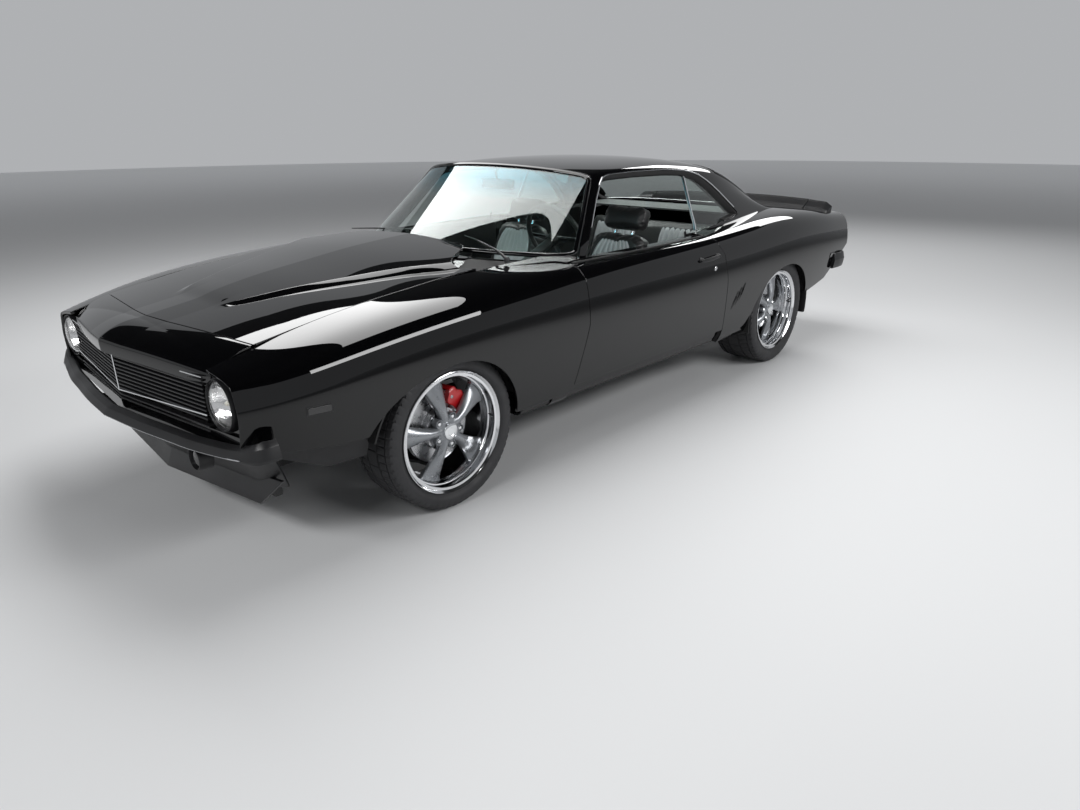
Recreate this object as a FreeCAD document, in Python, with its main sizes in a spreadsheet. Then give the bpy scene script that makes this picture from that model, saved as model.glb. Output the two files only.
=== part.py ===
import FreeCAD, Part
import math
import os

import Sketcher
from FreeCAD import Placement, Rotation, Vector

# A two-door hardtop muscle car with a cowl-induction hood, modelled at its real size in
# millimetres. X points to the car's left, Y to its rear and Z up, and the origin lies on the
# floor under the middle of the car. The panels follow feature lines that run along the body.

doc = FreeCAD.newDocument("muscle_car")

# Driving dimensions

SIZES = [
    # Whole car
    ("wheelbase", 2743), ("front_overhang", 955), ("rear_overhang", 1026), ("half_width", 940),
    ("car_height", 1300),
    # Sheet metal, gaps and cuts
    ("skin", 12), ("panel_gap", 7), ("seat_gap", 0.3), ("pin_gap", 0.05), ("run_gap", 6),
    ("overrun", 60), ("glass_wall", 6),
    # Wheels and tyres
    ("front_tyre_radius", 322.5), ("rear_tyre_radius", 338.5), ("front_tyre_width", 235),
    ("rear_tyre_width", 275), ("rim_lip_radius", 250), ("rim_bead_radius", 229),
    ("rim_wall", 9), ("front_track_half", 765), ("rear_track_half", 749),
    ("front_face_inset", 42), ("rear_face_inset", 60), ("hub_bore_radius", 36),
    ("hub_cap_radius", 34), ("spoke_depth", 34), ("rim_flange", 7), ("window_inner_radius", 92),
    ("window_outer_radius", 196), ("window_inner_half", 38), ("window_outer_half", 74),
    ("spoke_count", 5), ("tyre_shoulder", 20), ("tyre_bulge", 10), ("tread_groove", 6),
    ("tread_groove_width", 8), ("disc_radius", 150), ("disc_wall", 28), ("disc_hat_radius", 88),
    ("disc_inset", 34), ("spindle_radius", 30),
    # Wheel arches
    ("front_arch_radius", 356), ("front_arch_drop", 54), ("rear_arch_middle", 300),
    ("rear_arch_half", 392), ("rear_arch_rise", 337.5), ("liner_gap", 50), ("liner_wall", 8),
    ("liner_inner", 440), ("rear_liner_inner", 560),
    # Steering and front suspension
    ("kingpin_half", 740), ("upright_inner", 655), ("upright_wall", 34), ("joint_drop", 164),
    ("boss_radius", 22), ("boss_height", 20), ("pin_radius", 9), ("arm_height", 14),
    ("arm_base_half", 150), ("arm_root", 340), ("rail_half", 330), ("rail_width", 80),
    ("rail_height", 90), ("rail_floor", 190), ("rail_length", 1240), ("rail_start", 640),
    ("rail_foot", 400), ("crossmember_width", 200), ("support_height", 520),
    ("support_wall", 30), ("support_half", 600), ("tower_width", 60),
    # Calipers
    ("caliper_wall", 22), ("caliper_angle", 62),
    # Engine, gearbox and driveline
    ("engine_length", 700), ("engine_width", 560), ("engine_height", 520),
    ("engine_floor", 250), ("engine_start", 430), ("gearbox_length", 460),
    ("gearbox_width", 220), ("gearbox_height", 160), ("gearbox_floor", 225),
    ("shaft_radius", 38), ("axle_radius", 40), ("differential_radius", 135),
    ("differential_wall", 230), ("spring_half", 500), ("spring_width", 64), ("spring_wall", 34),
    ("spring_front", 395), ("spring_rear", 720), ("spring_floor", 215),
    # Exhaust and tank
    ("pipe_radius", 29), ("pipe_half", 235), ("muffler_radius", 62), ("muffler_length", 460),
    ("tank_length", 520), ("tank_width", 760), ("tank_height", 165), ("tank_start", 620),
    # Floor and sills
    ("floor_half", 690), ("floor_height", 240), ("floor_wall", 20), ("trunk_floor_half", 552),
    ("trunk_floor_height", 485), ("tunnel_half", 140), ("tunnel_height", 470),
    ("tunnel_wall", 15), ("sill_inner", 690.3), ("sill_floor", 262), ("sill_top", 335),
    ("pillar_front", 600), ("pillar_inner", 715), ("door_inner", 790), ("quarter_inner", 715),
    # Doors, in axle measures
    ("door_front", 775), ("door_sill", 345), ("jamb_taper", 0.17), ("door_hinge_half", 925),
    ("handle_length", 210), ("handle_height", 22), ("handle_depth", 20), ("handle_rise", 785),
    ("handle_start", 1700),
    # Hood, cowl and trunk lid
    ("hood_wall", 20), ("hood_rear", 360), ("scoop_rear", 470), ("scoop_half", 300),
    ("cowl_wall", 30), ("lid_front", 3040), ("lid_rear", 3600), ("lid_wall", 18),
    # Glasshouse
    ("pillar_width", 40), ("pillar_depth", 55), ("roof_wall", 24), ("sail_wall", 20),
    # Front end
    ("lamp_half", 681), ("lamp_radius", 79), ("lamp_bezel", 9), ("lamp_depth", 70),
    ("lamp_lens", 8), ("grille_bar", 7), ("grille_pitch", 26), ("grille_depth", 22),
    ("nose_sweep", 120), ("bumper_height", 84), ("bumper_wall", 16), ("chin_floor", 181),
    ("chin_wall", 14), ("valance_floor", 250), ("valance_wall", 12), ("marker_length", 80),
    ("marker_height", 26), ("marker_wall", 8), ("marker_start", 627), ("marker_rise", 574),
    ("parking_half", 520), ("parking_radius", 44), ("parking_height", 370),
    # Rear end
    ("rear_bumper_floor", 505), ("rear_bumper_height", 105), ("tail_wall", 14),
    ("tail_floor", 430), ("tail_top", 845), ("tail_lamp_width", 330), ("tail_lamp_height", 105),
    ("tail_lamp_start", 300), ("tail_lamp_floor", 655), ("tail_lamp_wall", 18),
    ("spoiler_rise", 68), ("spoiler_chord", 110), ("plate_hole_radius", 3.5),
    ("plate_hole_spacing", 178),
    # Cabin
    ("dash_depth", 300), ("dash_height", 190), ("dash_floor", 640), ("dash_front", 640),
    ("wheel_half", 375), ("steer_ring_radius", 178), ("steer_ring_wall", 13),
    ("column_radius", 24), ("column_angle", 24), ("column_length", 470), ("seat_half", 385),
    ("seat_width", 480), ("seat_start", 1120), ("seat_length", 500), ("seat_height", 190),
    ("seat_back_height", 560), ("seat_back_wall", 130), ("seat_back_angle", 20),
    ("head_width", 240), ("head_height", 150), ("head_wall", 90), ("rear_seat_half", 540),
    ("rear_seat_start", 1935), ("mirror_width", 230), ("mirror_height", 55),
    ("mirror_wall", 22), ("mirror_stem", 8), ("wiper_wall", 7), ("wiper_radius", 14),
]

sheet = doc.addObject("Spreadsheet::Sheet", "sizes")
for row, (alias, number) in enumerate(SIZES, start=1):
    sheet.set(f"A{row}", alias)
    sheet.set(f"B{row}", str(number))
    sheet.setAlias(f"B{row}", alias)
doc.recompute()


class Size:
    """A number of the sheet, or a sum of such numbers, that keeps its own formula."""

    def __init__(self, value, text):
        self.value = float(value)
        self.text = text

    def __float__(self):
        return self.value

    def __add__(self, other):
        other = size(other)
        return Size(self.value + other.value, f"({self.text} + {other.text})")

    def __sub__(self, other):
        other = size(other)
        return Size(self.value - other.value, f"({self.text} - {other.text})")

    def __mul__(self, other):
        other = size(other)
        return Size(self.value * other.value, f"({self.text} * {other.text})")

    def __truediv__(self, other):
        other = size(other)
        return Size(self.value / other.value, f"({self.text} / {other.text})")

    def __radd__(self, other):
        return size(other) + self

    def __rsub__(self, other):
        return size(other) - self

    def __rmul__(self, other):
        return size(other) * self

    def __neg__(self):
        return size(0) - self


def size(number):
    """A plain number as a Size, so that sums may mix the two."""
    return number if isinstance(number, Size) else Size(number, repr(float(number)))


class Sheet:
    """The cells of the sheet by name, each as a Size."""

    def __getattr__(self, alias):
        return Size(sheet.get(alias), f"sizes.{alias}")


mm = Sheet()

front_axle = -(mm.wheelbase + mm.front_overhang + mm.rear_overhang) / 2 + mm.front_overhang
rear_axle = front_axle + mm.wheelbase


def bind(thing, path, amount):
    """Ties one property of an object to a formula of the sheet's cells."""
    thing.setExpression(path, size(amount).text)


def set_down(thing, x=0, y=0, z=0):
    """Puts an object at a place that follows the sheet."""
    for name, amount in (("x", x), ("y", y), ("z", z)):
        bind(thing, f"Placement.Base.{name}", amount)


# Primitives, sketches and features

def box(name, low, span):
    """A block from its low corner and its spans."""
    block = doc.addObject("Part::Box", name)
    for side, amount in zip(("Length", "Width", "Height"), span):
        bind(block, side, amount)
    set_down(block, *low)
    return block


def rod(name, start, radius, length, axis):
    """A round bar from its start point along one axis of the car."""
    bar = doc.addObject("Part::Cylinder", name)
    bind(bar, "Radius", radius)
    bind(bar, "Height", length)
    turns = {"x": Rotation(Vector(0, 1, 0), 90), "y": Rotation(Vector(1, 0, 0), -90),
             "z": Rotation()}
    bar.Placement = Placement(Vector(), turns[axis])
    set_down(bar, *start)
    return bar


def joined(name, pieces):
    """Several objects fused to one."""
    whole = doc.addObject("Part::MultiFuse", name)
    whole.Shapes = pieces
    return whole


def less(name, base, tool):
    """One object cut by another."""
    left = doc.addObject("Part::Cut", name)
    left.Base = base
    left.Tool = tool
    return left


def new_body(name):
    body = doc.addObject("PartDesign::Body", name)
    body.Label = name
    return body


def outline(body, role, points, name):
    """A closed sketch of straight edges, each corner tied to the sheet."""
    sketch = body.newObject("Sketcher::SketchObject", name)
    planes = [f for f in body.Origin.OriginFeatures if f.Role == role]
    sketch.AttachmentSupport = [(planes[0], "")]
    sketch.MapMode = "FlatFace"
    corners = [(size(a), size(b)) for a, b in points]
    count = len(corners)
    for i, (a, b) in enumerate(corners):
        c, d = corners[(i + 1) % count]
        sketch.addGeometry(Part.LineSegment(Vector(float(a), float(b), 0),
                                            Vector(float(c), float(d), 0)))
    for i in range(count):
        sketch.addConstraint(Sketcher.Constraint("Coincident", i, 2, (i + 1) % count, 1))
    for i, (a, b) in enumerate(corners):
        for kind, amount in (("DistanceX", a), ("DistanceY", b)):
            index = sketch.addConstraint(Sketcher.Constraint(kind, -1, 1, i, 1, float(amount)))
            bind(sketch, f"Constraints[{index}]", amount)
    return sketch


def pad(body, sketch, length, both_ways=True):
    feature = body.newObject("PartDesign::Pad", sketch.Name + "_pad")
    feature.Profile = sketch
    bind(feature, "Length", length)
    feature.Midplane = both_ways
    return feature


def pocket(body, sketch, length):
    feature = body.newObject("PartDesign::Pocket", sketch.Name + "_pocket")
    feature.Profile = sketch
    bind(feature, "Length", length)
    feature.Midplane = True
    return feature


def turned(body, sketch, axis="H_Axis"):
    feature = body.newObject("PartDesign::Revolution", sketch.Name + "_turned")
    feature.Profile = sketch
    feature.ReferenceAxis = (sketch, [axis])
    feature.Angle = 360
    return feature


PIECES = {}


def piece(name, thing):
    """Names an object as a finished sub-part."""
    thing.Label = name
    PIECES[name] = thing
    return thing


def form(name, shape):
    """A finished sub-part whose shape is made by the surface functions."""
    thing = doc.addObject("Part::Feature", name)
    thing.Shape = shape
    return piece(name, thing)


# Body surfaces. Each is a smooth sheet pulled by a net of points.

WIDTH = float(mm.half_width)
HEIGHT = float(mm.car_height)
BASE = float(mm.wheelbase)
FRONT = float(front_axle)
OVER = float(mm.overrun)
SKIN = float(mm.skin)
GAP = float(mm.panel_gap)

# Stations along the side, as shares: place along the wheelbase from the front axle, then
# half width at the side crease, crease height, fender peak half width and height, and the
# inner edge's half width and height.
SIDE_SHARES = [
    (-0.335, 0.893, 0.460, 0.830, 0.526, 0.655, 0.545),
    (-0.290, 0.926, 0.463, 0.853, 0.551, 0.675, 0.566),
    (-0.225, 0.952, 0.471, 0.874, 0.590, 0.683, 0.604),
    (-0.128, 0.981, 0.480, 0.892, 0.629, 0.689, 0.645),
    (0.000, 0.997, 0.485, 0.906, 0.658, 0.696, 0.673),
    (0.128, 0.995, 0.484, 0.917, 0.666, 0.702, 0.692),
    (0.273, 0.994, 0.480, 0.934, 0.670, 0.745, 0.684),
    (0.437, 0.995, 0.482, 0.940, 0.675, 0.782, 0.684),
    (0.600, 0.997, 0.494, 0.940, 0.677, 0.782, 0.685),
    (0.711, 0.997, 0.503, 0.940, 0.682, 0.782, 0.690),
    (0.838, 0.999, 0.514, 0.928, 0.697, 0.772, 0.705),
    (0.966, 1.002, 0.523, 0.917, 0.719, 0.755, 0.725),
    (1.075, 1.000, 0.523, 0.911, 0.721, 0.692, 0.730),
    (1.203, 0.984, 0.517, 0.902, 0.704, 0.690, 0.710),
    (1.294, 0.963, 0.512, 0.888, 0.679, 0.688, 0.686),
    (1.385, 0.935, 0.508, 0.865, 0.663, 0.684, 0.667),
]

# The side's section at a station, from the sill up: how far in from the crease and how high,
# as shares of the half width and of the rise below or above the crease
LOW_SHARES = [(0.165, -1.06), (0.090, -1.0), (0.054, -0.83), (0.024, -0.38)]
HIGH_SHARES = [(0.008, 0.30), (0.022, 0.72)]
LOW_HEIGHT_SHARE = 0.192


def along(share):
    """The place of a share of the wheelbase behind the front axle."""
    return FRONT + share * BASE


def side_section(station):
    """The net points of one station of the left side, from the sill to the inner edge."""
    place, side, crease, peak, peak_height, inner, inner_height = station
    y = along(place)
    points = []
    for inset, rise in LOW_SHARES:
        height = crease + rise * (crease - LOW_HEIGHT_SHARE)
        points.append(Vector((side - inset) * WIDTH, y, height * HEIGHT))
    points.append(Vector(side * WIDTH, y, crease * HEIGHT))
    for inset, rise in HIGH_SHARES:
        height = crease + rise * (peak_height - crease)
        points.append(Vector((side - inset) * WIDTH, y, height * HEIGHT))
    points.append(Vector(peak * WIDTH, y, peak_height * HEIGHT))
    middle = (peak + inner) / 2
    middle_height = (peak_height + 2 * inner_height) / 3
    points.append(Vector(middle * WIDTH, y, middle_height * HEIGHT))
    points.append(Vector(inner * WIDTH, y, inner_height * HEIGHT))
    return points


def inner_edge(place):
    """The half width of the side's inner edge at a share of the wheelbase."""
    for before, after in zip(SIDE_SHARES, SIDE_SHARES[1:]):
        if before[0] <= place <= after[0]:
            part = (place - before[0]) / (after[0] - before[0])
            return (before[5] + part * (after[5] - before[5])) * WIDTH
    raise ValueError("the place lies off the side")


def smooth_face(net):
    """A cubic surface pulled by a net of points, with its corners on the net's corners."""
    rows, columns = len(net), len(net[0])
    degrees = [min(3, rows - 1), min(3, columns - 1)]
    knots, multiplicities = [], []
    for count, degree in ((rows, degrees[0]), (columns, degrees[1])):
        spans = count - degree
        knots.append([float(i) for i in range(spans + 1)])
        multiplicities.append([degree + 1] + [1] * (spans - 1) + [degree + 1])
    surface = Part.BSplineSurface()
    surface.buildFromPolesMultsKnots(net, multiplicities[0], multiplicities[1], knots[0],
                                     knots[1], False, False, degrees[0], degrees[1])
    return surface.toShape()


def net_normals(net):
    """The unit normals at the points of a net."""
    rows, columns = len(net), len(net[0])
    normals = []
    for i in range(rows):
        line = []
        for j in range(columns):
            down = net[min(i + 1, rows - 1)][j] - net[max(i - 1, 0)][j]
            across = net[i][min(j + 1, columns - 1)] - net[i][max(j - 1, 0)]
            line.append(down.cross(across).normalize())
        normals.append(line)
    return normals


def moved_net(net, depth):
    """The net moved along its normals."""
    normals = net_normals(net)
    return [[point + normal * depth for point, normal in zip(points, line)]
            for points, line in zip(net, normals)]


def walled(net, inner):
    """The closed solid between two nets."""
    faces = [smooth_face(net), smooth_face(inner)]
    borders = []
    for grid in (net, inner):
        ends = [[grid[0]], [grid[-1]], [[line[0] for line in grid]], [[line[-1] for line in grid]]]
        borders.append([curve_of(end[0]) for end in ends])
    for outside, inside in zip(*borders):
        faces.append(Part.makeRuledSurface(outside, inside))
    shell = Part.makeShell(faces)
    shell.sewShape()
    solid = Part.makeSolid(Part.Shell(shell.Faces))
    if solid.Volume < 0:
        solid.reverse()
    return solid


def curve_of(points):
    """The border curve of a net's end line."""
    degree = min(3, len(points) - 1)
    spans = len(points) - degree
    curve = Part.BSplineCurve()
    curve.buildFromPolesMultsKnots(points, [degree + 1] + [1] * (spans - 1) + [degree + 1],
                                   [float(i) for i in range(spans + 1)], False, degree)
    return curve.toShape()


def sheet_solid(net, depth):
    """A sheet of even thickness on the inner side of a net."""
    return walled(net, moved_net(net, depth))


def mirrored(shape):
    """The same shape on the car's right."""
    return shape.mirror(Vector(), Vector(1, 0, 0))


def side_wire(points, x):
    """A closed outline in the side view, at one half width."""
    corners = [Vector(x, FRONT + y, z) for y, z in points]
    return Part.makePolygon(corners + corners[:1])


def side_prism(points, x_low, x_high):
    """A block whose outline is drawn in the side view, in axle measures."""
    face = Part.Face(side_wire(points, x_low))
    return face.extrude(Vector(x_high - x_low, 0, 0))


def plan_prism(points, z_low, z_high):
    """A block whose outline is drawn in plan, in axle measures."""
    corners = [Vector(x, FRONT + y, z_low) for x, y in points]
    face = Part.Face(Part.makePolygon(corners + corners[:1]))
    return face.extrude(Vector(0, 0, z_high - z_low))


def both_sides(shape):
    return Part.makeCompound([shape, mirrored(shape)])


side_net = [side_section(station) for station in SIDE_SHARES]
outer_side = smooth_face(side_net)
side_skin = sheet_solid(side_net, -SKIN)
if side_skin.BoundBox.XMax > outer_side.BoundBox.XMax + SKIN / 2:
    side_skin = sheet_solid(side_net, SKIN)
outside = outer_side.extrude(Vector(WIDTH / 2, 0, 0))


def under_skin(depth):
    """Everything outside a surface that lies at a depth under the side's outer surface."""
    nets = [moved_net(side_net, depth), moved_net(side_net, -depth)]
    nets.sort(key=lambda net: net[len(net) // 2][4].x)
    return smooth_face(nets[0 if depth > 0 else 1]).extrude(Vector(WIDTH / 2, 0, 0))



def front_arch(extra, x_low=0.0):
    """The round cut of the front wheel arch, outwards from one half width."""
    radius = float(mm.front_arch_radius) + extra
    height = float(mm.front_tyre_radius - mm.front_arch_drop)
    return Part.makeCylinder(radius, WIDTH + OVER - x_low, Vector(x_low, FRONT, height),
                             Vector(1, 0, 0))


def rear_arch(extra, x_low=0.0):
    """The flatter, oval cut of the rear wheel arch."""
    middle = Vector(x_low, FRONT + BASE, float(mm.rear_arch_middle))
    reach = Vector(0, float(mm.rear_arch_half) + extra, 0)
    rise = Vector(0, 0, float(mm.rear_arch_rise) + extra)
    oval = Part.Ellipse(middle + reach, middle + rise, middle).toShape()
    return Part.Face(Part.Wire([oval])).extrude(Vector(WIDTH + OVER - x_low, 0, 0))


def inside_of(prism, depth):
    """What lies inside the body's side, at a depth under its surface."""
    return prism.cut(under_skin(depth) if depth else outside)


def wheel_room(place, radius, reach, x_low):
    """The round room of one wheel, outwards from one half width."""
    return Part.makeCylinder(reach, WIDTH + OVER - x_low, Vector(x_low, place, radius),
                             Vector(1, 0, 0))


def wheel_liner(place, radius, x_low, floor):
    """A liner of sheet over one wheel, closed on its inner side above a height."""
    reach = radius + LINER_GAP
    solid = wheel_room(place, radius, reach + LINER_WALL, x_low)
    hollow = wheel_room(place, radius, reach, x_low + LINER_WALL)
    side_cut = plain_box((x_low - OVER, place - FRONT - reach * 2, -HEIGHT),
                         (x_low + LINER_WALL, place - FRONT + reach * 2, floor[1]))
    low_cut = plain_box((x_low - OVER, place - FRONT - reach * 2, -HEIGHT),
                        (WIDTH + OVER * 2, place - FRONT + reach * 2, floor[0]))
    core = wheel_room(place, radius, reach, x_low - OVER).common(side_cut)
    return inside_of(solid.cut(hollow).cut(core).cut(low_cut), SKIN + SEAT)


def plain_box(low, high):
    """A block between two corners, in axle measures."""
    block = Part.makeBox(high[0] - low[0], high[1] - low[1], high[2] - low[2])
    block.translate(Vector(low[0], FRONT + low[1], low[2]))
    return block


def fused(first, *others):
    whole = first
    for other in others:
        whole = whole.fuse(other)
    return whole.removeSplitter()


SEAT = float(mm.seat_gap)
LINER_GAP = float(mm.liner_gap)
LINER_WALL = float(mm.liner_wall)
NOSE = float(mm.front_overhang)
TAIL = BASE + float(mm.rear_overhang)
SWEEP = float(mm.nose_sweep)
DOOR_FRONT = float(mm.door_front)
DOOR_SILL = float(mm.door_sill)
SILL = float(mm.sill_floor)
KICK = 0.020 * BASE
CREASE = 0.480 * HEIGHT
BELT = 0.683 * HEIGHT
ABOVE = 0.76 * HEIGHT
fender_tip = NOSE - SWEEP - GAP
fender_rear = DOOR_FRONT - GAP / 2

# Front fenders: the skin, a return behind the headlamp and the flange at the door

fender_outline = [
    (-fender_tip, 0.40 * HEIGHT), (-fender_tip, 0.60 * HEIGHT), (-0.20 * BASE, ABOVE),
    (fender_rear, ABOVE), (fender_rear, CREASE), (fender_rear - KICK, DOOR_SILL),
    (fender_rear - KICK, 0.24 * HEIGHT), (0.11 * BASE, 0.24 * HEIGHT),
    (-0.11 * BASE, 0.23 * HEIGHT), (-0.24 * BASE, 0.23 * HEIGHT),
]
fender = side_skin.common(side_prism(fender_outline, WIDTH * 0.5, WIDTH + OVER))
return_outline = [
    (-fender_tip, 0.40 * HEIGHT), (-fender_tip, 0.53 * HEIGHT),
    (-fender_tip + SKIN, 0.53 * HEIGHT), (-fender_tip + SKIN, 0.40 * HEIGHT),
]
lamp_side = float(mm.lamp_half + mm.lamp_radius + mm.lamp_bezel)
fender = fused(fender, inside_of(side_prism(return_outline, lamp_side, WIDTH), 0))
fender = fender.cut(front_arch(0))
form("front_fenders", both_sides(fender))

# Front wheel liners: an arch of sheet over each wheel, with an inner wall above the arms

liner = wheel_liner(FRONT, float(mm.front_tyre_radius), float(mm.liner_inner),
                    (0.30 * HEIGHT, 0.44 * HEIGHT))
form("wheel_liners", both_sides(liner))

# Sills and hinge pillars

sill_end = 0.760 * BASE
sill_outline = [(0.152 * BASE, SILL), (sill_end, SILL), (sill_end, float(mm.sill_top)),
                (0.152 * BASE, float(mm.sill_top))]
pillar_rear = fender_rear - SEAT
pillar_outline = [
    (float(mm.pillar_front), SILL), (pillar_rear - KICK - GAP, SILL),
    (pillar_rear - KICK - GAP, DOOR_SILL), (pillar_rear - GAP, CREASE),
    (pillar_rear - GAP, 0.66 * HEIGHT), (float(mm.pillar_front), 0.66 * HEIGHT),
]
sill = inside_of(side_prism(sill_outline, float(mm.sill_inner), WIDTH + OVER), SKIN + GAP)
pillar = inside_of(side_prism(pillar_outline, float(mm.pillar_inner), WIDTH + OVER),
                   SKIN + SEAT)

# Doors, each as thick as the real one, with the rear edge tapered so that it swings clear

door_rear_line = [
    (0.745 * BASE - GAP / 2, DOOR_SILL), (0.7255 * BASE - GAP / 2, 0.487 * HEIGHT),
    (0.712 * BASE - GAP / 2, 0.612 * HEIGHT), (0.6925 * BASE - GAP / 2, 0.677 * HEIGHT),
    (0.6905 * BASE - GAP / 2, BELT),
]
door_front_line = [
    (DOOR_FRONT + GAP / 2, BELT), (DOOR_FRONT + GAP / 2, CREASE),
    (DOOR_FRONT + GAP / 2 - KICK, DOOR_SILL),
]
hinge_half = float(mm.door_hinge_half)
door_inner = float(mm.door_inner)


def tapered(front_line, rear_line, x_low, x_high, front_slope, rear_slope):
    """A block from the side view whose front and rear faces slope in plan."""
    wires = []
    for x in (x_low, x_high):
        points = [(y + front_slope * (x - hinge_half), z) for y, z in front_line]
        points += [(y + rear_slope * (x - hinge_half), z) for y, z in rear_line]
        wires.append(side_wire(points, x))
    return Part.makeLoft(wires, True, True)


JAMB = float(mm.jamb_taper)
door = tapered(door_front_line, door_rear_line, door_inner, WIDTH + OVER, 0, JAMB)
door = door.cut(outside)
handle_seat = WIDTH * 0.975
handle = plain_box((handle_seat - SKIN, float(mm.handle_start), float(mm.handle_rise)),
                   (handle_seat + float(mm.handle_depth),
                    float(mm.handle_start + mm.handle_length),
                    float(mm.handle_rise + mm.handle_height)))
door = fused(door, handle)
form("door_left", door)
form("door_right", mirrored(door))

# Rear quarters: the wall beside the rear seat, the skin over the wheel and the roof's sail

quarter_front = [(y + GAP, z) for y, z in door_rear_line]
quarter_front.insert(0, (quarter_front[0][0], 0.202 * HEIGHT))
quarter_outline = quarter_front + [
    (quarter_front[-1][0], ABOVE), (TAIL - 0.038 * BASE, ABOVE),
    (TAIL - 0.038 * BASE, 0.50 * HEIGHT),
    (BASE + 0.247 * BASE, 0.345 * HEIGHT), (BASE + 0.130 * BASE, 0.300 * HEIGHT),
    (BASE - 0.130 * BASE, 0.202 * HEIGHT),
]
skin_block = tapered(quarter_outline[len(quarter_front):], quarter_front,
                     WIDTH * 0.5, WIDTH + OVER, 0, JAMB)
quarter = side_skin.common(skin_block)
wall = tapered([(0.86 * BASE, 0.202 * HEIGHT), (0.86 * BASE, BELT)][::-1],
               quarter_front, float(mm.quarter_inner), WIDTH + OVER, 0, JAMB)
quarter = fused(quarter, wall.cut(outside))
quarter = quarter.cut(rear_arch(0))
rear_room = wheel_room(FRONT + BASE, float(mm.rear_tyre_radius),
                       float(mm.rear_tyre_radius) + LINER_GAP, WIDTH * 0.5)
quarter = quarter.cut(rear_room.cut(side_skin))
rear_liner = wheel_liner(FRONT + BASE, float(mm.rear_tyre_radius), float(mm.rear_liner_inner),
                         (0.31 * HEIGHT, 0.31 * HEIGHT))
quarter = fused(quarter, rear_liner)

# The roof's sail, from the quarter window to the rear window, as shares: half width, place
# and height of the net's points, from its front edge to its rear edge and from top to foot
SAIL_SHARES = [
    [(0.655, 0.735, 0.922), (0.690, 0.752, 0.866), (0.742, 0.771, 0.780), (0.790, 0.790, 0.700)],
    [(0.648, 0.790, 0.930), (0.682, 0.828, 0.868), (0.728, 0.868, 0.784), (0.775, 0.890, 0.706)],
    [(0.640, 0.838, 0.940), (0.662, 0.905, 0.868), (0.690, 0.980, 0.790), (0.728, 1.030, 0.718)],
    [(0.628, 0.872, 0.940), (0.636, 0.955, 0.868), (0.658, 1.035, 0.792), (0.712, 1.095, 0.722)],
]


def net_of(table):
    """A net from rows of shares of the half width, the wheelbase and the height."""
    return [[Vector(x * WIDTH, along(y), z * HEIGHT) for x, y, z in line] for line in table]


def full_net(table):
    """A net across the whole car from its left half, each row ending on the middle line."""
    rows = []
    for line in net_of(table):
        rows.append(line + [Vector(-p.x, p.y, p.z) for p in line[-2::-1]])
    return rows


def inward(net, depth):
    """A sheet solid on the side of the net that lies nearer to the car's middle."""
    one, other = sheet_solid(net, depth), sheet_solid(net, -depth)
    middle = Vector(0, 0, HEIGHT / 2)
    near = min((one, other), key=lambda s: (s.CenterOfMass - middle).Length)
    return near


sail = inward(net_of(SAIL_SHARES), float(mm.sail_wall))
sill = max(sill.cut(quarter).Solids, key=lambda s: s.Volume)
form("sills_and_hinge_pillars", both_sides(fused(sill, pillar)))
quarter = fused(quarter, sail)
form("quarter_left", quarter)
form("quarter_right", mirrored(quarter))

# Roof with its windshield pillars

ROOF_SHARES = [
    [(0.640, 0.436, 0.944), (0.610, 0.428, 0.955), (0.420, 0.412, 0.975), (0.0, 0.400, 0.984)],
    [(0.652, 0.480, 0.951), (0.615, 0.475, 0.966), (0.420, 0.468, 0.988), (0.0, 0.462, 0.998)],
    [(0.660, 0.590, 0.950), (0.620, 0.590, 0.969), (0.425, 0.590, 0.995), (0.0, 0.590, 1.006)],
    [(0.655, 0.730, 0.938), (0.618, 0.730, 0.961), (0.425, 0.730, 0.990), (0.0, 0.730, 1.001)],
    [(0.642, 0.850, 0.928), (0.610, 0.855, 0.944), (0.420, 0.864, 0.962), (0.0, 0.868, 0.970)],
]
roof_net = full_net(ROOF_SHARES)
roof_panel = inward(roof_net, float(mm.roof_wall))

WINDSHIELD_SHARES = [
    [(0.800, 0.332, 0.684), (0.700, 0.272, 0.692), (0.400, 0.212, 0.702), (0.0, 0.196, 0.704)],
    [(0.748, 0.368, 0.772), (0.655, 0.318, 0.785), (0.380, 0.272, 0.798), (0.0, 0.258, 0.802)],
    [(0.692, 0.402, 0.862), (0.608, 0.364, 0.878), (0.360, 0.335, 0.895), (0.0, 0.325, 0.901)],
    [(0.634, 0.432, 0.945), (0.562, 0.410, 0.962), (0.340, 0.394, 0.978), (0.0, 0.388, 0.985)],
]
windshield = inward(full_net(WINDSHIELD_SHARES), float(mm.glass_wall))
form("windshield", windshield)

pillar_w, pillar_d = float(mm.pillar_width), float(mm.pillar_depth)
pillar_foot = Vector(0.800 * WIDTH, along(0.330), 0.676 * HEIGHT)
pillar_head = Vector(0.642 * WIDTH, along(0.446), 0.942 * HEIGHT)


def pillar_ring(corner):
    """The section of a windshield pillar behind one corner of the glass."""
    points = [corner + Vector(SEAT, SEAT, 0), corner + Vector(-pillar_w, SEAT - pillar_d * 0.6, 0),
              corner + Vector(-pillar_w, pillar_d * 0.5, 0), corner + Vector(SEAT, pillar_d, 0)]
    return Part.makePolygon(points + points[:1])


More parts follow.
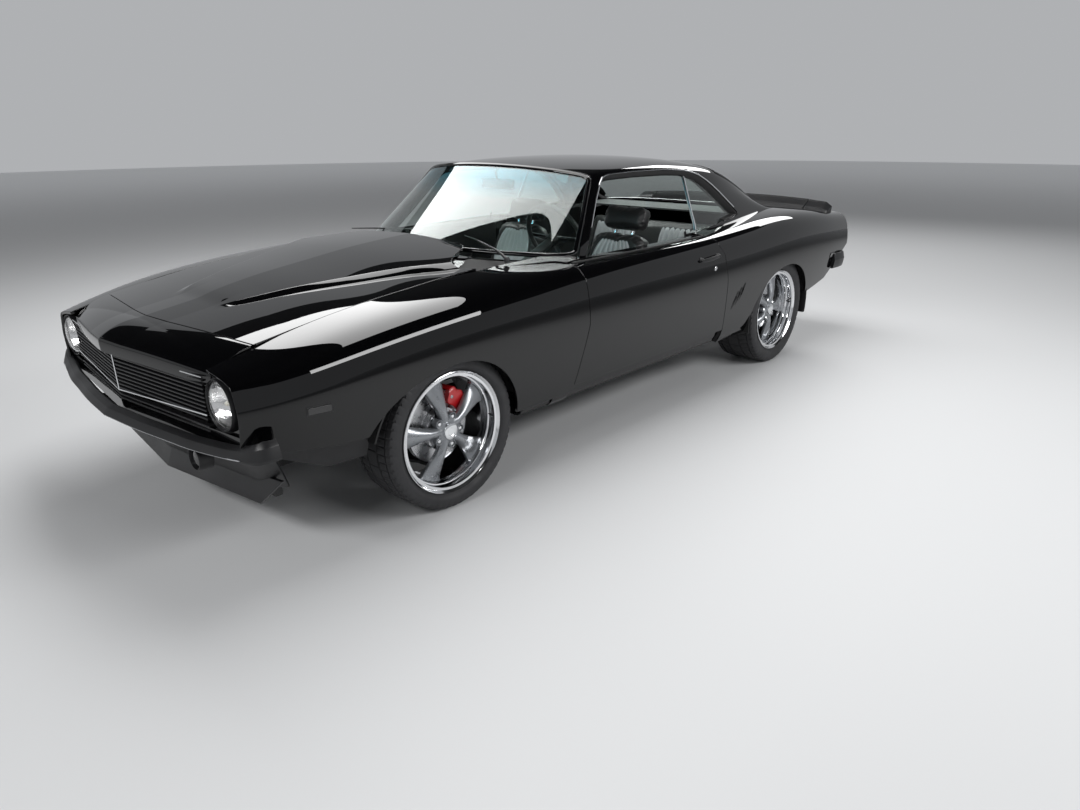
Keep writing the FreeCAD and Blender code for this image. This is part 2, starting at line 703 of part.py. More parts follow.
front_pillar = Part.makeLoft([pillar_ring(pillar_foot), pillar_ring(pillar_head)], True, True)
roof = fused(roof_panel, front_pillar, mirrored(front_pillar)).cut(windshield).cut(
    fused(quarter, mirrored(quarter)))
form("roof", max(roof.Solids, key=lambda s: s.Volume))
rear_window = inward(full_net([
    [(0.625, 0.8535, 0.924), (0.560, 0.8585, 0.937), (0.380, 0.8665, 0.951), (0.0, 0.8700, 0.960)],
    [(0.628, 0.937, 0.866), (0.575, 0.944, 0.876), (0.390, 0.955, 0.886), (0.0, 0.960, 0.890)],
    [(0.640, 1.005, 0.796), (0.590, 1.012, 0.804), (0.400, 1.026, 0.812), (0.0, 1.030, 0.815)],
    [(0.655, 1.050, 0.732), (0.600, 1.062, 0.736), (0.410, 1.080, 0.740), (0.0, 1.085, 0.742)],
]), float(mm.glass_wall)).cut(fused(quarter, mirrored(quarter))).cut(roof)
form("rear_window", max(rear_window.Solids, key=lambda s: s.Volume))

# Hood, cowl and trunk lid

HOOD_EDGE_SHARES = [(-0.274, 0.575), (-0.200, 0.617), (-0.100, 0.653), (0.000, 0.674),
                    (0.070, 0.685), (0.180, 0.696)]
BULGE_SHARES = [0.000, 0.014, 0.026, 0.031, 0.034, 0.036]
HOOD_COLUMN_SHARES = [(0.700, 0.000, 0.0), (0.540, 0.006, 0.0), (0.335, 0.009, 0.0),
                      (0.285, 0.010, 0.9), (0.100, 0.012, 0.95), (0.0, 0.014, 1.0)]
HOOD_CORNER_SHARE = 0.033


def hood_net():
    rows = []
    for index, ((place, edge), bulge) in enumerate(zip(HOOD_EDGE_SHARES, BULGE_SHARES)):
        line = []
        for column, crown, lift in HOOD_COLUMN_SHARES:
            sweep = HOOD_CORNER_SHARE * column / HOOD_COLUMN_SHARES[0][0] if index == 0 else 0
            line.append((column, place + sweep, edge + crown + lift * bulge))
        rows.append(line)
    return full_net(rows)


hood_rear = float(mm.hood_rear)
scoop_half, scoop_rear = float(mm.scoop_half), float(mm.scoop_rear)
HOOD_SIDE_SHARES = [-0.241, -0.170, -0.080, 0.020, hood_rear / BASE]
hood_side = [(inner_edge(place) - GAP, place * BASE) for place in HOOD_SIDE_SHARES]
hood_plan = [(0, -0.274 * BASE)] + hood_side + [(scoop_half, hood_rear),
                                                (scoop_half * 0.94, scoop_rear)]
hood_plan += [(-x, y) for x, y in hood_plan[:0:-1]]
hood = inward(hood_net(), float(mm.hood_wall)).common(
    plan_prism(hood_plan, 0.4 * HEIGHT, HEIGHT))
form("hood", hood)

COWL_SHARES = [
    [(0.880, 0.120, 0.678), (0.690, 0.120, 0.688), (0.400, 0.120, 0.694), (0.0, 0.120, 0.697)],
    [(0.880, 0.230, 0.680), (0.700, 0.230, 0.690), (0.400, 0.230, 0.697), (0.0, 0.230, 0.700)],
    [(0.880, 0.370, 0.678), (0.720, 0.370, 0.688), (0.400, 0.370, 0.698), (0.0, 0.370, 0.702)],
]
cowl_front = hood_rear + GAP
cowl_half = door_inner - GAP * 0.75
cowl_plan = [(0.692 * WIDTH, cowl_front), (0.730 * WIDTH, fender_rear),
             (cowl_half, fender_rear + GAP), (cowl_half, 0.345 * BASE), (0.800 * WIDTH, 0.329 * BASE),
             (0.700 * WIDTH, 0.270 * BASE), (0.400 * WIDTH, 0.209 * BASE), (0, 0.193 * BASE)]
cowl_plan += [(-x, y) for x, y in cowl_plan[-2::-1]]
cowl = inward(full_net(COWL_SHARES), float(mm.cowl_wall)).common(
    plan_prism(cowl_plan, 0.5 * HEIGHT, HEIGHT))
cowl = cowl.cut(roof).cut(windshield).cut(both_sides(fender)).cut(both_sides(pillar))
form("cowl_panel", max(cowl.Solids, key=lambda s: s.Volume))

LID_SHARES = [
    [(0.750, 1.060, 0.724), (0.500, 1.060, 0.735), (0.0, 1.060, 0.740)],
    [(0.745, 1.140, 0.716), (0.500, 1.140, 0.727), (0.0, 1.140, 0.731)],
    [(0.740, 1.230, 0.699), (0.500, 1.230, 0.711), (0.0, 1.230, 0.715)],
    [(0.730, 1.330, 0.674), (0.500, 1.330, 0.687), (0.0, 1.330, 0.691)],
]
deck = inward(full_net(LID_SHARES), float(mm.lid_wall))
lid_front, lid_rear = float(mm.lid_front), float(mm.lid_rear)
lid_half = inner_edge(lid_rear / BASE) - GAP
lid_plan = [(lid_half, lid_front), (lid_half, lid_rear), (-lid_half, lid_rear),
            (-lid_half, lid_front)]
form("trunk_lid", deck.common(plan_prism(lid_plan, 0.5 * HEIGHT, HEIGHT)))
rear_glass = PIECES["rear_window"].Shape
deck_half = 0.735 * WIDTH
deck_plan = [(deck_half, lid_front - GAP), (-deck_half, lid_front - GAP),
             (-deck_half, 1.055 * BASE), (0, 1.086 * BASE), (deck_half, 1.055 * BASE)]
filler = deck.common(plan_prism(deck_plan, 0.5 * HEIGHT, HEIGHT)).cut(rear_glass).cut(
    fused(quarter, mirrored(quarter)))
form("rear_deck", max(filler.Solids, key=lambda s: s.Volume))

# Nose: header panel, grille, headlamps, bumper, valance and chin

HEADER_SHARES = [
    [(0.690, -0.300, 0.532), (0.400, -0.318, 0.535), (0.0, -0.336, 0.538)],
    [(0.690, -0.303, 0.542), (0.400, -0.321, 0.546), (0.0, -0.339, 0.550)],
    [(0.690, -0.282, 0.566), (0.400, -0.298, 0.573), (0.0, -0.314, 0.580)],
    [(0.690, -0.244, 0.590), (0.400, -0.261, 0.603), (0.0, -0.277, 0.610)],
]
header = inward(full_net(HEADER_SHARES), SKIN).cut(both_sides(fender))


def band(points, wall, z_low, z_high, shift=0.0):
    """A wall that follows a line in plan, as wide as its thickness, leaning by a shift."""
    wires = []
    for z, back in ((z_low, shift), (z_high, 0.0)):
        left = [(x, y + back) for x, y in points]
        right = [(-x, y) for x, y in left[::-1] if x > 0]
        front = right + left if left[0][0] == 0 else right + left
        rear = [(x * (1 - wall / WIDTH), y + wall) for x, y in front[::-1]]
        corners = [Vector(x, FRONT + y, z) for x, y in front + rear]
        wires.append(Part.makePolygon(corners + corners[:1]))
    return Part.makeLoft(wires, True, True)


LAMP_SHARE, GRILLE_FLOOR_SHARE, GRILLE_TOP_SHARE, BUMPER_SHARE = 0.4754, 0.4192, 0.5308, 0.3508
grille_half = float(mm.lamp_half - mm.lamp_radius - mm.lamp_bezel) - SEAT
grille_floor, grille_top = GRILLE_FLOOR_SHARE * HEIGHT, GRILLE_TOP_SHARE * HEIGHT
grille_bar, grille_pitch = float(mm.grille_bar), float(mm.grille_pitch)
grille_depth = float(mm.grille_depth)
grille_nose = -NOSE + 0.025 * BASE
grille_back = grille_nose + SWEEP * grille_half / (0.84 * WIDTH)
grille_line = [(0, grille_nose), (grille_half, grille_back)]
bars = []
count = int((grille_top - grille_floor) / grille_pitch)
for index in range(count + 1):
    height = grille_floor + index * grille_pitch
    bars.append(band(grille_line, grille_depth, height, height + grille_bar))
post = grille_bar * 2
for x in (-grille_half, -grille_half / 2, 0, grille_half / 2, grille_half):
    reach = grille_nose + abs(x) / grille_half * (grille_back - grille_nose)
    low = min(max(x - post / 2, -grille_half), grille_half - post)
    bars.append(plain_box((low, reach + grille_depth * 0.3, grille_floor),
                          (low + post, reach + grille_depth,
                           grille_floor + count * grille_pitch + grille_bar)))
form("grille", bars[0].fuse(bars[1:]))

lamp_half, lamp_height = float(mm.lamp_half), LAMP_SHARE * HEIGHT
lamp_radius, lamp_bezel = float(mm.lamp_radius), float(mm.lamp_bezel)
lamp_depth, lamp_lens = float(mm.lamp_depth), float(mm.lamp_lens)
lamp_front = -NOSE + SWEEP


def y_round(x, y, z, radius, length):
    """A round bar that runs rearwards from a point in axle measures."""
    return Part.makeCylinder(radius, length, Vector(x, FRONT + y, z), Vector(0, 1, 0))


bezel = y_round(lamp_half, lamp_front, lamp_height, lamp_radius + lamp_bezel, lamp_depth)
bezel = bezel.cut(y_round(lamp_half, lamp_front - OVER, lamp_height, lamp_radius,
                          lamp_depth + OVER - SKIN))
lamp_room = y_round(lamp_half, lamp_front - OVER, lamp_height,
                    lamp_radius + lamp_bezel + SEAT, lamp_depth + OVER * 2)
header = header.cut(both_sides(lamp_room))
form("header_panel", max(header.Solids, key=lambda s: s.Volume))
lens = y_round(lamp_half, lamp_front + lamp_lens, lamp_height, lamp_radius - SEAT, lamp_lens)
form("headlamps", Part.makeCompound([bezel, lens, mirrored(bezel), mirrored(lens)]))

bumper_floor = BUMPER_SHARE * HEIGHT
bumper_top = bumper_floor + float(mm.bumper_height)
bumper_wall = float(mm.bumper_wall)
bumper_line = [(0, -NOSE), (0.745 * WIDTH, -NOSE + 0.0317 * BASE),
               (0.915 * WIDTH, -NOSE + 0.0383 * BASE), (0.973 * WIDTH, -NOSE + 0.0474 * BASE),
               (0.984 * WIDTH, -NOSE + 0.0602 * BASE)]
bumper = band(bumper_line, bumper_wall, bumper_floor, bumper_top)
support_front = -float(mm.rail_start)
bracket_half = float(mm.rail_half)
bracket = plain_box((bracket_half - bumper_wall, -NOSE + 0.018 * BASE, bumper_floor + bumper_wall),
                    (bracket_half + bumper_wall, support_front - SEAT, bumper_top - bumper_wall))
form("front_bumper", fused(bumper, bracket, mirrored(bracket)))

valance_floor = float(mm.valance_floor)
valance_line = [(0, -NOSE + 0.030 * BASE), (0.70 * WIDTH, -NOSE + 0.062 * BASE),
                (0.86 * WIDTH, -NOSE + 0.082 * BASE), (0.90 * WIDTH, -NOSE + 0.108 * BASE)]
valance = band(valance_line, float(mm.valance_wall), valance_floor, bumper_floor - SEAT,
               0.030 * BASE)
valance = inside_of(valance, 0).cut(both_sides(fender))
parking = y_round(float(mm.parking_half), -NOSE + 0.048 * BASE, float(mm.parking_height),
                  float(mm.parking_radius), 0.03 * BASE)
parking_hole = y_round(float(mm.parking_half), -NOSE, float(mm.parking_height),
                       float(mm.parking_radius) + SEAT, 0.1 * BASE)
valance = valance.cut(both_sides(parking_hole))
form("front_valance", max(valance.Solids, key=lambda s: s.Volume))
chin_line = [(0, -NOSE + 0.064 * BASE), (0.66 * WIDTH, -NOSE + 0.089 * BASE)]
form("chin_spoiler", band(chin_line, float(mm.chin_wall), float(mm.chin_floor),
                          valance_floor - SEAT))


def marker(start, floor):
    """A side marker lamp that stands just proud of the body's side."""
    block = plain_box((WIDTH * 0.8, start, floor),
                      (WIDTH + OVER, start + float(mm.marker_length),
                       floor + float(mm.marker_height)))
    near, far = outside.copy(), outside.copy()
    near.translate(Vector(SEAT, 0, 0))
    far.translate(Vector(SEAT + float(mm.marker_wall), 0, 0))
    return block.common(near).cut(far)


front_marker = marker(-float(mm.marker_start), float(mm.marker_rise))
rear_marker = marker(BASE + 0.250 * BASE, 0.455 * HEIGHT)
form("marker_lamps", Part.makeCompound(
    [s for lamp in (front_marker, rear_marker, parking) for s in (lamp, mirrored(lamp))]))

# Tail panel, lamps, bumper and spoiler

tail_wall = float(mm.tail_wall)
tail_place = TAIL - 0.050 * BASE
tail_outline = [(tail_place, float(mm.tail_floor)), (tail_place + tail_wall, float(mm.tail_floor)),
                (tail_place + tail_wall, float(mm.tail_top)), (tail_place, float(mm.tail_top))]
tail_half_panel = inside_of(side_prism(tail_outline, 0, WIDTH + OVER), SKIN + SEAT)
form("tail_panel", fused(tail_half_panel, mirrored(tail_half_panel)))
lamp_low = (float(mm.tail_lamp_start), tail_place + tail_wall + SEAT, float(mm.tail_lamp_floor))
tail_lamp = plain_box(lamp_low, (lamp_low[0] + float(mm.tail_lamp_width),
                                 lamp_low[1] + float(mm.tail_lamp_wall),
                                 lamp_low[2] + float(mm.tail_lamp_height)))
form("tail_lamps", both_sides(tail_lamp))

rear_floor = float(mm.rear_bumper_floor)
rear_top = rear_floor + float(mm.rear_bumper_height)
rear_line = [(0, TAIL), (0.62 * WIDTH, TAIL - 0.008 * BASE), (0.86 * WIDTH, TAIL - 0.022 * BASE),
             (0.955 * WIDTH, TAIL - 0.035 * BASE)]


def rear_band(points, wall, z_low, z_high):
    """A wall that follows a line round the back, in plan."""
    left = points
    right = [(-x, y) for x, y in left[:0:-1]]
    rear = right + left
    front = [(x, y - wall) for x, y in rear[::-1]]
    corners = [Vector(x, FRONT + y, z_low) for x, y in rear + front]
    return Part.Face(Part.makePolygon(corners + corners[:1])).extrude(
        Vector(0, 0, z_high - z_low))


rear_bumper = rear_band(rear_line, bumper_wall, rear_floor, rear_top)
rear_bracket = plain_box((0.40 * WIDTH, tail_place + tail_wall + SEAT, rear_floor + bumper_wall),
                         (0.44 * WIDTH, TAIL - 0.010 * BASE, rear_top - bumper_wall))
plate_hole = y_round(float(mm.plate_hole_spacing) / 2, TAIL - OVER, (rear_floor + rear_top) / 2,
                     float(mm.plate_hole_radius), OVER * 2)
rear_bumper = fused(rear_bumper, rear_bracket, mirrored(rear_bracket)).cut(
    both_sides(plate_hole))
form("rear_bumper", rear_bumper)

spoiler_rise, spoiler_chord = float(mm.spoiler_rise), float(mm.spoiler_chord)
spoiler_front = lid_rear - spoiler_chord
spoiler_base = 0.66 * HEIGHT
spoiler_seat = 0.6665 * HEIGHT
SPOILER_SHARES = [(0.0, 0.12), (0.45, 0.42), (1.0, 1.0), (1.04, 0.9)]
SPOILER_FOOT_SHARE, SPOILER_HALF_SHARE = 0.97, 0.8606
spoiler_outline = [(spoiler_front, spoiler_base)] + [
    (spoiler_front + a * spoiler_chord, spoiler_seat + b * spoiler_rise)
    for a, b in SPOILER_SHARES]
spoiler_outline.append((spoiler_front + SPOILER_FOOT_SHARE * spoiler_chord, spoiler_base))
spoiler = side_prism(spoiler_outline, 0, SPOILER_HALF_SHARE * WIDTH)
deck_room = deck.copy()
deck_room.translate(Vector(0, 0, SEAT))
lid_spoiler = spoiler.common(plain_box((0, spoiler_front, 0),
                                       (lid_half, lid_rear + OVER, HEIGHT)))
lid_spoiler = fused(lid_spoiler, mirrored(lid_spoiler)).cut(deck_room)
lid_spoiler = max(lid_spoiler.Solids, key=lambda s: s.BoundBox.ZMax)
form("rear_spoiler", lid_spoiler)
end_spoiler = spoiler.common(plain_box((lid_half + GAP, spoiler_front, 0),
                                       (WIDTH, lid_rear + OVER, HEIGHT)))
end_spoiler = end_spoiler.common(under_skin(-SEAT))
end_spoiler = max(end_spoiler.Solids, key=lambda s: s.BoundBox.ZMax)
form("spoiler_ends", both_sides(end_spoiler))

# Floor pan with firewall, toe board, tunnel and trunk floor

floor_wall, floor_height = mm.floor_wall, mm.floor_height
firewall = front_axle + mm.pillar_front * 0.85
toe = firewall + mm.wheelbase * 0.125
kick_up = front_axle + mm.wheelbase * 0.84
axle_hump = front_axle + mm.wheelbase * 0.905
trunk_end = front_axle + mm.wheelbase + mm.rear_overhang - mm.wheelbase * 0.052
trunk_height = mm.trunk_floor_height
firewall_top = mm.car_height * 0.655
floor_body = new_body("floor_pan")
floor_sketch = outline(floor_body, "YZ_Plane", [
    (firewall, firewall_top), (firewall, trunk_height), (toe, floor_height),
    (kick_up, floor_height), (kick_up, floor_height + floor_wall),
    (toe + floor_wall, floor_height + floor_wall),
    (firewall + floor_wall, trunk_height + floor_wall), (firewall + floor_wall, firewall_top)],
    "floor_section")
pad(floor_body, floor_sketch, mm.floor_half * 2)
trunk_sketch = outline(floor_body, "YZ_Plane", [
    (kick_up - floor_wall, floor_height), (kick_up, floor_height), (axle_hump, trunk_height),
    (trunk_end, trunk_height), (trunk_end, trunk_height + floor_wall),
    (axle_hump - floor_wall, trunk_height + floor_wall),
    (kick_up - floor_wall, floor_height + floor_wall)], "trunk_section")
pad(floor_body, trunk_sketch, mm.trunk_floor_half * 2)
tunnel_top = mm.tunnel_height
tunnel_rear = floor_height + floor_wall * 8
tunnel_sketch = outline(floor_body, "YZ_Plane", [
    (firewall, floor_height), (kick_up, floor_height), (kick_up + floor_wall * 5, tunnel_rear),
    (toe + mm.wheelbase * 0.1, tunnel_rear), (firewall, tunnel_top)],
    "tunnel_section")
pad(floor_body, tunnel_sketch, mm.tunnel_half * 2)
channel_sketch = outline(floor_body, "YZ_Plane", [
    (firewall - floor_wall, floor_height - floor_wall),
    (kick_up + floor_wall * 4, floor_height - floor_wall),
    (kick_up + floor_wall * 4, tunnel_rear - mm.tunnel_wall),
    (toe + mm.wheelbase * 0.1, tunnel_rear - mm.tunnel_wall),
    (firewall - floor_wall, tunnel_top - mm.tunnel_wall)], "tunnel_channel")
pocket(floor_body, channel_sketch, (mm.tunnel_half - mm.tunnel_wall) * 2)
piece("floor_pan", floor_body)

# Front subframe with its crossmember, radiator support, towers, arms and steering pins

spindle_height = mm.front_tyre_radius
arm_low = spindle_height - mm.joint_drop - mm.boss_height / 2 - mm.pin_gap * 40 - mm.arm_height
arm_high = spindle_height + mm.joint_drop + mm.boss_height / 2 + mm.pin_gap * 40
rail_outer = mm.rail_half + mm.rail_width / 2


def arm(name, side, floor):
    """A wishbone from the frame to the steering axis, with its vertical pin."""
    body = new_body(name)
    tip = mm.boss_radius
    sketch = outline(body, "XY_Plane", [
        (side * mm.arm_root, front_axle - mm.arm_base_half),
        (side * (mm.arm_root + tip * 2), front_axle - mm.arm_base_half),
        (side * (mm.kingpin_half - tip * 4), front_axle - tip),
        (side * (mm.kingpin_half + tip / 2), front_axle - tip / 2),
        (side * (mm.kingpin_half + tip / 2), front_axle + tip / 2),
        (side * (mm.kingpin_half - tip * 4), front_axle + tip),
        (side * (mm.arm_root + tip * 2), front_axle + mm.arm_base_half),
        (side * mm.arm_root, front_axle + mm.arm_base_half)], name + "_plan")
    pad(body, sketch, mm.arm_height, both_ways=False)
    set_down(body, 0, 0, floor)
    return body


frame_pieces = []
for side, word in ((1, "left"), (-1, "right")):
    frame_pieces.append(arm(f"lower_arm_{word}", side, arm_low))
    frame_pieces.append(arm(f"upper_arm_{word}", side, arm_high))
    pin_x = side * mm.kingpin_half
    frame_pieces.append(rod(f"lower_pin_{word}", (pin_x, front_axle, arm_low), mm.pin_radius,
                            mm.arm_height + mm.boss_height, "z"))
    frame_pieces.append(rod(f"upper_pin_{word}",
                            (pin_x, front_axle, arm_high - mm.boss_height), mm.pin_radius,
                            mm.boss_height + mm.arm_height, "z"))
    rail_low = side * mm.rail_half - mm.rail_width / 2
    frame_pieces.append(box(f"rail_{word}", (rail_low, front_axle - mm.rail_start, mm.rail_floor),
                            (mm.rail_width, mm.rail_length, mm.rail_height)))
    frame_pieces.append(box(f"rail_foot_{word}",
                            (rail_low, front_axle - mm.rail_start + mm.rail_length - mm.rail_width,
                             mm.rail_floor),
                            (mm.rail_width, mm.rail_foot,
                             floor_height - mm.rail_floor - mm.seat_gap)))
    frame_pieces.append(box(f"tower_{word}", (rail_low, front_axle - mm.arm_base_half, arm_low),
                            (mm.tower_width, mm.arm_base_half * 2,
                             arm_high + mm.arm_height - arm_low)))
frame_pieces.append(box("crossmember", (-rail_outer, front_axle - mm.crossmember_width / 2, arm_low),
                        (rail_outer * 2, mm.crossmember_width, mm.rail_height)))
frame_pieces.append(box("radiator_support",
                        (-mm.support_half, front_axle - mm.rail_start, mm.rail_floor),
                        (mm.support_half * 2, mm.support_wall, mm.support_height)))
piece("front_subframe", joined("subframe_whole", frame_pieces))

# Engine with its gearbox, one plain block

engine = box("engine", (-mm.engine_width / 2, front_axle - mm.engine_start, mm.engine_floor),
             (mm.engine_width, mm.engine_length, mm.engine_height))
gearbox = box("gearbox", (-mm.gearbox_width / 2, front_axle - mm.engine_start + mm.engine_length,
                          mm.gearbox_floor),
              (mm.gearbox_width, mm.gearbox_length, mm.gearbox_height))
piece("engine_and_gearbox", joined("engine_whole", [engine, gearbox]))

# Rear axle with its differential, propeller shaft and leaf springs

rear_height = mm.rear_tyre_radius
gearbox_end = front_axle - mm.engine_start + mm.engine_length + mm.gearbox_length
rear_hub = mm.rear_track_half + mm.rear_tyre_width / 2 - mm.rear_face_inset - mm.spoke_depth
axle_end = rear_hub - mm.disc_inset - mm.disc_wall - mm.run_gap
axle_pieces = [
    rod("axle_tube", (-axle_end, rear_axle, rear_height), mm.axle_radius, axle_end * 2, "x"),
    rod("differential", (-mm.differential_wall / 2, rear_axle, rear_height),
        mm.differential_radius, mm.differential_wall, "x"),
    rod("propeller_shaft", (0, gearbox_end + mm.seat_gap, mm.gearbox_floor + mm.gearbox_height / 2),
        mm.shaft_radius, rear_axle - gearbox_end - mm.seat_gap, "y"),
]
for side, word in ((1, "left"), (-1, "right")):
    start = rear_hub - mm.disc_inset + mm.spoke_depth - mm.seat_gap
    length = start - axle_end
    axle_pieces.append(rod(f"stub_{word}", (axle_end if side > 0 else -start, rear_axle, rear_height),
                           mm.spindle_radius, length, "x"))
    axle_pieces.append(box(f"leaf_spring_{word}",
                           (side * mm.spring_half - mm.spring_width / 2,
                            rear_axle - mm.spring_front, mm.spring_floor + mm.rail_height / 2),
                           (mm.spring_width, mm.spring_front + mm.spring_rear, mm.spring_wall)))
    axle_pieces.append(box(f"spring_seat_{word}",
                           (side * mm.spring_half - mm.spring_width / 2,
                            rear_axle - mm.spring_width, mm.spring_floor + mm.rail_height / 2),
                           (mm.spring_width, mm.spring_width * 2,
                            rear_height - mm.spring_floor - mm.rail_height / 2)))
    axle_pieces.append(box(f"shackle_{word}",
                           (side * mm.spring_half - mm.spring_width / 2,
                            rear_axle + mm.spring_rear - mm.spring_wall,
                            mm.spring_floor + mm.rail_height / 2),
                           (mm.spring_width, mm.spring_wall,
                            trunk_height - mm.spring_floor - mm.rail_height / 2 - mm.seat_gap)))
piece("rear_axle", joined("axle_whole", axle_pieces))

# Exhaust and fuel tank

exhaust = []
for side, word in ((1, "left"), (-1, "right")):
    start = front_axle - mm.engine_start + mm.engine_length
    x = side * mm.pipe_half
    z = mm.floor_height - mm.muffler_radius - mm.seat_gap
    muffler = front_axle + mm.wheelbase / 2
    exhaust.append(joined(f"exhaust_{word}", [
        rod(f"pipe_{word}", (x, start, z), mm.pipe_radius, muffler - start, "y"),
        rod(f"muffler_{word}", (x, muffler, z), mm.muffler_radius, mm.muffler_length, "y")]))
doc.recompute()
form("exhaust", Part.makeCompound([e.Shape for e in exhaust]))
tank = box("tank", (-mm.tank_width / 2, rear_axle + mm.tank_start * 0.42,
                    trunk_height - mm.seat_gap - mm.tank_height),
           (mm.tank_width, mm.tank_length, mm.tank_height))
piece("fuel_tank", tank)

# Wheels. Each turns about its own X axis and is then set on its hub.

WHEELS = [
    ("front_left", 1, front_axle, mm.front_track_half, mm.front_tyre_radius,
     mm.front_tyre_width, mm.front_face_inset),
    ("front_right", -1, front_axle, mm.front_track_half, mm.front_tyre_radius,
     mm.front_tyre_width, mm.front_face_inset),
    ("rear_left", 1, rear_axle, mm.rear_track_half, mm.rear_tyre_radius,
     mm.rear_tyre_width, mm.rear_face_inset),
    ("rear_right", -1, rear_axle, mm.rear_track_half, mm.rear_tyre_radius,
     mm.rear_tyre_width, mm.rear_face_inset),
]


def on_hub(body, side, track, place, radius):
    """Sets a wheel piece on its hub, with its face outwards."""
    if side < 0:
        body.Placement = Placement(Vector(), Rotation(Vector(0, 0, 1), 180))
    set_down(body, side * track, place, radius)


def tyre(name, radius, width):
    body = new_body(name)
    half, bead = width / 2, mm.rim_bead_radius + mm.seat_gap
    seat = half - mm.rim_flange - mm.seat_gap * 2 - mm.tyre_bulge
    shoulder, bulge = mm.tyre_shoulder, mm.tyre_bulge
    groove, deep = mm.tread_groove_width, mm.tread_groove
    wall = (radius + bead) / 2
    right = [(seat, bead), (seat, mm.rim_lip_radius), (half, wall),
             (half - bulge / 2, radius - shoulder), (half - shoulder, radius - bulge / 4)]
    for share in (0.42, 0.0):
        x = half * share
        right += [(x + groove / 2, radius), (x + groove / 2, radius - deep),
                  (x - groove / 2, radius - deep), (x - groove / 2, radius)]
    left = [(-a, b) for a, b in right[:9][::-1]]
    sketch = outline(body, "XZ_Plane", right + left, name + "_section")
    turned(body, sketch)
    return body


def rim(name, width, inset):
    body = new_body(name)
    half = width / 2 - mm.tyre_bulge
    flange, lip = mm.rim_flange, mm.rim_lip_radius
    bead, wall = mm.rim_bead_radius, mm.rim_wall
    face = width / 2 - inset
    back = face - mm.spoke_depth
    bore, cap = mm.hub_bore_radius, mm.hub_cap_radius
    sketch = outline(body, "XZ_Plane", [
        (-half, bead - wall), (back - wall * 2, bead - wall), (back, bead - wall * 2),
        (back, bore), (face - wall, bore), (face - wall, 0), (face + wall, 0),
        (face + wall, cap), (face, cap), (face - wall / 2, bead - wall * 2),
        (half, bead - wall / 2), (half, lip), (half - flange, lip), (half - flange, bead),
        (flange - half, bead), (flange - half, lip), (-half, lip)], name + "_section")
    turned(body, sketch)
    doc.recompute()
    window = outline(body, "YZ_Plane", [
        (mm.window_inner_half * -1, mm.window_inner_radius),
        (mm.window_inner_half, mm.window_inner_radius),
        (mm.window_outer_half, mm.window_outer_radius),
        (mm.window_outer_half * -1, mm.window_outer_radius)], name + "_window")
    cut = pocket(body, window, width)
    doc.recompute()
    ring = body.newObject("PartDesign::PolarPattern", name + "_windows")
    ring.Originals = [cut]
    ring.Axis = (window, ["N_Axis"])
    ring.Angle = 360
    ring.Occurrences = int(float(mm.spoke_count))
    body.Tip = ring
    return body


def brake_disc(name, width, inset):
    body = new_body(name)
    hat = width / 2 - inset - mm.spoke_depth - mm.seat_gap
    rotor = hat - mm.disc_inset
    wall = mm.rim_wall
    sketch = outline(body, "XZ_Plane", [
        (hat, mm.spindle_radius + mm.seat_gap), (hat, mm.disc_hat_radius),
        (rotor, mm.disc_hat_radius), (rotor, mm.disc_radius),
        (rotor - mm.disc_wall, mm.disc_radius), (rotor - mm.disc_wall, mm.disc_hat_radius - wall),
        (hat - wall, mm.disc_hat_radius - wall), (hat - wall, mm.spindle_radius + mm.seat_gap)],
        name + "_section")
    turned(body, sketch)
    return body


for word, side, place, track, radius, width, inset in WHEELS:
    for kind, made in ((f"tyre_{word}", tyre(f"tyre_{word}", radius, width)),
                       (f"rim_{word}", rim(f"rim_{word}", width, inset)),
                       (f"brake_disc_{word}", brake_disc(f"brake_disc_{word}", width, inset))):
        on_hub(made, side, track, place, radius)
        piece(kind, made)

# Front knuckles and calipers

front_hub = mm.front_track_half + mm.front_tyre_width / 2 - mm.front_face_inset - mm.spoke_depth
disc_outer = front_hub - mm.seat_gap - mm.disc_inset
disc_inner = disc_outer - mm.disc_wall


def knuckle(word, side):
    """The upright with its two steering bosses and the wheel's spindle."""
    def across(low, length):
        return low if side > 0 else -(low + length)

    reach = mm.joint_drop + mm.boss_height / 2
    boss_end = mm.kingpin_half + mm.boss_radius / 2
    wall, half = mm.upright_wall, mm.boss_radius
    low = mm.upright_inner
    parts = [box(f"upright_{word}", (across(low, wall), front_axle - half, spindle_height - reach),
                 (wall, half * 2, reach * 2))]
    for end, base in (("top", spindle_height + mm.joint_drop - mm.boss_height / 2),
                      ("foot", spindle_height - reach)):
        parts.append(box(f"reach_{end}_{word}", (across(low, boss_end - low), front_axle - half, base),
                         (boss_end - low, half * 2, mm.boss_height)))
        parts.append(rod(f"boss_{end}_{word}", (side * mm.kingpin_half, front_axle, base),
                         mm.boss_radius, mm.boss_height, "z"))
    spindle_end = front_hub + mm.spoke_depth - mm.rim_wall * 2
    start = low + wall / 2
    length = spindle_end - start
    parts.append(rod(f"spindle_{word}", (across(start, length), front_axle, spindle_height),
                     mm.spindle_radius, length, "x"))
    ear = disc_inner - mm.run_gap / 2 - mm.caliper_wall - mm.seat_gap * 2 - low - wall / 2
    parts.append(box(f"caliper_ear_{word}", (across(low + wall / 2, ear), front_axle,
                                             spindle_height + mm.disc_hat_radius * 0.35),
                     (ear, mm.disc_radius * 0.80, mm.disc_hat_radius * 0.5)))
    whole = joined(f"knuckle_solid_{word}", parts)
    hole = rod(f"pin_hole_{word}", (side * mm.kingpin_half, front_axle,
                                    spindle_height - reach - mm.boss_height),
               mm.pin_radius + mm.pin_gap, (reach + mm.boss_height) * 2, "z")
    core = rod(f"spindle_core_{word}", (across(start, length), front_axle, spindle_height),
               mm.spindle_radius, length, "x")
    return less(f"knuckle_cut_{word}", whole, less(f"pin_room_{word}", hole, core))


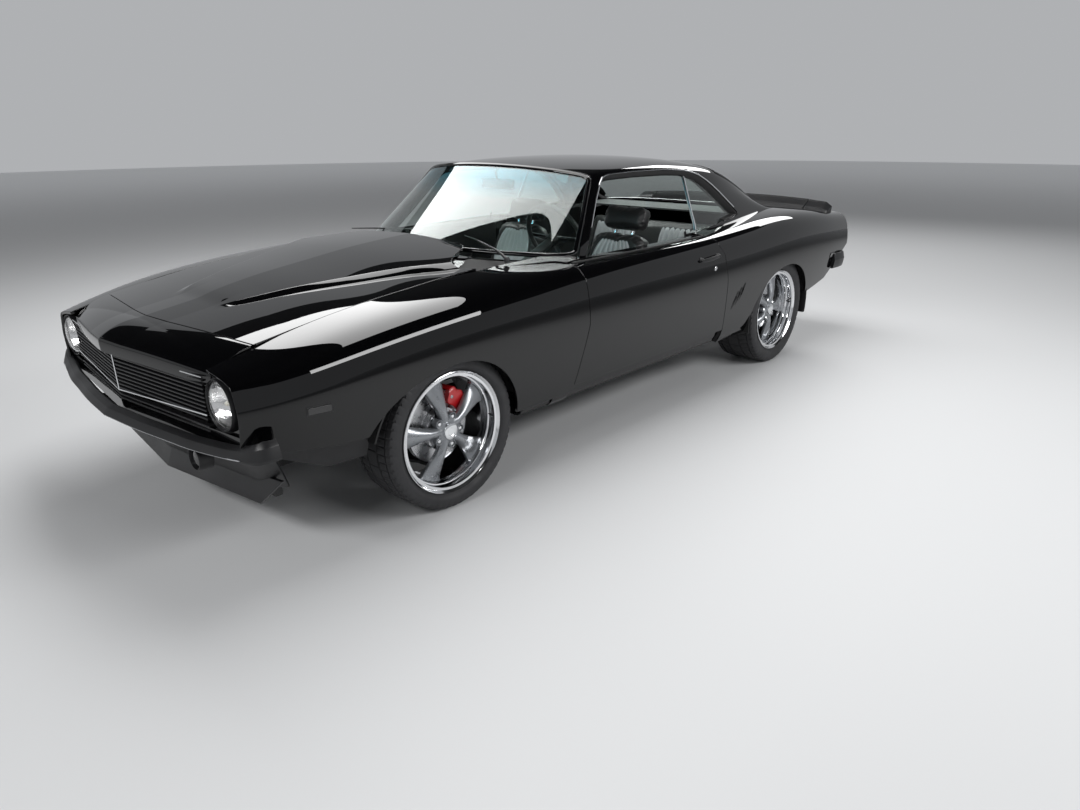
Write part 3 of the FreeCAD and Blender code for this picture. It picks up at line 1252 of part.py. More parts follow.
def caliper(word, side):
    """A caliper that straddles its disc, a sector of a ring with a slot."""
    inner = float(disc_inner) - float(mm.run_gap) / 2
    outer = float(disc_outer) + float(mm.caliper_wall)
    start = inner - float(mm.caliper_wall) - float(mm.seat_gap)
    hub = Vector(start, float(front_axle), float(spindle_height))
    turn = float(mm.caliper_angle)
    centre = Rotation(Vector(1, 0, 0), -turn)
    radius_low, radius_high = float(mm.disc_hat_radius), float(mm.disc_radius + mm.caliper_wall)
    ring = Part.makeCylinder(radius_high, outer - start, hub, Vector(1, 0, 0))
    ring = ring.cut(Part.makeCylinder(radius_low + float(mm.run_gap), outer - start, hub,
                                      Vector(1, 0, 0)))
    half = radius_high * 0.52
    sector = Part.makeBox(outer - start, half * 2, radius_high)
    sector.translate(Vector(start, -half, 0))
    sector.Placement = Placement(Vector(0, float(front_axle), float(spindle_height)),
                                 centre).multiply(sector.Placement)
    slot = Part.makeCylinder(float(mm.disc_radius + mm.run_gap), float(mm.disc_wall + mm.run_gap),
                             Vector(inner, hub.y, hub.z), Vector(1, 0, 0))
    made = ring.common(sector).cut(slot)
    made = max(made.Solids, key=lambda s: s.Volume)
    return made if side > 0 else mirrored(made)


for side, word in ((1, "left"), (-1, "right")):
    piece(f"knuckle_{word}", knuckle(word, side))
    form(f"front_caliper_{word}", caliper(word, side))

# Cabin: dashboard, steering wheel, seats and mirror

dash_half = mm.pillar_inner - mm.seat_gap
dash = box("dash", (-dash_half, front_axle + mm.dash_front, mm.dash_floor),
           (dash_half * 2, mm.dash_depth, mm.dash_height))
piece("dashboard", dash)

column_foot = (mm.wheel_half, front_axle + mm.dash_front + mm.dash_depth - mm.overrun,
               mm.dash_floor + mm.dash_height / 2)
column = doc.addObject("Part::Cylinder", "column")
bind(column, "Radius", mm.column_radius)
bind(column, "Height", mm.column_length / 2)
column.Placement = Placement(Vector(), Rotation(Vector(1, 0, 0), -(90 - float(mm.column_angle))))
set_down(column, *column_foot)
lean = math.radians(float(mm.column_angle))
head = (mm.wheel_half, column_foot[1] + mm.column_length / 2 * math.cos(lean),
        column_foot[2] + mm.column_length / 2 * math.sin(lean))
ring = doc.addObject("Part::Torus", "steering_ring")
bind(ring, "Radius1", mm.steer_ring_radius)
bind(ring, "Radius2", mm.steer_ring_wall)
ring.Placement = column.Placement
set_down(ring, *head)
spoke = doc.addObject("Part::Box", "steering_spoke")
bind(spoke, "Length", mm.steer_ring_radius * 2)
bind(spoke, "Width", mm.column_radius * 2)
bind(spoke, "Height", mm.steer_ring_wall)
spoke.Placement = column.Placement
set_down(spoke, head[0] - mm.steer_ring_radius, head[1] - mm.steer_ring_wall * 0.4,
         head[2] - mm.column_radius * 0.9)
doc.recompute()
steering = column.Shape.fuse([ring.Shape, spoke.Shape])
form("steering_wheel", steering.cut(dash.Shape))


seat_foot = float(mm.floor_height + mm.floor_wall + mm.seat_gap)


def seat(side):
    """A bucket seat: cushion, back and head restraint, one soft solid."""
    width = float(mm.seat_width)
    x = side * float(mm.seat_half) - width / 2
    cushion = Part.makeBox(width, float(mm.seat_length), float(mm.seat_height),
                           Vector(x, FRONT + float(mm.seat_start), seat_foot))
    wall, back_height = float(mm.seat_back_wall), float(mm.seat_back_height)
    back = Part.makeBox(width, wall, back_height, Vector(x, 0, 0))
    head_x = side * float(mm.seat_half) - float(mm.head_width) / 2
    head = Part.makeBox(float(mm.head_width), float(mm.head_wall), float(mm.head_height) * 1.2,
                        Vector(head_x, (wall - float(mm.head_wall)) / 2,
                               back_height - float(mm.head_height) * 0.2))
    upper = back.fuse(head)
    upper.Placement = Placement(
        Vector(0, FRONT + float(mm.seat_start + mm.seat_length) - wall,
               (seat_foot + float(mm.seat_height)) * 0.8),
        Rotation(Vector(1, 0, 0), -float(mm.seat_back_angle)))
    return cushion.fuse(upper).removeSplitter()


form("front_seats", Part.makeCompound([seat(1), seat(-1)]))
rear_start = float(mm.rear_seat_start)
rear_half = float(mm.rear_seat_half)
rear_cushion = plain_box((-rear_half, rear_start, float(mm.floor_height)),
                         (rear_half, rear_start + float(mm.seat_length), 0.35 * HEIGHT))
rear_back = side_prism([
    (rear_start + float(mm.seat_length) * 0.84, 0.35 * HEIGHT),
    (rear_start + float(mm.seat_length) * 1.05, 0.35 * HEIGHT),
    (rear_start + float(mm.seat_length) * 1.42, 0.71 * HEIGHT),
    (rear_start + float(mm.seat_length) * 1.15, 0.73 * HEIGHT)], -rear_half, rear_half)
seat_room = PIECES["floor_pan"].Shape.copy()
seat_room.translate(Vector(0, 0, SEAT))
rear_bench = fused(rear_cushion, rear_back).cut(seat_room)
form("rear_seat", max(rear_bench.Solids, key=lambda s: s.BoundBox.ZMax))

mirror_place = (mm.mirror_width * -0.5, front_axle + mm.wheelbase * 0.412, mm.car_height * 0.88)
mirror_back = box("mirror_back", mirror_place,
                  (mm.mirror_width, mm.mirror_wall, mm.mirror_height))
stem = rod("mirror_stem", (0, mirror_place[1] + mm.mirror_wall / 2,
                           mirror_place[2] + mm.mirror_height / 2),
           mm.mirror_stem, mm.car_height * 0.985 - mirror_place[2] - mm.mirror_height / 2, "z")
mirror_whole = joined("mirror_whole", [mirror_back, stem])
doc.recompute()
form("cabin_mirror", max(mirror_whole.Shape.cut(roof).Solids, key=lambda s: s.Volume))

# Quarter windows, up, and the wipers

PANE_SHARES = [
    [(0.654, 0.742, 0.903), (0.690, 0.752, 0.850), (0.740, 0.766, 0.775), (0.795, 0.785, 0.696)],
    [(0.652, 0.715, 0.905), (0.700, 0.716, 0.850), (0.752, 0.717, 0.775), (0.805, 0.718, 0.692)],
    [(0.650, 0.700, 0.906), (0.702, 0.700, 0.850), (0.756, 0.700, 0.775), (0.812, 0.700, 0.688)],
]
pane = inward([line for line in net_of(PANE_SHARES)], float(mm.glass_wall))
pane = pane.cut(quarter).cut(roof)
pane = max(pane.Solids, key=lambda s: s.Volume)
form("quarter_windows", both_sides(pane))


def wiper(pivot, elbow, tip):
    """A wiper: its pivot, arm and blade, straight bars that lie on the glass."""
    wall = float(mm.wiper_wall)
    corners = [Vector(x * WIDTH, along(y), z * HEIGHT) for x, y, z in (pivot, elbow, tip)]
    made = Part.makeCylinder(float(mm.wiper_radius), 0.055 * HEIGHT,
                             corners[0] - Vector(0, 0, 0.048 * HEIGHT))
    for start, end in zip(corners, corners[1:]):
        made = made.fuse(Part.makeCylinder(wall, (end - start).Length, start, end - start))
        made = made.fuse(Part.makeSphere(wall, end))
    return made


WIPER_SHARES = [
    ((0.600, 0.200, 0.722), (0.300, 0.225, 0.748), (-0.05, 0.215, 0.752)),
    ((-0.380, 0.190, 0.722), (-0.620, 0.270, 0.752), (-0.30, 0.235, 0.760)),
]
arms = [wiper(*line).cut(windshield).cut(cowl) for line in WIPER_SHARES]
form("wipers", Part.makeCompound([max(a.Solids, key=lambda s: s.Volume) for a in arms]))

# Check every object, then write one file for each sub-part

doc.recompute()
for thing in doc.Objects:
    if "Invalid" in thing.State or "Error" in thing.State:
        raise RuntimeError(f"{thing.Name} did not build: {thing.State}")
for name, thing in PIECES.items():
    if thing.Shape.isNull() or not thing.Shape.isValid():
        raise RuntimeError(f"{name} is not a valid shape")
os.makedirs("parts", exist_ok=True)
for name, thing in PIECES.items():
    thing.Shape.exportStep(os.path.join("parts", f"{name}.step"))
print(len(PIECES), "sub-parts written")
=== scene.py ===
# %% [markdown]
# This file dresses the car's solid model in Blender. The model comes in as a fixed frame, in
# metres: X points to the car's left, Y to its rear and Z up, and the origin lies on the floor.
# Every piece made here stands for one or more of its solids, or sits on them, and moves with
# the same body.

import math

import bpy
import numpy as np
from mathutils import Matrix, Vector, geometry
from mathutils.bvhtree import BVHTree


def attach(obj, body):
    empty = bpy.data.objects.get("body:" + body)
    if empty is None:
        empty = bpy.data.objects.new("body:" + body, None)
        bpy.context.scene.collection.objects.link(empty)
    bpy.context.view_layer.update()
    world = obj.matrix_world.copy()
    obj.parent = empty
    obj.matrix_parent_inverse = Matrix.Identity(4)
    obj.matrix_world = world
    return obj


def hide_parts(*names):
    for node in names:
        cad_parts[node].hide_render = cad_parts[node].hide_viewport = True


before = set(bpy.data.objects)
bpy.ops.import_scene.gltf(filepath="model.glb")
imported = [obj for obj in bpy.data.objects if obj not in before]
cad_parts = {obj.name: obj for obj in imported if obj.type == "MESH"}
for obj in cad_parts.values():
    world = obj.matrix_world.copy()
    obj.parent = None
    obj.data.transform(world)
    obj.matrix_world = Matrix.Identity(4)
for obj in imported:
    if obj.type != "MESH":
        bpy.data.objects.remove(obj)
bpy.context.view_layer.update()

# %% [markdown]
# A glossy dark car lives from its reflections, and a reflection shows each kink of a surface.
# So the panels here are not the model's flat facets. Each is drawn again as one smooth sheet
# that is pulled by a net of points, with the same nets as the solid model: a cubic B-spline
# surface, worked out with numpy.

# %% The car's measures and how a net pulls
HALF, TALL, BASE, AXLE = 0.940, 1.300, 2.743, -1.407
SKIN = 0.012
PANEL_GAP = 0.007
print("half width", HALF, "height", TALL, "wheelbase", BASE)


def spread(count, where):
    """How much each of count points pulls at each place from 0 to 1 along a sheet."""
    degree = min(3, count - 1)
    spans = count - degree
    knots = np.concatenate([np.zeros(degree), np.arange(spans + 1.0), np.full(degree, spans)])
    t = np.clip(np.asarray(where, float), 0, 1) * spans
    t = np.minimum(t, spans - 1e-9)[:, None]
    pull = ((knots[:-1] <= t) & (t < knots[1:])).astype(float)
    for k in range(1, degree + 1):
        left, right = knots[k:-1] - knots[:-k - 1], knots[k + 1:] - knots[1:-k]
        rise = (t - knots[:-k - 1]) / np.where(left > 0, left, np.inf)
        fall = (knots[k + 1:] - t) / np.where(right > 0, right, np.inf)
        pull = rise * pull[:, :-1] + fall * pull[:, 1:]
    return pull


def unit(vectors):
    return vectors / np.maximum(np.linalg.norm(vectors, axis=-1, keepdims=True), 1e-12)

# %% [markdown]
# A body designer pulls a surface with a coarse net of points. A subdivision surface could do
# the same by eye, but a B-spline is known at each u and v, so its normals, its cuts and its
# lengths can be worked out exactly.

# %% One smooth sheet
class Sheet:
    """A smooth sheet pulled by a net of points; u runs along the rows and v across them."""

    def __init__(self, net, outwards):
        self.net = np.array(net, float)
        self.sign = 1.0
        centre = np.array([[0.5, 0.5]])
        if float((self.normals(centre) @ np.array(outwards, float))[0]) < 0:
            self.sign = -1.0

    def points(self, uv):
        uv = np.asarray(uv, float)
        rows, columns = self.net.shape[:2]
        across = np.einsum("mj,ijk->mik", spread(columns, uv[:, 1]), self.net)
        return np.einsum("mi,mik->mk", spread(rows, uv[:, 0]), across)

    def normals(self, uv):
        uv, step = np.asarray(uv, float), 1e-4
        low, high = np.clip(uv - step, 0, 1), np.clip(uv + step, 0, 1)
        along = self.points(np.c_[high[:, 0], uv[:, 1]]) - self.points(np.c_[low[:, 0], uv[:, 1]])
        across = self.points(np.c_[uv[:, 0], high[:, 1]]) - self.points(np.c_[uv[:, 0], low[:, 1]])
        return unit(np.cross(unit(along), unit(across))) * self.sign

    def find(self, targets, axes, reach=(0, 1, 0, 1)):
        """The u and v at which the sheet passes points that are given on two axes."""
        targets, axes = np.asarray(targets, float), list(axes)
        u, v = np.meshgrid(np.linspace(*reach[:2], 121), np.linspace(*reach[2:], 121))
        grid = np.c_[u.ravel(), v.ravel()]
        seen = self.points(grid)[:, axes]
        gaps = ((targets[:, None, :] - seen[None]) ** 2).sum(-1)
        uv = grid[gaps.argmin(1)]
        step = 1e-4
        for _ in range(8):
            here = self.points(uv)[:, axes]
            du = (self.points(uv + [step, 0])[:, axes] - self.points(uv - [step, 0])[:, axes])
            dv = (self.points(uv + [0, step])[:, axes] - self.points(uv - [0, step])[:, axes])
            du, dv, miss = du / (2 * step), dv / (2 * step), targets - here
            turn = du[:, 0] * dv[:, 1] - du[:, 1] * dv[:, 0]
            turn = np.where(abs(turn) < 1e-9, 1e-9, turn)
            move = np.c_[miss[:, 0] * dv[:, 1] - miss[:, 1] * dv[:, 0],
                         du[:, 0] * miss[:, 1] - du[:, 1] * miss[:, 0]] / turn[:, None]
            uv = uv + np.clip(move, -0.05, 0.05)
            uv = np.c_[np.clip(uv[:, 0], *reach[:2]), np.clip(uv[:, 1], *reach[2:])]
        return uv


def net_of(table):
    """A net from rows of shares of the half width, the wheelbase and the height."""
    return [[(x * HALF, AXLE + y * BASE, z * TALL) for x, y, z in line] for line in table]


# %% [markdown]
# A real panel is a piece of such a sheet with a trimmed edge. The edge is drawn as an outline
# on the sheet, the inside is filled with small triangles, and the metal's edge is rolled over
# with a small radius and carried inwards, so that the shut lines look like folded steel. Each
# corner of a face carries the sheet's own normal, which keeps the reflections clean.

# %% Outlines on a sheet
STEP = 0.016
LIP = 0.0022


def follow(sheet, runs, step=STEP):
    """The u, v points of runs of places on named axes, in one line."""
    axes = {"yz": (1, 2), "xy": (0, 1), "xz": (0, 2)}
    outline = []
    for kind, places, *reach in runs:
        places = np.array(places, float)
        pieces = []
        for start, end in zip(places[:-1], places[1:]):
            if kind == "uv":
                ends = sheet.points(np.array([start, end]))
            else:
                ends = np.array([start, end])
            count = max(1, int(np.ceil(np.linalg.norm(ends[1] - ends[0]) / step)))
            pieces.append(start + (end - start) * np.arange(count)[:, None] / count)
        pieces.append(places[-1:])
        run = np.concatenate(pieces)
        if kind != "uv":
            shift = {"yz": (AXLE, 0), "xy": (0, AXLE), "xz": (0, 0)}[kind]
            run = sheet.find(run + np.array(shift), axes[kind], *reach)
        outline.append(run)
    return np.concatenate(outline)


def trace(sheet, runs, step=STEP):
    """A closed outline on a sheet, with even steps."""
    outline = follow(sheet, runs, step)
    seen = sheet.points(outline)
    filled = []
    for index in range(len(outline)):
        after = (index + 1) % len(outline)
        count = max(1, int(np.ceil(np.linalg.norm(seen[after] - seen[index]) / step)))
        filled.append(outline[index] + (outline[after] - outline[index])
                      * np.arange(count)[:, None] / count)
    outline = np.concatenate(filled)
    seen = sheet.points(outline)
    before, after = unit(seen - np.roll(seen, 1, 0)), unit(np.roll(seen, -1, 0) - seen)
    corner = (before * after).sum(1) < 0.96
    keep = [0]
    for index in range(1, len(outline)):
        gap = np.linalg.norm(seen[index] - seen[keep[-1]])
        if gap > step * 0.7 or (corner[index] and gap > step * 0.1):
            keep.append(index)
    while np.linalg.norm(seen[keep[-1]] - seen[keep[0]]) < step * 0.2:
        keep.pop()
    return outline[keep]

# %% [markdown]
# On a real drawing the outline is developed flat before it is cut. Rulers along u and v do
# that here: the triangles are laid out in metres and so stay even in size.

# %% Rulers, insides and edges
def rulers(sheet):
    """Tables that turn u and v into lengths along the middle of the sheet and back."""
    steps = np.linspace(0, 1, 301)
    lengths = []
    for along in (True, False):
        total = np.zeros(301)
        for share in (0.2, 0.5, 0.8):
            other = np.full(301, share)
            uv = np.c_[steps, other] if along else np.c_[other, steps]
            seen = sheet.points(uv)
            total[1:] += np.cumsum(np.linalg.norm(np.diff(seen, axis=0), axis=1)) / 3
        lengths.append(total)
    return steps, lengths[0], lengths[1]


def inside(points, loop, margin):
    """Which points lie inside a loop, and further from it than a margin."""
    a, b = loop, np.roll(loop, -1, axis=0)
    crossings = np.zeros(len(points), bool)
    nearest = np.full(len(points), np.inf)
    for (ax, ay), (bx, by) in zip(a, b):
        over = (ay > points[:, 1]) != (by > points[:, 1])
        x = ax + (points[:, 1] - ay) * (bx - ax) / (by - ay if by != ay else 1e-12)
        crossings ^= over & (points[:, 0] < x)
        run = np.array([bx - ax, by - ay])
        t = np.clip(((points - [ax, ay]) @ run) / max(run @ run, 1e-12), 0, 1)
        nearest = np.minimum(nearest, np.hypot(*(points - [ax, ay] - t[:, None] * run).T))
    return crossings & (nearest > margin)


def edge_loops(faces):
    """The open edges of a set of triangles, chained into loops that follow their winding."""
    ahead = {}
    seen = set()
    for face in faces:
        for one, two in zip(face, face[1:] + face[:1]):
            seen.add((one, two))
    for one, two in seen:
        if (two, one) not in seen:
            ahead[one] = two
    loops = []
    while ahead:
        start, loop = next(iter(ahead)), []
        here = start
        while here in ahead:
            loop.append(here)
            here = ahead.pop(here)
        loops.append(loop)
    return loops

# %% [markdown]
# Pressed steel is thin and folded over at its edges. A Solidify modifier could thicken the
# sheet, but its rim would be square, so the rolled lip is built ring by ring.

# %% A closed panel
def panel(sheet, loop, wall=SKIN, step=STEP, lip=LIP, depth=None):
    """A closed panel on a sheet inside an outline: points, faces and a normal per corner."""
    steps, u_length, v_length = rulers(sheet)
    edge = np.c_[np.interp(loop[:, 0], steps, u_length), np.interp(loop[:, 1], steps, v_length)]
    low, high = edge.min(0), edge.max(0)
    a, b = np.meshgrid(np.arange(low[0], high[0], step), np.arange(low[1], high[1], step))
    grid = np.c_[a.ravel(), b.ravel()]
    grid = grid[inside(grid, edge, step * 0.45)]
    ring = [(k - 1 if k else len(edge) - 1, k) for k in range(len(edge))]
    corners, _, faces, *_ = geometry.delaunay_2d_cdt(
        [Vector(p) for p in np.concatenate([edge, grid])], ring, [], 0, 1e-7, False)
    corners = np.array([tuple(c) for c in corners])
    array = np.array([list(f) for f in faces])
    array = array[inside(corners[array].mean(1), edge, -np.inf)]
    uv = np.c_[np.interp(corners[:, 0], u_length, steps), np.interp(corners[:, 1], v_length, steps)]
    points, normals = sheet.points(uv), sheet.normals(uv)
    facing = np.einsum("ij,ij->i", np.cross(points[array[:, 1]] - points[array[:, 0]],
                                            points[array[:, 2]] - points[array[:, 0]]),
                       normals[array].mean(1))
    if facing.sum() < 0:
        array = array[:, ::-1]
    return shell(points, normals, array, wall, lip, depth)


def shell(points, normals, array, wall=SKIN, lip=LIP, depth=None):
    """A closed panel from faces on a sheet, with its edge rolled over and an inner side."""
    faces = array.tolist()
    count = len(points)
    all_points = [points, points - normals * wall]
    all_faces = faces + [[c + count for c in f[::-1]] for f in faces]
    corner_normals = [normals[array].reshape(-1, 3), -normals[array[:, ::-1]].reshape(-1, 3)]
    total = count * 2
    for loop in edge_loops(faces):
        p, n = points[loop], normals[loop]
        run = unit(np.roll(p, -1, 0) - np.roll(p, 1, 0))
        out = unit(np.cross(run, n))
        rows, lights = [p], [n]
        for turn in (30, 60, 90):
            s, c = math.sin(math.radians(turn)), math.cos(math.radians(turn))
            rows.append(p + lip * s * out - lip * (1 - c) * n)
            lights.append(s * out + c * n)
        rows.append(p + lip * out - (depth or wall) * n)
        lights.append(out)
        size = len(loop)
        ids = [np.array(loop)] + [total + size * k + np.arange(size) for k in range(4)]
        ids.append(np.array(loop) + count)
        total += size * 4
        all_points += rows[1:]
        ahead = np.roll(np.arange(size), -1)
        for k in range(5):
            one, two = ids[k], ids[k + 1]
            all_faces += np.c_[one[ahead], one, two, two[ahead]].tolist()
            light = [lights[k], lights[k + 1]] if k < 4 else [-n, -n]
            corner_normals.append(np.stack([light[0][ahead], light[0], light[1],
                                            light[1][ahead]], 1).reshape(-1, 3))
    return np.concatenate(all_points), all_faces, np.concatenate(corner_normals)


def grid_panel(points, normals, wall=SKIN, lip=LIP, depth=None):
    """A closed panel from a grid of points with their normals."""
    rows, columns = points.shape[:2]
    i, j = np.meshgrid(np.arange(rows - 1), np.arange(columns - 1), indexing="ij")
    first = (i * columns + j).ravel()
    array = np.c_[first, first + 1, first + columns + 1, first + columns]
    points, normals = points.reshape(-1, 3), normals.reshape(-1, 3)
    facing = np.cross(points[array[:, 1]] - points[array[:, 0]],
                      points[array[:, 2]] - points[array[:, 0]])
    if (facing * normals[array[:, 0]]).sum() < 0:
        array = array[:, ::-1]
    return shell(points, normals, array, wall, lip, depth)

# %% [markdown]
# Most panels come in pairs. One side is made and the other mirrored, and each object is tied
# to its body and takes the place of its solid in the same step.

# %% From panels to pieces
def mirror(part):
    """The same part on the car's right."""
    points, faces, normals = part
    flipped, at = [], 0
    for face in faces:
        flipped.append(normals[at:at + len(face)][::-1] * [-1, 1, 1])
        at += len(face)
    return points * [-1, 1, 1], [f[::-1] for f in faces], np.concatenate(flipped)


def finish_piece(thing, body, material, replaces=()):
    """Gives a piece its material, the body that it moves with and what it stands for."""
    if material is not None and not thing.data.materials:
        thing.data.materials.append(material)
    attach(thing, body)
    if replaces:
        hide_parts(*replaces)
    return thing


def panel_piece(name, parts, body, material, replaces=()):
    """An object from trimmed panels, shaded with the sheet's own normals."""
    points, faces, normals, total = [], [], [], 0
    for p, f, n in parts:
        points.append(p)
        faces += [[int(c) + total for c in face] for face in f]
        normals.append(n)
        total += len(p)
    mesh = bpy.data.meshes.new(name)
    mesh.from_pydata(np.concatenate(points).tolist(), [], faces)
    mesh.polygons.foreach_set("use_smooth", [True] * len(mesh.polygons))
    mesh.update()
    mesh.normals_split_custom_set(np.concatenate(normals).tolist())
    thing = bpy.data.objects.new(name, mesh)
    bpy.context.scene.collection.objects.link(thing)
    print(name, len(mesh.polygons), "faces")
    return finish_piece(thing, body, material, replaces)

# %% [markdown]
# Each finish starts from the real material. One small function adds a node with its settings
# and links, and another turns a colour written as on a paint chart into linear light.

# %% How a finish is made
def colour(chart):
    """A linear colour from a hex value as paint charts give it."""
    parts = [int(chart[i:i + 2], 16) / 255 for i in (0, 2, 4)]
    return tuple(p / 12.92 if p <= 0.04045 else ((p + 0.055) / 1.055) ** 2.4
                 for p in parts) + (1.0,)


def add(tree, kind, inputs=None, **settings):
    """A new node with its settings; an input takes a value or another node's output."""
    made = tree.nodes.new("ShaderNode" + kind)
    for name, value in settings.items():
        setattr(made, name, value)
    for name, value in (inputs or {}).items():
        if isinstance(value, bpy.types.NodeSocket):
            tree.links.new(value, made.inputs[name])
        else:
            made.inputs[name].default_value = value
    return made


def finish(name, chart, metallic=0.0, roughness=0.5, bump=None, wear=None, mottle=None, **sockets):
    """A surface: bump is (size in metres, height), wear varies roughness, mottle the colour."""
    made = bpy.data.materials.new(name)
    made.use_nodes = True
    tree = made.node_tree
    shader = tree.nodes["Principled BSDF"]
    shader.inputs["Base Color"].default_value = colour(chart)
    shader.inputs["Metallic"].default_value = metallic
    shader.inputs["Roughness"].default_value = roughness
    for socket, value in sockets.items():
        shader.inputs[socket.replace("_", " ")].default_value = value
    place = add(tree, "TexCoord").outputs["Object"]
    if mottle:
        size, other = mottle
        noise = add(tree, "TexNoise", {"Vector": place, "Scale": 1 / size, "Detail": 3.0})
        mix = add(tree, "Mix", data_type="RGBA")
        tree.links.new(noise.outputs["Fac"], mix.inputs[0])
        mix.inputs[6].default_value = colour(chart)
        mix.inputs[7].default_value = colour(other)
        tree.links.new(mix.outputs[2], shader.inputs["Base Color"])
    if wear:
        size, amount = wear
        noise = add(tree, "TexNoise", {"Vector": place, "Scale": 1 / size, "Detail": 4.0})
        spread_out = add(tree, "MapRange", {"Value": noise.outputs["Fac"], "From Min": 0.3,
                                            "From Max": 0.7, "To Min": max(0, roughness - amount),
                                            "To Max": roughness + amount})
        tree.links.new(spread_out.outputs["Result"], shader.inputs["Roughness"])
    if bump:
        size, height = bump
        noise = add(tree, "TexNoise", {"Vector": place, "Scale": 1 / size, "Detail": 2.0})
        relief = add(tree, "Bump", {"Height": noise.outputs["Fac"], "Distance": height,
                                    "Strength": 1.0})
        tree.links.new(relief.outputs["Normal"], shader.inputs["Normal"])
    return made

# %% [markdown]
# Paint, plated and cast metal, rubber, vinyl and cloth differ in how rough they are and in
# what breaks their evenness. Image textures could show that; noise worked out from the
# object's own metres has no seams and needs no unwrapping.

# %% Paint, metals, rubber and cloth
# Black enamel under clear lacquer: only the lacquer shines, over a deep black, with a trace of
# orange peel.
black_enamel = finish("black_enamel", "030304", roughness=0.3, bump=(0.012, 0.0000015),
                      Specular_IOR_Level=0.0, Coat_Weight=1.0, Coat_Roughness=0.008)
# Powder coat: satin black with a fine even grain.
satin_black = finish("satin_powder_coat", "151517", roughness=0.42, bump=(0.0012, 0.00006),
                     wear=(0.25, 0.06))
# Moulded ABS, left dull.
dull_plastic = finish("moulded_abs", "131314", roughness=0.55, bump=(0.0009, 0.00008),
                      wear=(0.08, 0.08))
# Polished aluminium: bright, with the haze of a hand polish.
polished = finish("polished_aluminium", "E3E4E6", metallic=1.0, roughness=0.10,
                  wear=(0.05, 0.04))
# Silver wheel enamel over cast aluminium.
silver_enamel = finish("silver_wheel_enamel", "8E9195", metallic=0.75, roughness=0.30,
                       bump=(0.0006, 0.00002), wear=(0.04, 0.06), Coat_Weight=0.6,
                       Coat_Roughness=0.08)
# Chrome on steel.
chrome = finish("chrome_plate", "E8EAEC", metallic=1.0, roughness=0.06, wear=(0.06, 0.02))
# Cast iron, as on hubs and axles, with a dusty skin.
cast_iron = finish("cast_iron", "4B4B4C", metallic=0.8, roughness=0.6, bump=(0.002, 0.0002),
                   mottle=(0.03, "2F2E2D"))
# Turned steel of the brake discs: rings from the tool.
turned_steel = finish("turned_steel", "B4B5B7", metallic=1.0, roughness=0.28, wear=(0.02, 0.08))
# Red brake enamel.
red_enamel = finish("red_caliper_enamel", "B3161B", roughness=0.3, bump=(0.003, 0.00008),
                    Coat_Weight=0.5)
# Tyre rubber: dark grey with a soft bloom.
rubber = finish("tyre_rubber", "232325", roughness=0.62, bump=(0.0015, 0.0001),
                mottle=(0.06, "2C2C2E"), wear=(0.05, 0.08))
# Extruded rubber of the window seals.
seal_rubber = finish("window_rubber", "0D0D0E", roughness=0.5, bump=(0.001, 0.00005))
# Grained vinyl and leather.
black_vinyl = finish("grained_vinyl", "141415", roughness=0.45, bump=(0.0016, 0.00025),
                     wear=(0.05, 0.06))
black_leather = finish("black_leather", "171718", roughness=0.38, bump=(0.0022, 0.0004),
                       wear=(0.06, 0.06), Sheen_Weight=0.1)
grey_leather = finish("light_grey_leather", "A3A3A6", roughness=0.5, bump=(0.0018, 0.0004),
                      mottle=(0.08, "939397"), Sheen_Weight=0.15)
carpet = finish("loop_carpet", "1B1B1D", roughness=0.95, bump=(0.003, 0.0015),
                mottle=(0.01, "101011"), Sheen_Weight=0.3)
headlining = finish("headlining_cloth", "B9B9B6", roughness=0.9, bump=(0.0012, 0.0003),
                    mottle=(0.05, "ABABA8"))
# Underbody enamel, brushed on over steel.
chassis_black = finish("chassis_enamel", "1A1A1B", roughness=0.5, bump=(0.004, 0.0003),
                       wear=(0.1, 0.12))
# Aluminised exhaust steel.
exhaust_steel = finish("aluminised_steel", "8D8C89", metallic=1.0, roughness=0.38,
                       mottle=(0.12, "7A7670"), wear=(0.06, 0.1))
dark_mesh = finish("dark_wire_mesh", "0E0E0F", roughness=0.5, bump=(0.001, 0.0002))
print(len(bpy.data.materials), "materials so far")

# %% [markdown]
# Lenses are moulded acrylic and windows are clear, lightly green glass. Real glass shaders let
# no lamp light through to the cabin, so the panes turn clear for shadow rays.

# %% Lenses and window glass
def lamp_lens(name, chart, roughness=0.08):
    """A coloured moulded lens, seen through with light in it."""
    return finish(name, chart, roughness=roughness, bump=(0.004, 0.0006), Coat_Weight=0.7,
                  Transmission_Weight=0.35)


red_lens = lamp_lens("red_acrylic_lens", "8C0710")
smoked_lens = lamp_lens("smoked_acrylic_lens", "1B1B1C")
lamp_reflector = finish("lamp_reflector", "F2F2F2", metallic=1.0, roughness=0.12,
                        bump=(0.012, 0.0015))
lamp_bulb = finish("bulb_glass", "F6F4EA", roughness=0.2, Transmission_Weight=0.5)


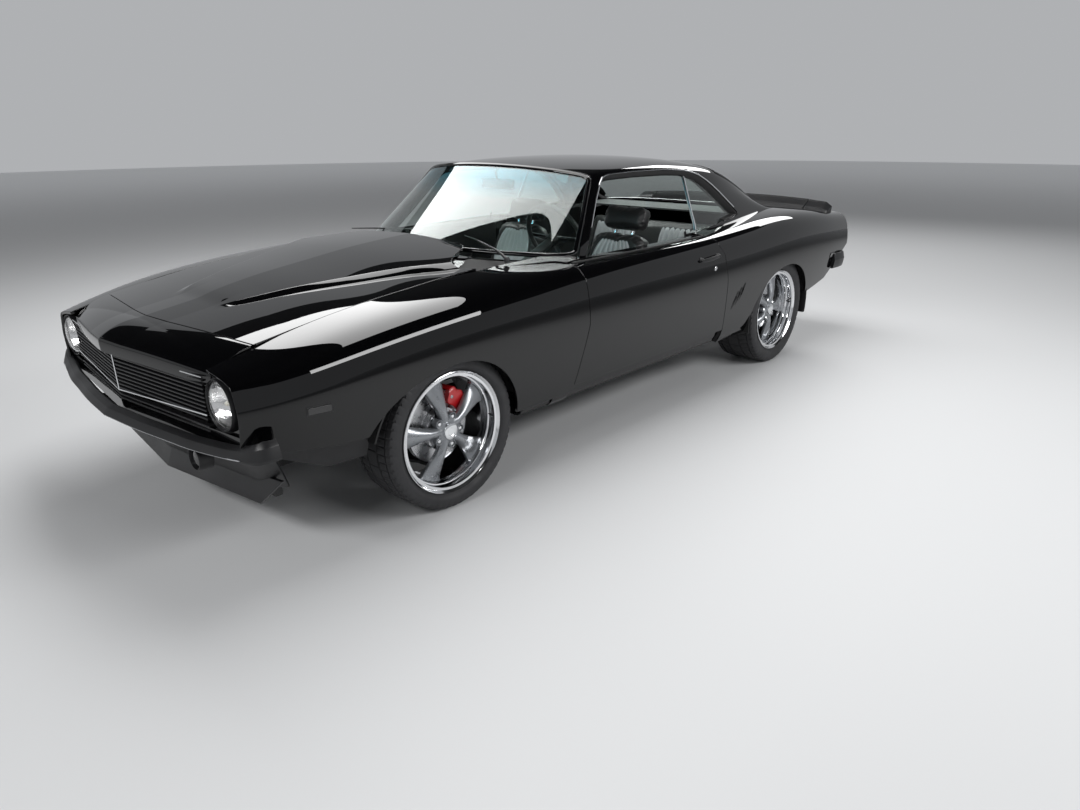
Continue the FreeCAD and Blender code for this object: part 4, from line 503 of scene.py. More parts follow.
def pane_glass(name, chart, tint=None):
    """Window glass that lets lamps through: clear, or with a tint that fades over a height."""
    made = bpy.data.materials.new(name)
    made.use_nodes = True
    tree = made.node_tree
    shader = tree.nodes["Principled BSDF"]
    shader.inputs["Base Color"].default_value = colour(chart)
    shader.inputs["Roughness"].default_value = 0.0
    shader.inputs["IOR"].default_value = 1.45
    shader.inputs["Transmission Weight"].default_value = 1.0
    if tint:
        low, high, other = tint
        place = add(tree, "SeparateXYZ", {"Vector": add(tree, "TexCoord").outputs["Object"]})
        fade = add(tree, "MapRange", {"Value": place.outputs["Z"], "From Min": low,
                                      "From Max": high})
        mix = add(tree, "Mix", data_type="RGBA")
        tree.links.new(fade.outputs["Result"], mix.inputs[0])
        mix.inputs[6].default_value = colour(chart)
        mix.inputs[7].default_value = colour(other)
        tree.links.new(mix.outputs[2], shader.inputs["Base Color"])
    through = add(tree, "BsdfTransparent", {"Color": colour(chart)})
    ray = add(tree, "LightPath")
    both = add(tree, "MixShader", {0: ray.outputs["Is Shadow Ray"]})
    tree.links.new(shader.outputs["BSDF"], both.inputs[1])
    tree.links.new(through.outputs["BSDF"], both.inputs[2])
    tree.links.new(both.outputs["Shader"], tree.nodes["Material Output"].inputs["Surface"])
    return made


window_glass = pane_glass("window_glass", "E9F1EE")
windshield_glass = pane_glass("tinted_windshield_glass", "E6F2EE", (1.12, 1.215, "6FB9C9"))
lamp_glass = pane_glass("headlamp_glass", "FAFAFA")
print("glass", window_glass.name, windshield_glass.name, lamp_glass.name)

# %% [markdown]
# The body's side is one sheet from nose to tail, drawn by stations: at each place along the
# car the table gives the side crease, the fender's peak and the inner edge. Fender, door and
# quarter are three cuts of it, so that the crease runs through them without a step.

# %% The side
SIDE_SHARES = [
    (-0.335, 0.806, 0.460, 0.806, 0.526, 0.655, 0.545),
    (-0.290, 0.886, 0.463, 0.846, 0.551, 0.675, 0.566),
    (-0.225, 0.952, 0.471, 0.874, 0.590, 0.683, 0.604),
    (-0.128, 0.981, 0.480, 0.892, 0.629, 0.689, 0.645),
    (0.000, 0.997, 0.485, 0.906, 0.658, 0.696, 0.673),
    (0.128, 0.995, 0.484, 0.917, 0.666, 0.702, 0.692),
    (0.273, 0.994, 0.480, 0.934, 0.670, 0.745, 0.684),
    (0.437, 0.995, 0.482, 0.940, 0.675, 0.782, 0.684),
    (0.600, 0.997, 0.494, 0.940, 0.677, 0.782, 0.685),
    (0.711, 0.997, 0.503, 0.940, 0.682, 0.782, 0.690),
    (0.838, 0.999, 0.514, 0.928, 0.697, 0.772, 0.705),
    (0.966, 1.002, 0.523, 0.917, 0.719, 0.755, 0.725),
    (1.075, 1.000, 0.523, 0.911, 0.721, 0.692, 0.730),
    (1.203, 0.984, 0.517, 0.902, 0.704, 0.690, 0.710),
    (1.294, 0.963, 0.512, 0.888, 0.679, 0.688, 0.686),
    (1.385, 0.935, 0.508, 0.865, 0.663, 0.684, 0.667),
]
LOW_SHARES = [(0.165, -1.06), (0.090, -1.0), (0.054, -0.83), (0.024, -0.38)]
HIGH_SHARES = [(0.008, 0.30), (0.022, 0.72)]
LOW_HEIGHT_SHARE = 0.192


def side_section(place, side, crease, peak, peak_height, inner, inner_height):
    """The net points of one station of the left side, from the sill to the inner edge."""
    points = [(side - inset, crease + rise * (crease - LOW_HEIGHT_SHARE))
              for inset, rise in LOW_SHARES]
    points.append((side, crease))
    points += [(side - inset, crease + rise * (peak_height - crease))
               for inset, rise in HIGH_SHARES]
    points.append((peak, peak_height))
    points.append(((peak + inner) / 2, (peak_height + 2 * inner_height) / 3))
    points.append((inner, inner_height))
    return [(x, place, z) for x, z in points]


side_sheet = Sheet(net_of([side_section(*station) for station in SIDE_SHARES]), (1, 0, 0))
GAP = PANEL_GAP
LOW_REACH = (0, 1, 0, 0.86)


def at_y(y):
    """The u of a place along the side sheet, in axle metres."""
    table = side_sheet.points(np.c_[np.linspace(0, 1, 801), np.full(801, 0.5)])[:, 1]
    return float(np.interp(y + AXLE, table, np.linspace(0, 1, 801)))


def arch(middle, height, halves, rise, floor, start, end):
    """The line of a wheel arch from its front to its rear, with a half length for each."""
    line = [(middle + halves[int(a < math.pi / 2)] * math.cos(a), height + rise * math.sin(a))
            for a in np.linspace(start, end, 46)]
    return [p for p in line if p[1] >= floor]


FENDER_FRONT, FENDER_REAR = -0.828, 0.7715
front_arch_line = arch(0, 0.2685, (0.455, 0.356), 0.356, 0.318, math.pi - 0.48, -0.10)
fender_loop = trace(side_sheet, [
    ("uv", [(at_y(FENDER_FRONT), 0.66), (at_y(FENDER_FRONT), 1.0), (at_y(-0.5), 1.0),
            (at_y(FENDER_REAR), 1.0)]),
    ("yz", [(FENDER_REAR, 0.84), (FENDER_REAR, 0.624), (FENDER_REAR - 0.055, 0.345),
            (FENDER_REAR - 0.055, 0.312), (0.352, 0.312)], LOW_REACH),
    ("yz", front_arch_line[::-1], LOW_REACH),
    ("yz", [(-0.430, 0.431), (-0.52, 0.436), (-0.70, 0.460), (FENDER_FRONT, 0.485),
            (FENDER_FRONT, 0.60)], LOW_REACH),
])
fender = panel(side_sheet, fender_loop)
panel_piece("fender_skins", [fender, mirror(fender)], "root", black_enamel,
            replaces=["front_fenders"])

door_rear = [(0.745 * BASE - GAP / 2, 0.345), (0.7255 * BASE - GAP / 2, 0.633),
             (0.712 * BASE - GAP / 2, 0.7956), (0.6975 * BASE - GAP / 2, 0.842)]
DOOR_FRONT = 0.7785
door_loop = trace(side_sheet, [
    ("uv", [(at_y(DOOR_FRONT), 0.93), (at_y(1.3), 0.93), (at_y(0.6925 * BASE - GAP / 2), 0.93)]),
    ("yz", door_rear[::-1], LOW_REACH),
    ("yz", [(0.745 * BASE - GAP / 2, 0.345), (DOOR_FRONT - 0.055, 0.345), (DOOR_FRONT, 0.624),
            (DOOR_FRONT, 0.84)], LOW_REACH),
])
door = panel(side_sheet, door_loop, depth=0.06)
for word, part in (("left", door), ("right", mirror(door))):
    panel_piece(f"door_skin_{word}", [part], f"door_{word}", black_enamel)

quarter_front = [(y + GAP, z) for y, z in door_rear]
rear_arch_line = [(BASE + 0.392 * math.cos(a), 0.300 + 0.3375 * math.sin(a))
                  for a in np.linspace(math.pi + 0.108, 0.30, 46)]
quarter_loop = trace(side_sheet, [
    ("uv", [(at_y(0.6925 * BASE + GAP / 2), 0.93), (at_y(0.6925 * BASE + GAP / 2), 1.0),
            (at_y(2.6), 1.0), (at_y(1.376 * BASE), 1.0)]),
    ("yz", [(1.376 * BASE, 0.80), (1.376 * BASE, 0.650), (1.247 * BASE, 0.4485),
            (BASE + 0.380, 0.398)], LOW_REACH),
    ("yz", rear_arch_line[::-1], LOW_REACH),
    ("yz", [(BASE - 0.389, 0.2626), (quarter_front[0][0], 0.2626)] + quarter_front, LOW_REACH),
])
quarter = panel(side_sheet, quarter_loop)
for word, part in (("left", quarter), ("right", mirror(quarter))):
    panel_piece(f"quarter_skin_{word}", [part], "root", black_enamel)


# %% [markdown]
# Bars and trims are drawn or moulded with one section along their length. So one tool carries
# a section along a path, and another lofts a grid between rows. A curve object with a bevel
# would sweep too, but here the section can grow and shrink on the way.

# %% Bars and lofts
def curve(places, values):
    """A smooth line through given values, as a function of place."""
    places, values = np.array(places, float), np.array(values, float)
    slopes = np.gradient(values, places)

    def at(x):
        x = np.clip(x, places[0], places[-1])
        k = np.clip(np.searchsorted(places, x) - 1, 0, len(places) - 2)
        run = places[k + 1] - places[k]
        t = (x - places[k]) / run
        return ((2 * t**3 - 3 * t**2 + 1) * values[k] + (t**3 - 2 * t**2 + t) * run * slopes[k]
                + (3 * t**2 - 2 * t**3) * values[k + 1] + (t**3 - t**2) * run * slopes[k + 1])
    return at


def axle(points):
    """Points in axle measures, moved to the frame."""
    return np.array(points, float) + np.array([0, AXLE, 0])


def rounded(corners, radius, parts=4):
    """A closed outline with its corners rounded."""
    made, count = [], len(corners)
    for i in range(count):
        before, here, after = (np.array(corners[k % count], float) for k in (i - 1, i, i + 1))
        a, b = unit(before - here), unit(after - here)
        half = math.acos(float(np.clip(a @ b, -1, 1))) / 2
        reach = min(radius / max(math.tan(half), 0.05), 0.45 * np.linalg.norm(before - here),
                    0.45 * np.linalg.norm(after - here))
        for t in np.linspace(0, 1, parts + 1):
            made.append((1 - t)**2 * (here + a * reach) + 2 * t * (1 - t) * here
                        + t**2 * (here + b * reach))
    return np.array(made)


def smooth_path(points, count, closed=False):
    """A smooth path through points, with even steps."""
    points = np.array(points, float)
    if closed:
        points = np.concatenate([points[-2:], points, points[:3]])
    places = np.concatenate([[0], np.cumsum(np.linalg.norm(np.diff(points, axis=0), axis=1))])
    ends = (places[2], places[-3]) if closed else (0, places[-1])
    at = np.linspace(*ends, count, endpoint=not closed)
    return np.stack([curve(places, points[:, k])(at) for k in range(points.shape[1])], 1)


def loft(rows, closed=False, caps=True):
    """A skin between closed rows of points; the ends are capped unless it closes on itself."""
    rows = np.array(rows, float)
    count, size = rows.shape[:2]
    faces = []
    for i in range(count if closed else count - 1):
        a, b = i * size, ((i + 1) % count) * size
        faces += [[a + j, a + (j + 1) % size, b + (j + 1) % size, b + j] for j in range(size)]
    if caps and not closed:
        faces += [list(range(size))[::-1], [(count - 1) * size + j for j in range(size)]]
    return rows.reshape(-1, 3), faces


def sweep(path, section, up=(0, 0, 1), sizes=None, closed=False):
    """A bar whose section, as side and up, is carried along a path."""
    path, section = np.array(path, float), np.array(section, float)
    if closed:
        run = np.roll(path, -1, 0) - np.roll(path, 1, 0)
    else:
        run = np.gradient(path, axis=0)
    run = unit(run)
    side = unit(np.cross(run, np.broadcast_to(np.array(up, float), run.shape)))
    lift = np.cross(side, run)
    sizes = np.ones(len(path)) if sizes is None else np.array(sizes, float)
    scaled = section[None] * (sizes[:, None, None] if sizes.ndim == 1 else sizes[:, None, :])
    return loft(path[:, None] + side[:, None] * scaled[..., :1] + lift[:, None] * scaled[..., 1:],
                closed)


def ring_section(radius, count=12):
    angles = np.linspace(0, 2 * math.pi, count, endpoint=False)
    return np.c_[radius * np.cos(angles), radius * np.sin(angles)]


def tube(path, radius, up=(0, 0, 1), count=12, closed=False):
    return sweep(path, ring_section(radius, count), up, closed=closed)

# %% [markdown]
# Bezels, lamps, nuts and rims are turned or pressed round. A Screw modifier would turn a
# profile too; here the profile is lofted in a ring, so that every piece is made by one tool.

# %% Turned pieces, prisms and blocks
def lathe(profile, count=96, centre=(0, 0, 0), axis=0):
    """A closed profile of (place, radius) turned about an axis through a centre."""
    profile = np.array(profile, float)
    rows = []
    for angle in np.linspace(0, 2 * math.pi, count, endpoint=False):
        row = np.zeros((len(profile), 3))
        row[:, axis] = profile[:, 0]
        row[:, (axis + 1) % 3] = profile[:, 1] * math.cos(angle)
        row[:, (axis + 2) % 3] = profile[:, 1] * math.sin(angle)
        rows.append(row + np.array(centre, float))
    return loft(rows, closed=True)


def prism(outline, move, depth):
    """A block: a closed outline in space carried along a vector."""
    outline = np.array(outline, float)
    shift = np.array(move, float) * depth
    return loft([outline, outline + shift])


def block(low, high, radius=0.004):
    """A block between two corners, in axle measures, rounded in plan."""
    (a, b, c), (d, e, f) = low, high
    outline = rounded([(a, b), (d, b), (d, e), (a, e)], radius)
    return prism(axle([(x, y, c) for x, y in outline]), (0, 0, 1), f - c)

# %% [markdown]
# The last tool makes the object: it joins the forms, turns their faces outwards, keeps real
# edges sharp and bevels them, because an edge without a bevel catches no light.

# %% From closed forms to pieces
def flip(part):
    """The same closed form on the car's right."""
    points, faces = part
    return points * [-1, 1, 1], [f[::-1] for f in faces]


def both(*parts):
    return [p for part in parts for p in (part, flip(part))]


def piece(name, parts, body, material, replaces=(), bevel=0.0, angle=32, outward=True):
    """An object from closed forms: merged, turned outwards, smooth below an angle."""
    import bmesh
    work = bmesh.new()
    for points, faces in parts:
        corners = [work.verts.new(p) for p in points]
        for face in faces:
            chosen = [corners[i] for i in face]
            if len(set(chosen)) > 2:
                try:
                    work.faces.new(chosen)
                except ValueError:
                    pass
    bmesh.ops.remove_doubles(work, verts=work.verts, dist=1e-6)
    bmesh.ops.dissolve_degenerate(work, dist=1e-7, edges=work.edges)
    if outward:
        bmesh.ops.recalc_face_normals(work, faces=work.faces)
    mesh = bpy.data.meshes.new(name)
    work.to_mesh(mesh)
    work.free()
    mesh.polygons.foreach_set("use_smooth", [True] * len(mesh.polygons))
    mesh.set_sharp_from_angle(angle=math.radians(angle))
    thing = bpy.data.objects.new(name, mesh)
    bpy.context.scene.collection.objects.link(thing)
    if bevel:
        edge = thing.modifiers.new("edge", "BEVEL")
        edge.width, edge.segments, edge.limit_method = bevel, 2, "ANGLE"
        edge.angle_limit = math.radians(40)
        edge.harden_normals = True
    print(name, len(mesh.polygons), "faces")
    return finish_piece(thing, body, material, replaces)


# %% [markdown]
# Slats, ribs, spokes and nuts are the same form many times over, so a small Geometry Nodes
# tree sets them out: points along a line or round the X axis, one instance on each point, then
# Realize Instances and Set Material. Copies by hand would do, but here the count, the step
# and the angles are named inputs that can be changed in one place.

# %% The tree that repeats a form
REPEAT_INPUTS = {"Geometry": "Geometry", "Count": "Int", "Step": "Vector", "Radius": "Float",
                 "First Angle": "Float", "Angle Step": "Float", "Follow": "Float",
                 "Material": "Material"}


def repeat_tree():
    """Instances along a line (Step) and round the X axis (Radius, angles); Follow turns them."""
    made = bpy.data.node_groups.new("repeat", "GeometryNodeTree")
    made.interface.new_socket("Geometry", in_out="OUTPUT", socket_type="NodeSocketGeometry")
    for name, kind in REPEAT_INPUTS.items():
        made.interface.new_socket(name, in_out="INPUT", socket_type="NodeSocket" + kind)
    group = made.nodes.new("NodeGroupInput").outputs

    def node(kind, *values, **settings):
        new = made.nodes.new(kind)
        for name, value in settings.items():
            setattr(new, name, value)
        for socket, value in zip(new.inputs, values):
            if isinstance(value, bpy.types.NodeSocket):
                made.links.new(value, socket)
            elif value is not None:
                socket.default_value = value
        return new.outputs[0]

    def maths(operation, *values):
        return node("ShaderNodeMath", *values, operation=operation)

    index = node("GeometryNodeInputIndex")
    angle = maths("ADD", group["First Angle"], maths("MULTIPLY", index, group["Angle Step"]))
    ring = node("ShaderNodeCombineXYZ", 0.0,
                maths("MULTIPLY", group["Radius"], maths("SINE", angle)),
                maths("MULTIPLY", group["Radius"], maths("COSINE", angle)))
    turn = node("ShaderNodeCombineXYZ", maths("MULTIPLY", angle, group["Follow"]), 0.0, 0.0)
    line = node("GeometryNodeMeshLine", group["Count"], None, None, group["Step"])
    places = node("GeometryNodeSetPosition", line, None, None, ring)
    copies = node("GeometryNodeInstanceOnPoints", places, None, group["Geometry"], None, None, turn)
    real = node("GeometryNodeRealizeInstances", copies)
    made.links.new(node("GeometryNodeSetMaterial", real, None, group["Material"]),
                   made.nodes.new("NodeGroupOutput").inputs[0])
    return made


REPEAT = repeat_tree()
REPEAT_SOCKETS = {item.name: item.identifier for item in REPEAT.interface.items_tree
                  if item.item_type == "SOCKET" and item.in_out == "INPUT"}
print("repeat tree", REPEAT_SOCKETS)


def repeated(part, material, **values):
    """A closed form set out by the repeat tree, as one plain form again."""
    mesh = bpy.data.meshes.new("one")
    mesh.from_pydata(part[0].tolist(), [], [list(f) for f in part[1]])
    thing = bpy.data.objects.new("one", mesh)
    bpy.context.scene.collection.objects.link(thing)
    nodes = thing.modifiers.new("repeat", "NODES")
    nodes.node_group = REPEAT
    for name, value in {"Material": material, "Step": (0.0, 0.0, 0.0), "Radius": 0.0,
                        "First_Angle": 0.0, "Angle_Step": 0.0, "Follow": 0.0, **values}.items():
        nodes[REPEAT_SOCKETS[name.replace("_", " ")]] = value
    bpy.context.view_layer.update()
    shown = bpy.data.meshes.new_from_object(
        thing.evaluated_get(bpy.context.evaluated_depsgraph_get()))
    thing.modifiers.remove(nodes)
    points = np.empty(len(shown.vertices) * 3)
    shown.vertices.foreach_get("co", points)
    faces = [list(polygon.vertices) for polygon in shown.polygons]
    bpy.data.objects.remove(thing)
    print("repeated", values["Count"], "times:", len(faces), "faces")
    return points.reshape(-1, 3), faces


# %% [markdown]
# A hood or a cowl is easiest to describe as a height above each place of the plan. The normals
# come from the slope of that height, not from the faces, and stay smooth.

# %% Sheets over the plan
def height_field(height, x, y, step=0.002):
    """Points and normals of a sheet that is given as a height over the plan."""
    points = np.stack([x, y + AXLE, height(x, y)], -1)
    slope_x = (height(x + step, y) - height(x - step, y)) / (2 * step)
    slope_y = (height(x, y + step) - height(x, y - step)) / (2 * step)
    return points, unit(np.stack([-slope_x, -slope_y, np.ones_like(x)], -1))


# %% [markdown]
# The hood carries the car's face: a centre ridge, a raised scoop that starts as a rounded
# point behind the header, widens with crisp flanks and stands open at the windshield. Its
# columns follow the creases, so each crease is a clean line of mesh.

# %% Hood
EDGE_PLACES = np.array([s[0] for s in SIDE_SHARES]) * BASE
EDGE_HALVES = np.array([s[5] for s in SIDE_SHARES]) * HALF


def inner_edge(y):
    return np.interp(y, EDGE_PLACES, EDGE_HALVES)


hood_edge_height = curve([-0.78, -0.675, -0.497, -0.288, -0.058, 0.198, 0.365, 0.56],
                         [0.757, 0.776, 0.808, 0.841, 0.867, 0.892, 0.902, 0.910])
hood_crown = curve([-0.76, -0.5, -0.2, 0.2, 0.56], [0.034, 0.027, 0.022, 0.020, 0.018])
scoop_lift = curve([-0.60, -0.55, -0.48, -0.36, -0.1, 0.1, 0.3, 0.56],
                   [0.0, 0.001, 0.010, 0.017, 0.026, 0.032, 0.038, 0.045])
scoop_half = curve([-0.76, -0.60, -0.55, -0.48, -0.355, -0.115, 0.1, 0.263, 0.56],
                   [0.13, 0.15, 0.170, 0.215, 0.268, 0.370, 0.465, 0.560, 0.600])
FLANK = 0.040
FOLD = 0.15
HOOD_NOSE = -0.752


def hood_height(x, y):
    """The hood's height over the plan."""
    x = abs(x)
    low = hood_edge_height(y)
    base = low + hood_crown(y) * (1 - (x / 0.655) ** 2)
    rise = np.clip((scoop_half(y) + FLANK - x) / FLANK, 0, 1)
    lift = scoop_lift(y)
    fall = 0.030 * np.clip(x - FOLD, 0, None) * np.clip((y + 0.58) / 0.2, 0, 1)
    ridge = 0.0045 * np.clip(1 - x / FOLD, 0, 1)
    return base + ridge + rise * np.maximum(lift - fall * rise, 0)


GROUP_COUNTS = [2, 7, 3, 14, 3, 4, 3, 7]
GROUPS = np.concatenate([np.repeat(np.arange(8), GROUP_COUNTS), [7]])
PARTS = np.concatenate([np.arange(n) / n for n in GROUP_COUNTS] + [[1.0]])


def hood_columns(y, edge):
    """The half width of each column where it has the places y."""
    near, zero = 0.004, np.zeros_like(y)
    top = np.clip(scoop_half(y), FOLD + 3 * near, edge - FLANK - 0.02)
    marks = np.stack([zero, zero + near, zero + FOLD - near, zero + FOLD + near, top - near,
                      top + near, top + FLANK - near, top + FLANK + near, edge])
    column = np.arange(y.shape[1])
    pick = np.broadcast_to(GROUPS, y.shape)
    rows = np.arange(y.shape[0])[:, None]
    start, end = marks[pick, rows, column], marks[pick + 1, rows, column]
    return start + (end - start) * PARTS


def hood_front(x):
    return HOOD_NOSE + 0.091 * (abs(x) / 0.632) ** 1.25


def hood_back(x):
    return curve([0, 0.30, 0.40, 0.44, 0.51, 0.575, 0.615, 0.66],
                 [0.520, 0.520, 0.505, 0.460, 0.350, 0.285, 0.300, 0.356])(abs(x))


def hood_grid(inset=0.0):
    shares = np.concatenate([np.linspace(0, 0.22, 26, endpoint=False), np.linspace(0.22, 1, 60)])
    y = np.repeat((HOOD_NOSE + shares * 1.2)[:, None], len(GROUPS), 1)
    for _ in range(8):
        half = hood_columns(y, inner_edge(y) - PANEL_GAP - inset)
        front, back = hood_front(half) + inset, hood_back(half) - inset
        y = front + (back - front) * shares[:, None]
    return (np.concatenate([-half[:, :0:-1], half], 1), np.concatenate([y[:, :0:-1], y], 1))


hood_x, hood_y = hood_grid()
hood = grid_panel(*height_field(hood_height, hood_x, hood_y), wall=0.014)
panel_piece("hood_skin", [hood], "hood", black_enamel, replaces=["hood"])

# %% [markdown]
# The header panel closes the nose between the fenders: the centre ridge runs on through it,
# and its front edge folds down to the grille.

# %% Header

def header_front(x):
    return -0.927 + 0.115 * (abs(x) / 0.62) ** 1.15


def header_height(x, y):
    x = abs(x)
    behind = hood_edge_height(y) + hood_crown(y) * (1 - (x / 0.655) ** 2)
    ridge = 0.0045 * np.clip(1 - x / FOLD, 0, 1)
    near = np.clip((y - header_front(x)) / 0.155, 0, 1)
    drop = (1 - near) ** 2.2 * 0.046
    return behind + ridge - drop


rows = np.concatenate([np.linspace(0, 0.25, 14, endpoint=False), np.linspace(0.25, 1, 18)])
half = np.concatenate([[0, 0.004], np.linspace(0.02, 0.146, 8), [0.150, 0.154],
                       np.linspace(0.17, 1, 22)])
spots = np.zeros((len(rows), len(half)))
wide = np.zeros_like(spots)
for _ in range(6):
    edge = inner_edge(np.clip(spots, -0.90, 1)) - 0.007
    wide = np.where(half > 0.16, 0.16 + (half - 0.16) / 0.84 * (edge - 0.16), half + 0 * spots)
    front, back = header_front(wide), hood_front(wide) - PANEL_GAP
    spots = front + (back - front) * rows[:, None]
x = np.concatenate([-wide[:, :0:-1], wide], 1)
y = np.concatenate([spots[:, :0:-1], spots], 1)
top_points, top_normals = height_field(header_height, x, y)
lip_rows, lip_lights = [], []
start, light = top_points[0], top_normals[0]
front_way = unit(np.c_[0.17 * np.sign(x[0]), -np.ones(len(x[0])), np.zeros(len(x[0]))])
for turn, down, ahead in ((65, 0.006, 0.006), (88, 0.014, 0.0085), (92, 0.030, 0.0085),
                          (95, 0.052, 0.007)):
    lip_rows.append(start + front_way * ahead - [0, 0, down])
    angle = math.radians(turn)
    lip_lights.append(unit(front_way * math.sin(angle) + np.array([0, 0, math.cos(angle)])))
points = np.concatenate([np.array(lip_rows)[::-1], top_points])
lights = np.concatenate([np.array(lip_lights)[::-1], top_normals])
panel_piece("header_skin", [grid_panel(points, lights, wall=0.010)], "root", black_enamel,
            replaces=["header_panel"])

# %% [markdown]
# The cowl is the strip between the hood and the glass, with a corner that fills the gap
# beside the hood. Both are heights over the plan, so they meet their neighbours evenly.

# %% Cowl
def glass_front(x):
    """The line in plan where the windshield meets the cowl."""
    return curve([0, 0.376, 0.658, 0.752, 0.80], [0.528, 0.572, 0.740, 0.895, 0.95])(abs(x))


cowl_low = curve([0.25, 0.5, 0.95], [0.868, 0.885, 0.900])


def cowl_height(x, y):
    x = abs(x)
    fall = 0.010 * np.clip((x - 0.30) / 0.4, 0, 1) ** 2
    return cowl_low(y) - fall + 0.004 * (1 - x / 0.8)


cowl_x = np.linspace(-1, 1, 81)
lines = []
for t in np.linspace(0, 1, 26):
    half_here = 0.642 + 0.095 * t
    xs = cowl_x * half_here
    front = np.where(abs(xs) < 0.60, hood_back(xs) - 0.05, hood_back(xs) + PANEL_GAP)
    front = np.minimum(front, 0.46)
    ys = front + (glass_front(xs) + 0.012 - front) * t
    lines.append((xs, ys))
x, y = np.array([l[0] for l in lines]), np.array([l[1] for l in lines])
corner_x = np.linspace(0.655, 0.788, 14)
corner = []
for t in np.linspace(0, 1, 20):
    front = np.interp(corner_x, [0.655, 0.70, 0.74, 0.788], [0.368, 0.58, 0.74, 0.775])
    back = np.interp(corner_x, [0.655, 0.74, 0.788], [0.745, 0.90, 0.96])
    corner.append(front + (back - front) * t)
corner_y = np.array(corner)
corner_x = np.broadcast_to(corner_x, corner_y.shape)


def corner_height(x, y):
    return (0.895 + 0.012 * np.clip((y - 0.35) / 0.5, 0, 1)
            - 0.016 * np.clip((x - 0.64) / 0.15, 0, 1))


corner_part = grid_panel(*height_field(corner_height, corner_x, corner_y), wall=0.010)
panel_piece("cowl_skin", [grid_panel(*height_field(cowl_height, x, y), wall=0.010),
                          corner_part, mirror(corner_part)], "root", black_enamel,
            replaces=["cowl_panel"])

# %% [markdown]
# The canopy is one sheet from the windshield's head over the roof, the sails and the rear
# window down to the deck. The windshield pillars, the side openings and the rear window are
# trimmed from it, so the roof flows into the sails without a joint.

# %% Canopy
CANOPY_SHARES = [
    [(0, 0.400, 0.984), (0.420, 0.412, 0.975), (0.610, 0.428, 0.955), (0.640, 0.436, 0.944),
     (0.680, 0.400, 0.860), (0.745, 0.365, 0.770), (0.800, 0.330, 0.684)],
    [(0, 0.462, 0.998), (0.42, 0.468, 0.988), (0.615, 0.475, 0.966), (0.652, 0.480, 0.951),
     (0.690, 0.47, 0.866), (0.745, 0.46, 0.778), (0.795, 0.45, 0.690)],
    [(0, 0.590, 1.006), (0.425, 0.59, 0.995), (0.620, 0.59, 0.969), (0.660, 0.59, 0.950),
     (0.700, 0.59, 0.866), (0.750, 0.59, 0.778), (0.797, 0.59, 0.690)],
    [(0, 0.730, 1.001), (0.425, 0.73, 0.990), (0.618, 0.73, 0.961), (0.655, 0.735, 0.935),
     (0.690, 0.752, 0.866), (0.742, 0.771, 0.780), (0.790, 0.790, 0.700)],
    [(0, 0.868, 0.970), (0.420, 0.864, 0.962), (0.610, 0.855, 0.944), (0.642, 0.850, 0.928),
     (0.682, 0.828, 0.868), (0.728, 0.868, 0.784), (0.775, 0.890, 0.706)],
    [(0, 0.960, 0.890), (0.390, 0.955, 0.886), (0.575, 0.944, 0.876), (0.628, 0.937, 0.866),
     (0.655, 0.935, 0.84), (0.69, 0.98, 0.79), (0.728, 1.03, 0.718)],
    [(0, 1.03, 0.815), (0.40, 1.026, 0.812), (0.59, 1.012, 0.804), (0.640, 1.005, 0.796),
     (0.665, 1.01, 0.775), (0.69, 1.04, 0.745), (0.72, 1.07, 0.720)],
    [(0, 1.085, 0.742), (0.41, 1.08, 0.74), (0.6, 1.062, 0.736), (0.655, 1.05, 0.732),
     (0.675, 1.06, 0.730), (0.69, 1.08, 0.727), (0.712, 1.095, 0.722)],
]
canopy = Sheet([row[:0:-1] + [(-x, y, z) for x, y, z in row] for row in net_of(CANOPY_SHARES)],
               (0, 0, 1))
SIDE_REACH = (0, 1, 0, 0.42)
opening = [(0.960, 0.893), (1.060, 1.005), (1.150, 1.110), (1.225, 1.196), (1.255, 1.220),
           (1.295, 1.232), (1.50, 1.237), (1.80, 1.234), (1.98, 1.222), (2.06, 1.208),
           (2.125, 1.190), (2.190, 1.160), (2.246, 1.128), (2.310, 1.084), (2.361, 1.043),
           (2.425, 0.992), (2.455, 0.965), (2.452, 0.952), (2.400, 0.942), (2.272, 0.928),
           (2.10, 0.916), (2.02, 0.900)]
left_run = follow(canopy, [
    ("uv", [(0.0, 0.0)]), ("yz", opening, SIDE_REACH),
    ("uv", [(0.46, 0.0), (0.86, 0.0), (0.985, 0.0), (0.975, 0.19), (0.94, 0.215), (0.66, 0.225),
            (0.625, 0.235), (0.612, 0.26), (0.608, 0.30)])], 0.012)
outline = np.concatenate([left_run, [[u, 1 - v] for u, v in left_run[::-1]]])
canopy_loop = trace(canopy, [("uv", outline)], 0.012)
panel_piece("canopy_skin", [panel(canopy, canopy_loop, wall=0.010, step=0.014)], "root",
            black_enamel, replaces=["roof"])

# %% [markdown]
# Glass is cut from the same sheets and set a little deeper, with black trims along every
# opening. The deck, the trunk lid and the tail close the body behind the rear window.

# %% Trims along an edge


def edge_line(sheet, loop, lift=0.0):
    """The points of an outline, lifted off the sheet, with the sheet's normals there."""
    normals = sheet.normals(loop)
    return sheet.points(loop) + normals * lift, normals


def moved(table_net, shift, outwards=(0, 0, 1)):
    return Sheet(np.array(table_net, float) + np.array(shift, float), outwards)


def trim(sheet, loop, width=0.014, rise=0.005, closed=True, lift=0.0, sideways=0.0):
    """A flat strip with rounded edges that lies along a line on a sheet."""
    points, normals = edge_line(sheet, loop, lift)
    run = unit(np.gradient(points, axis=0))
    points = points + np.cross(run, normals) * sideways
    section = rounded([(-width / 2, -rise), (width / 2, -rise), (width / 2, rise * 0.4),
                       (width / 4, rise), (-width / 4, rise), (-width / 2, rise * 0.4)], 0.002, 2)
    return sweep(points, section, normals, closed=closed)

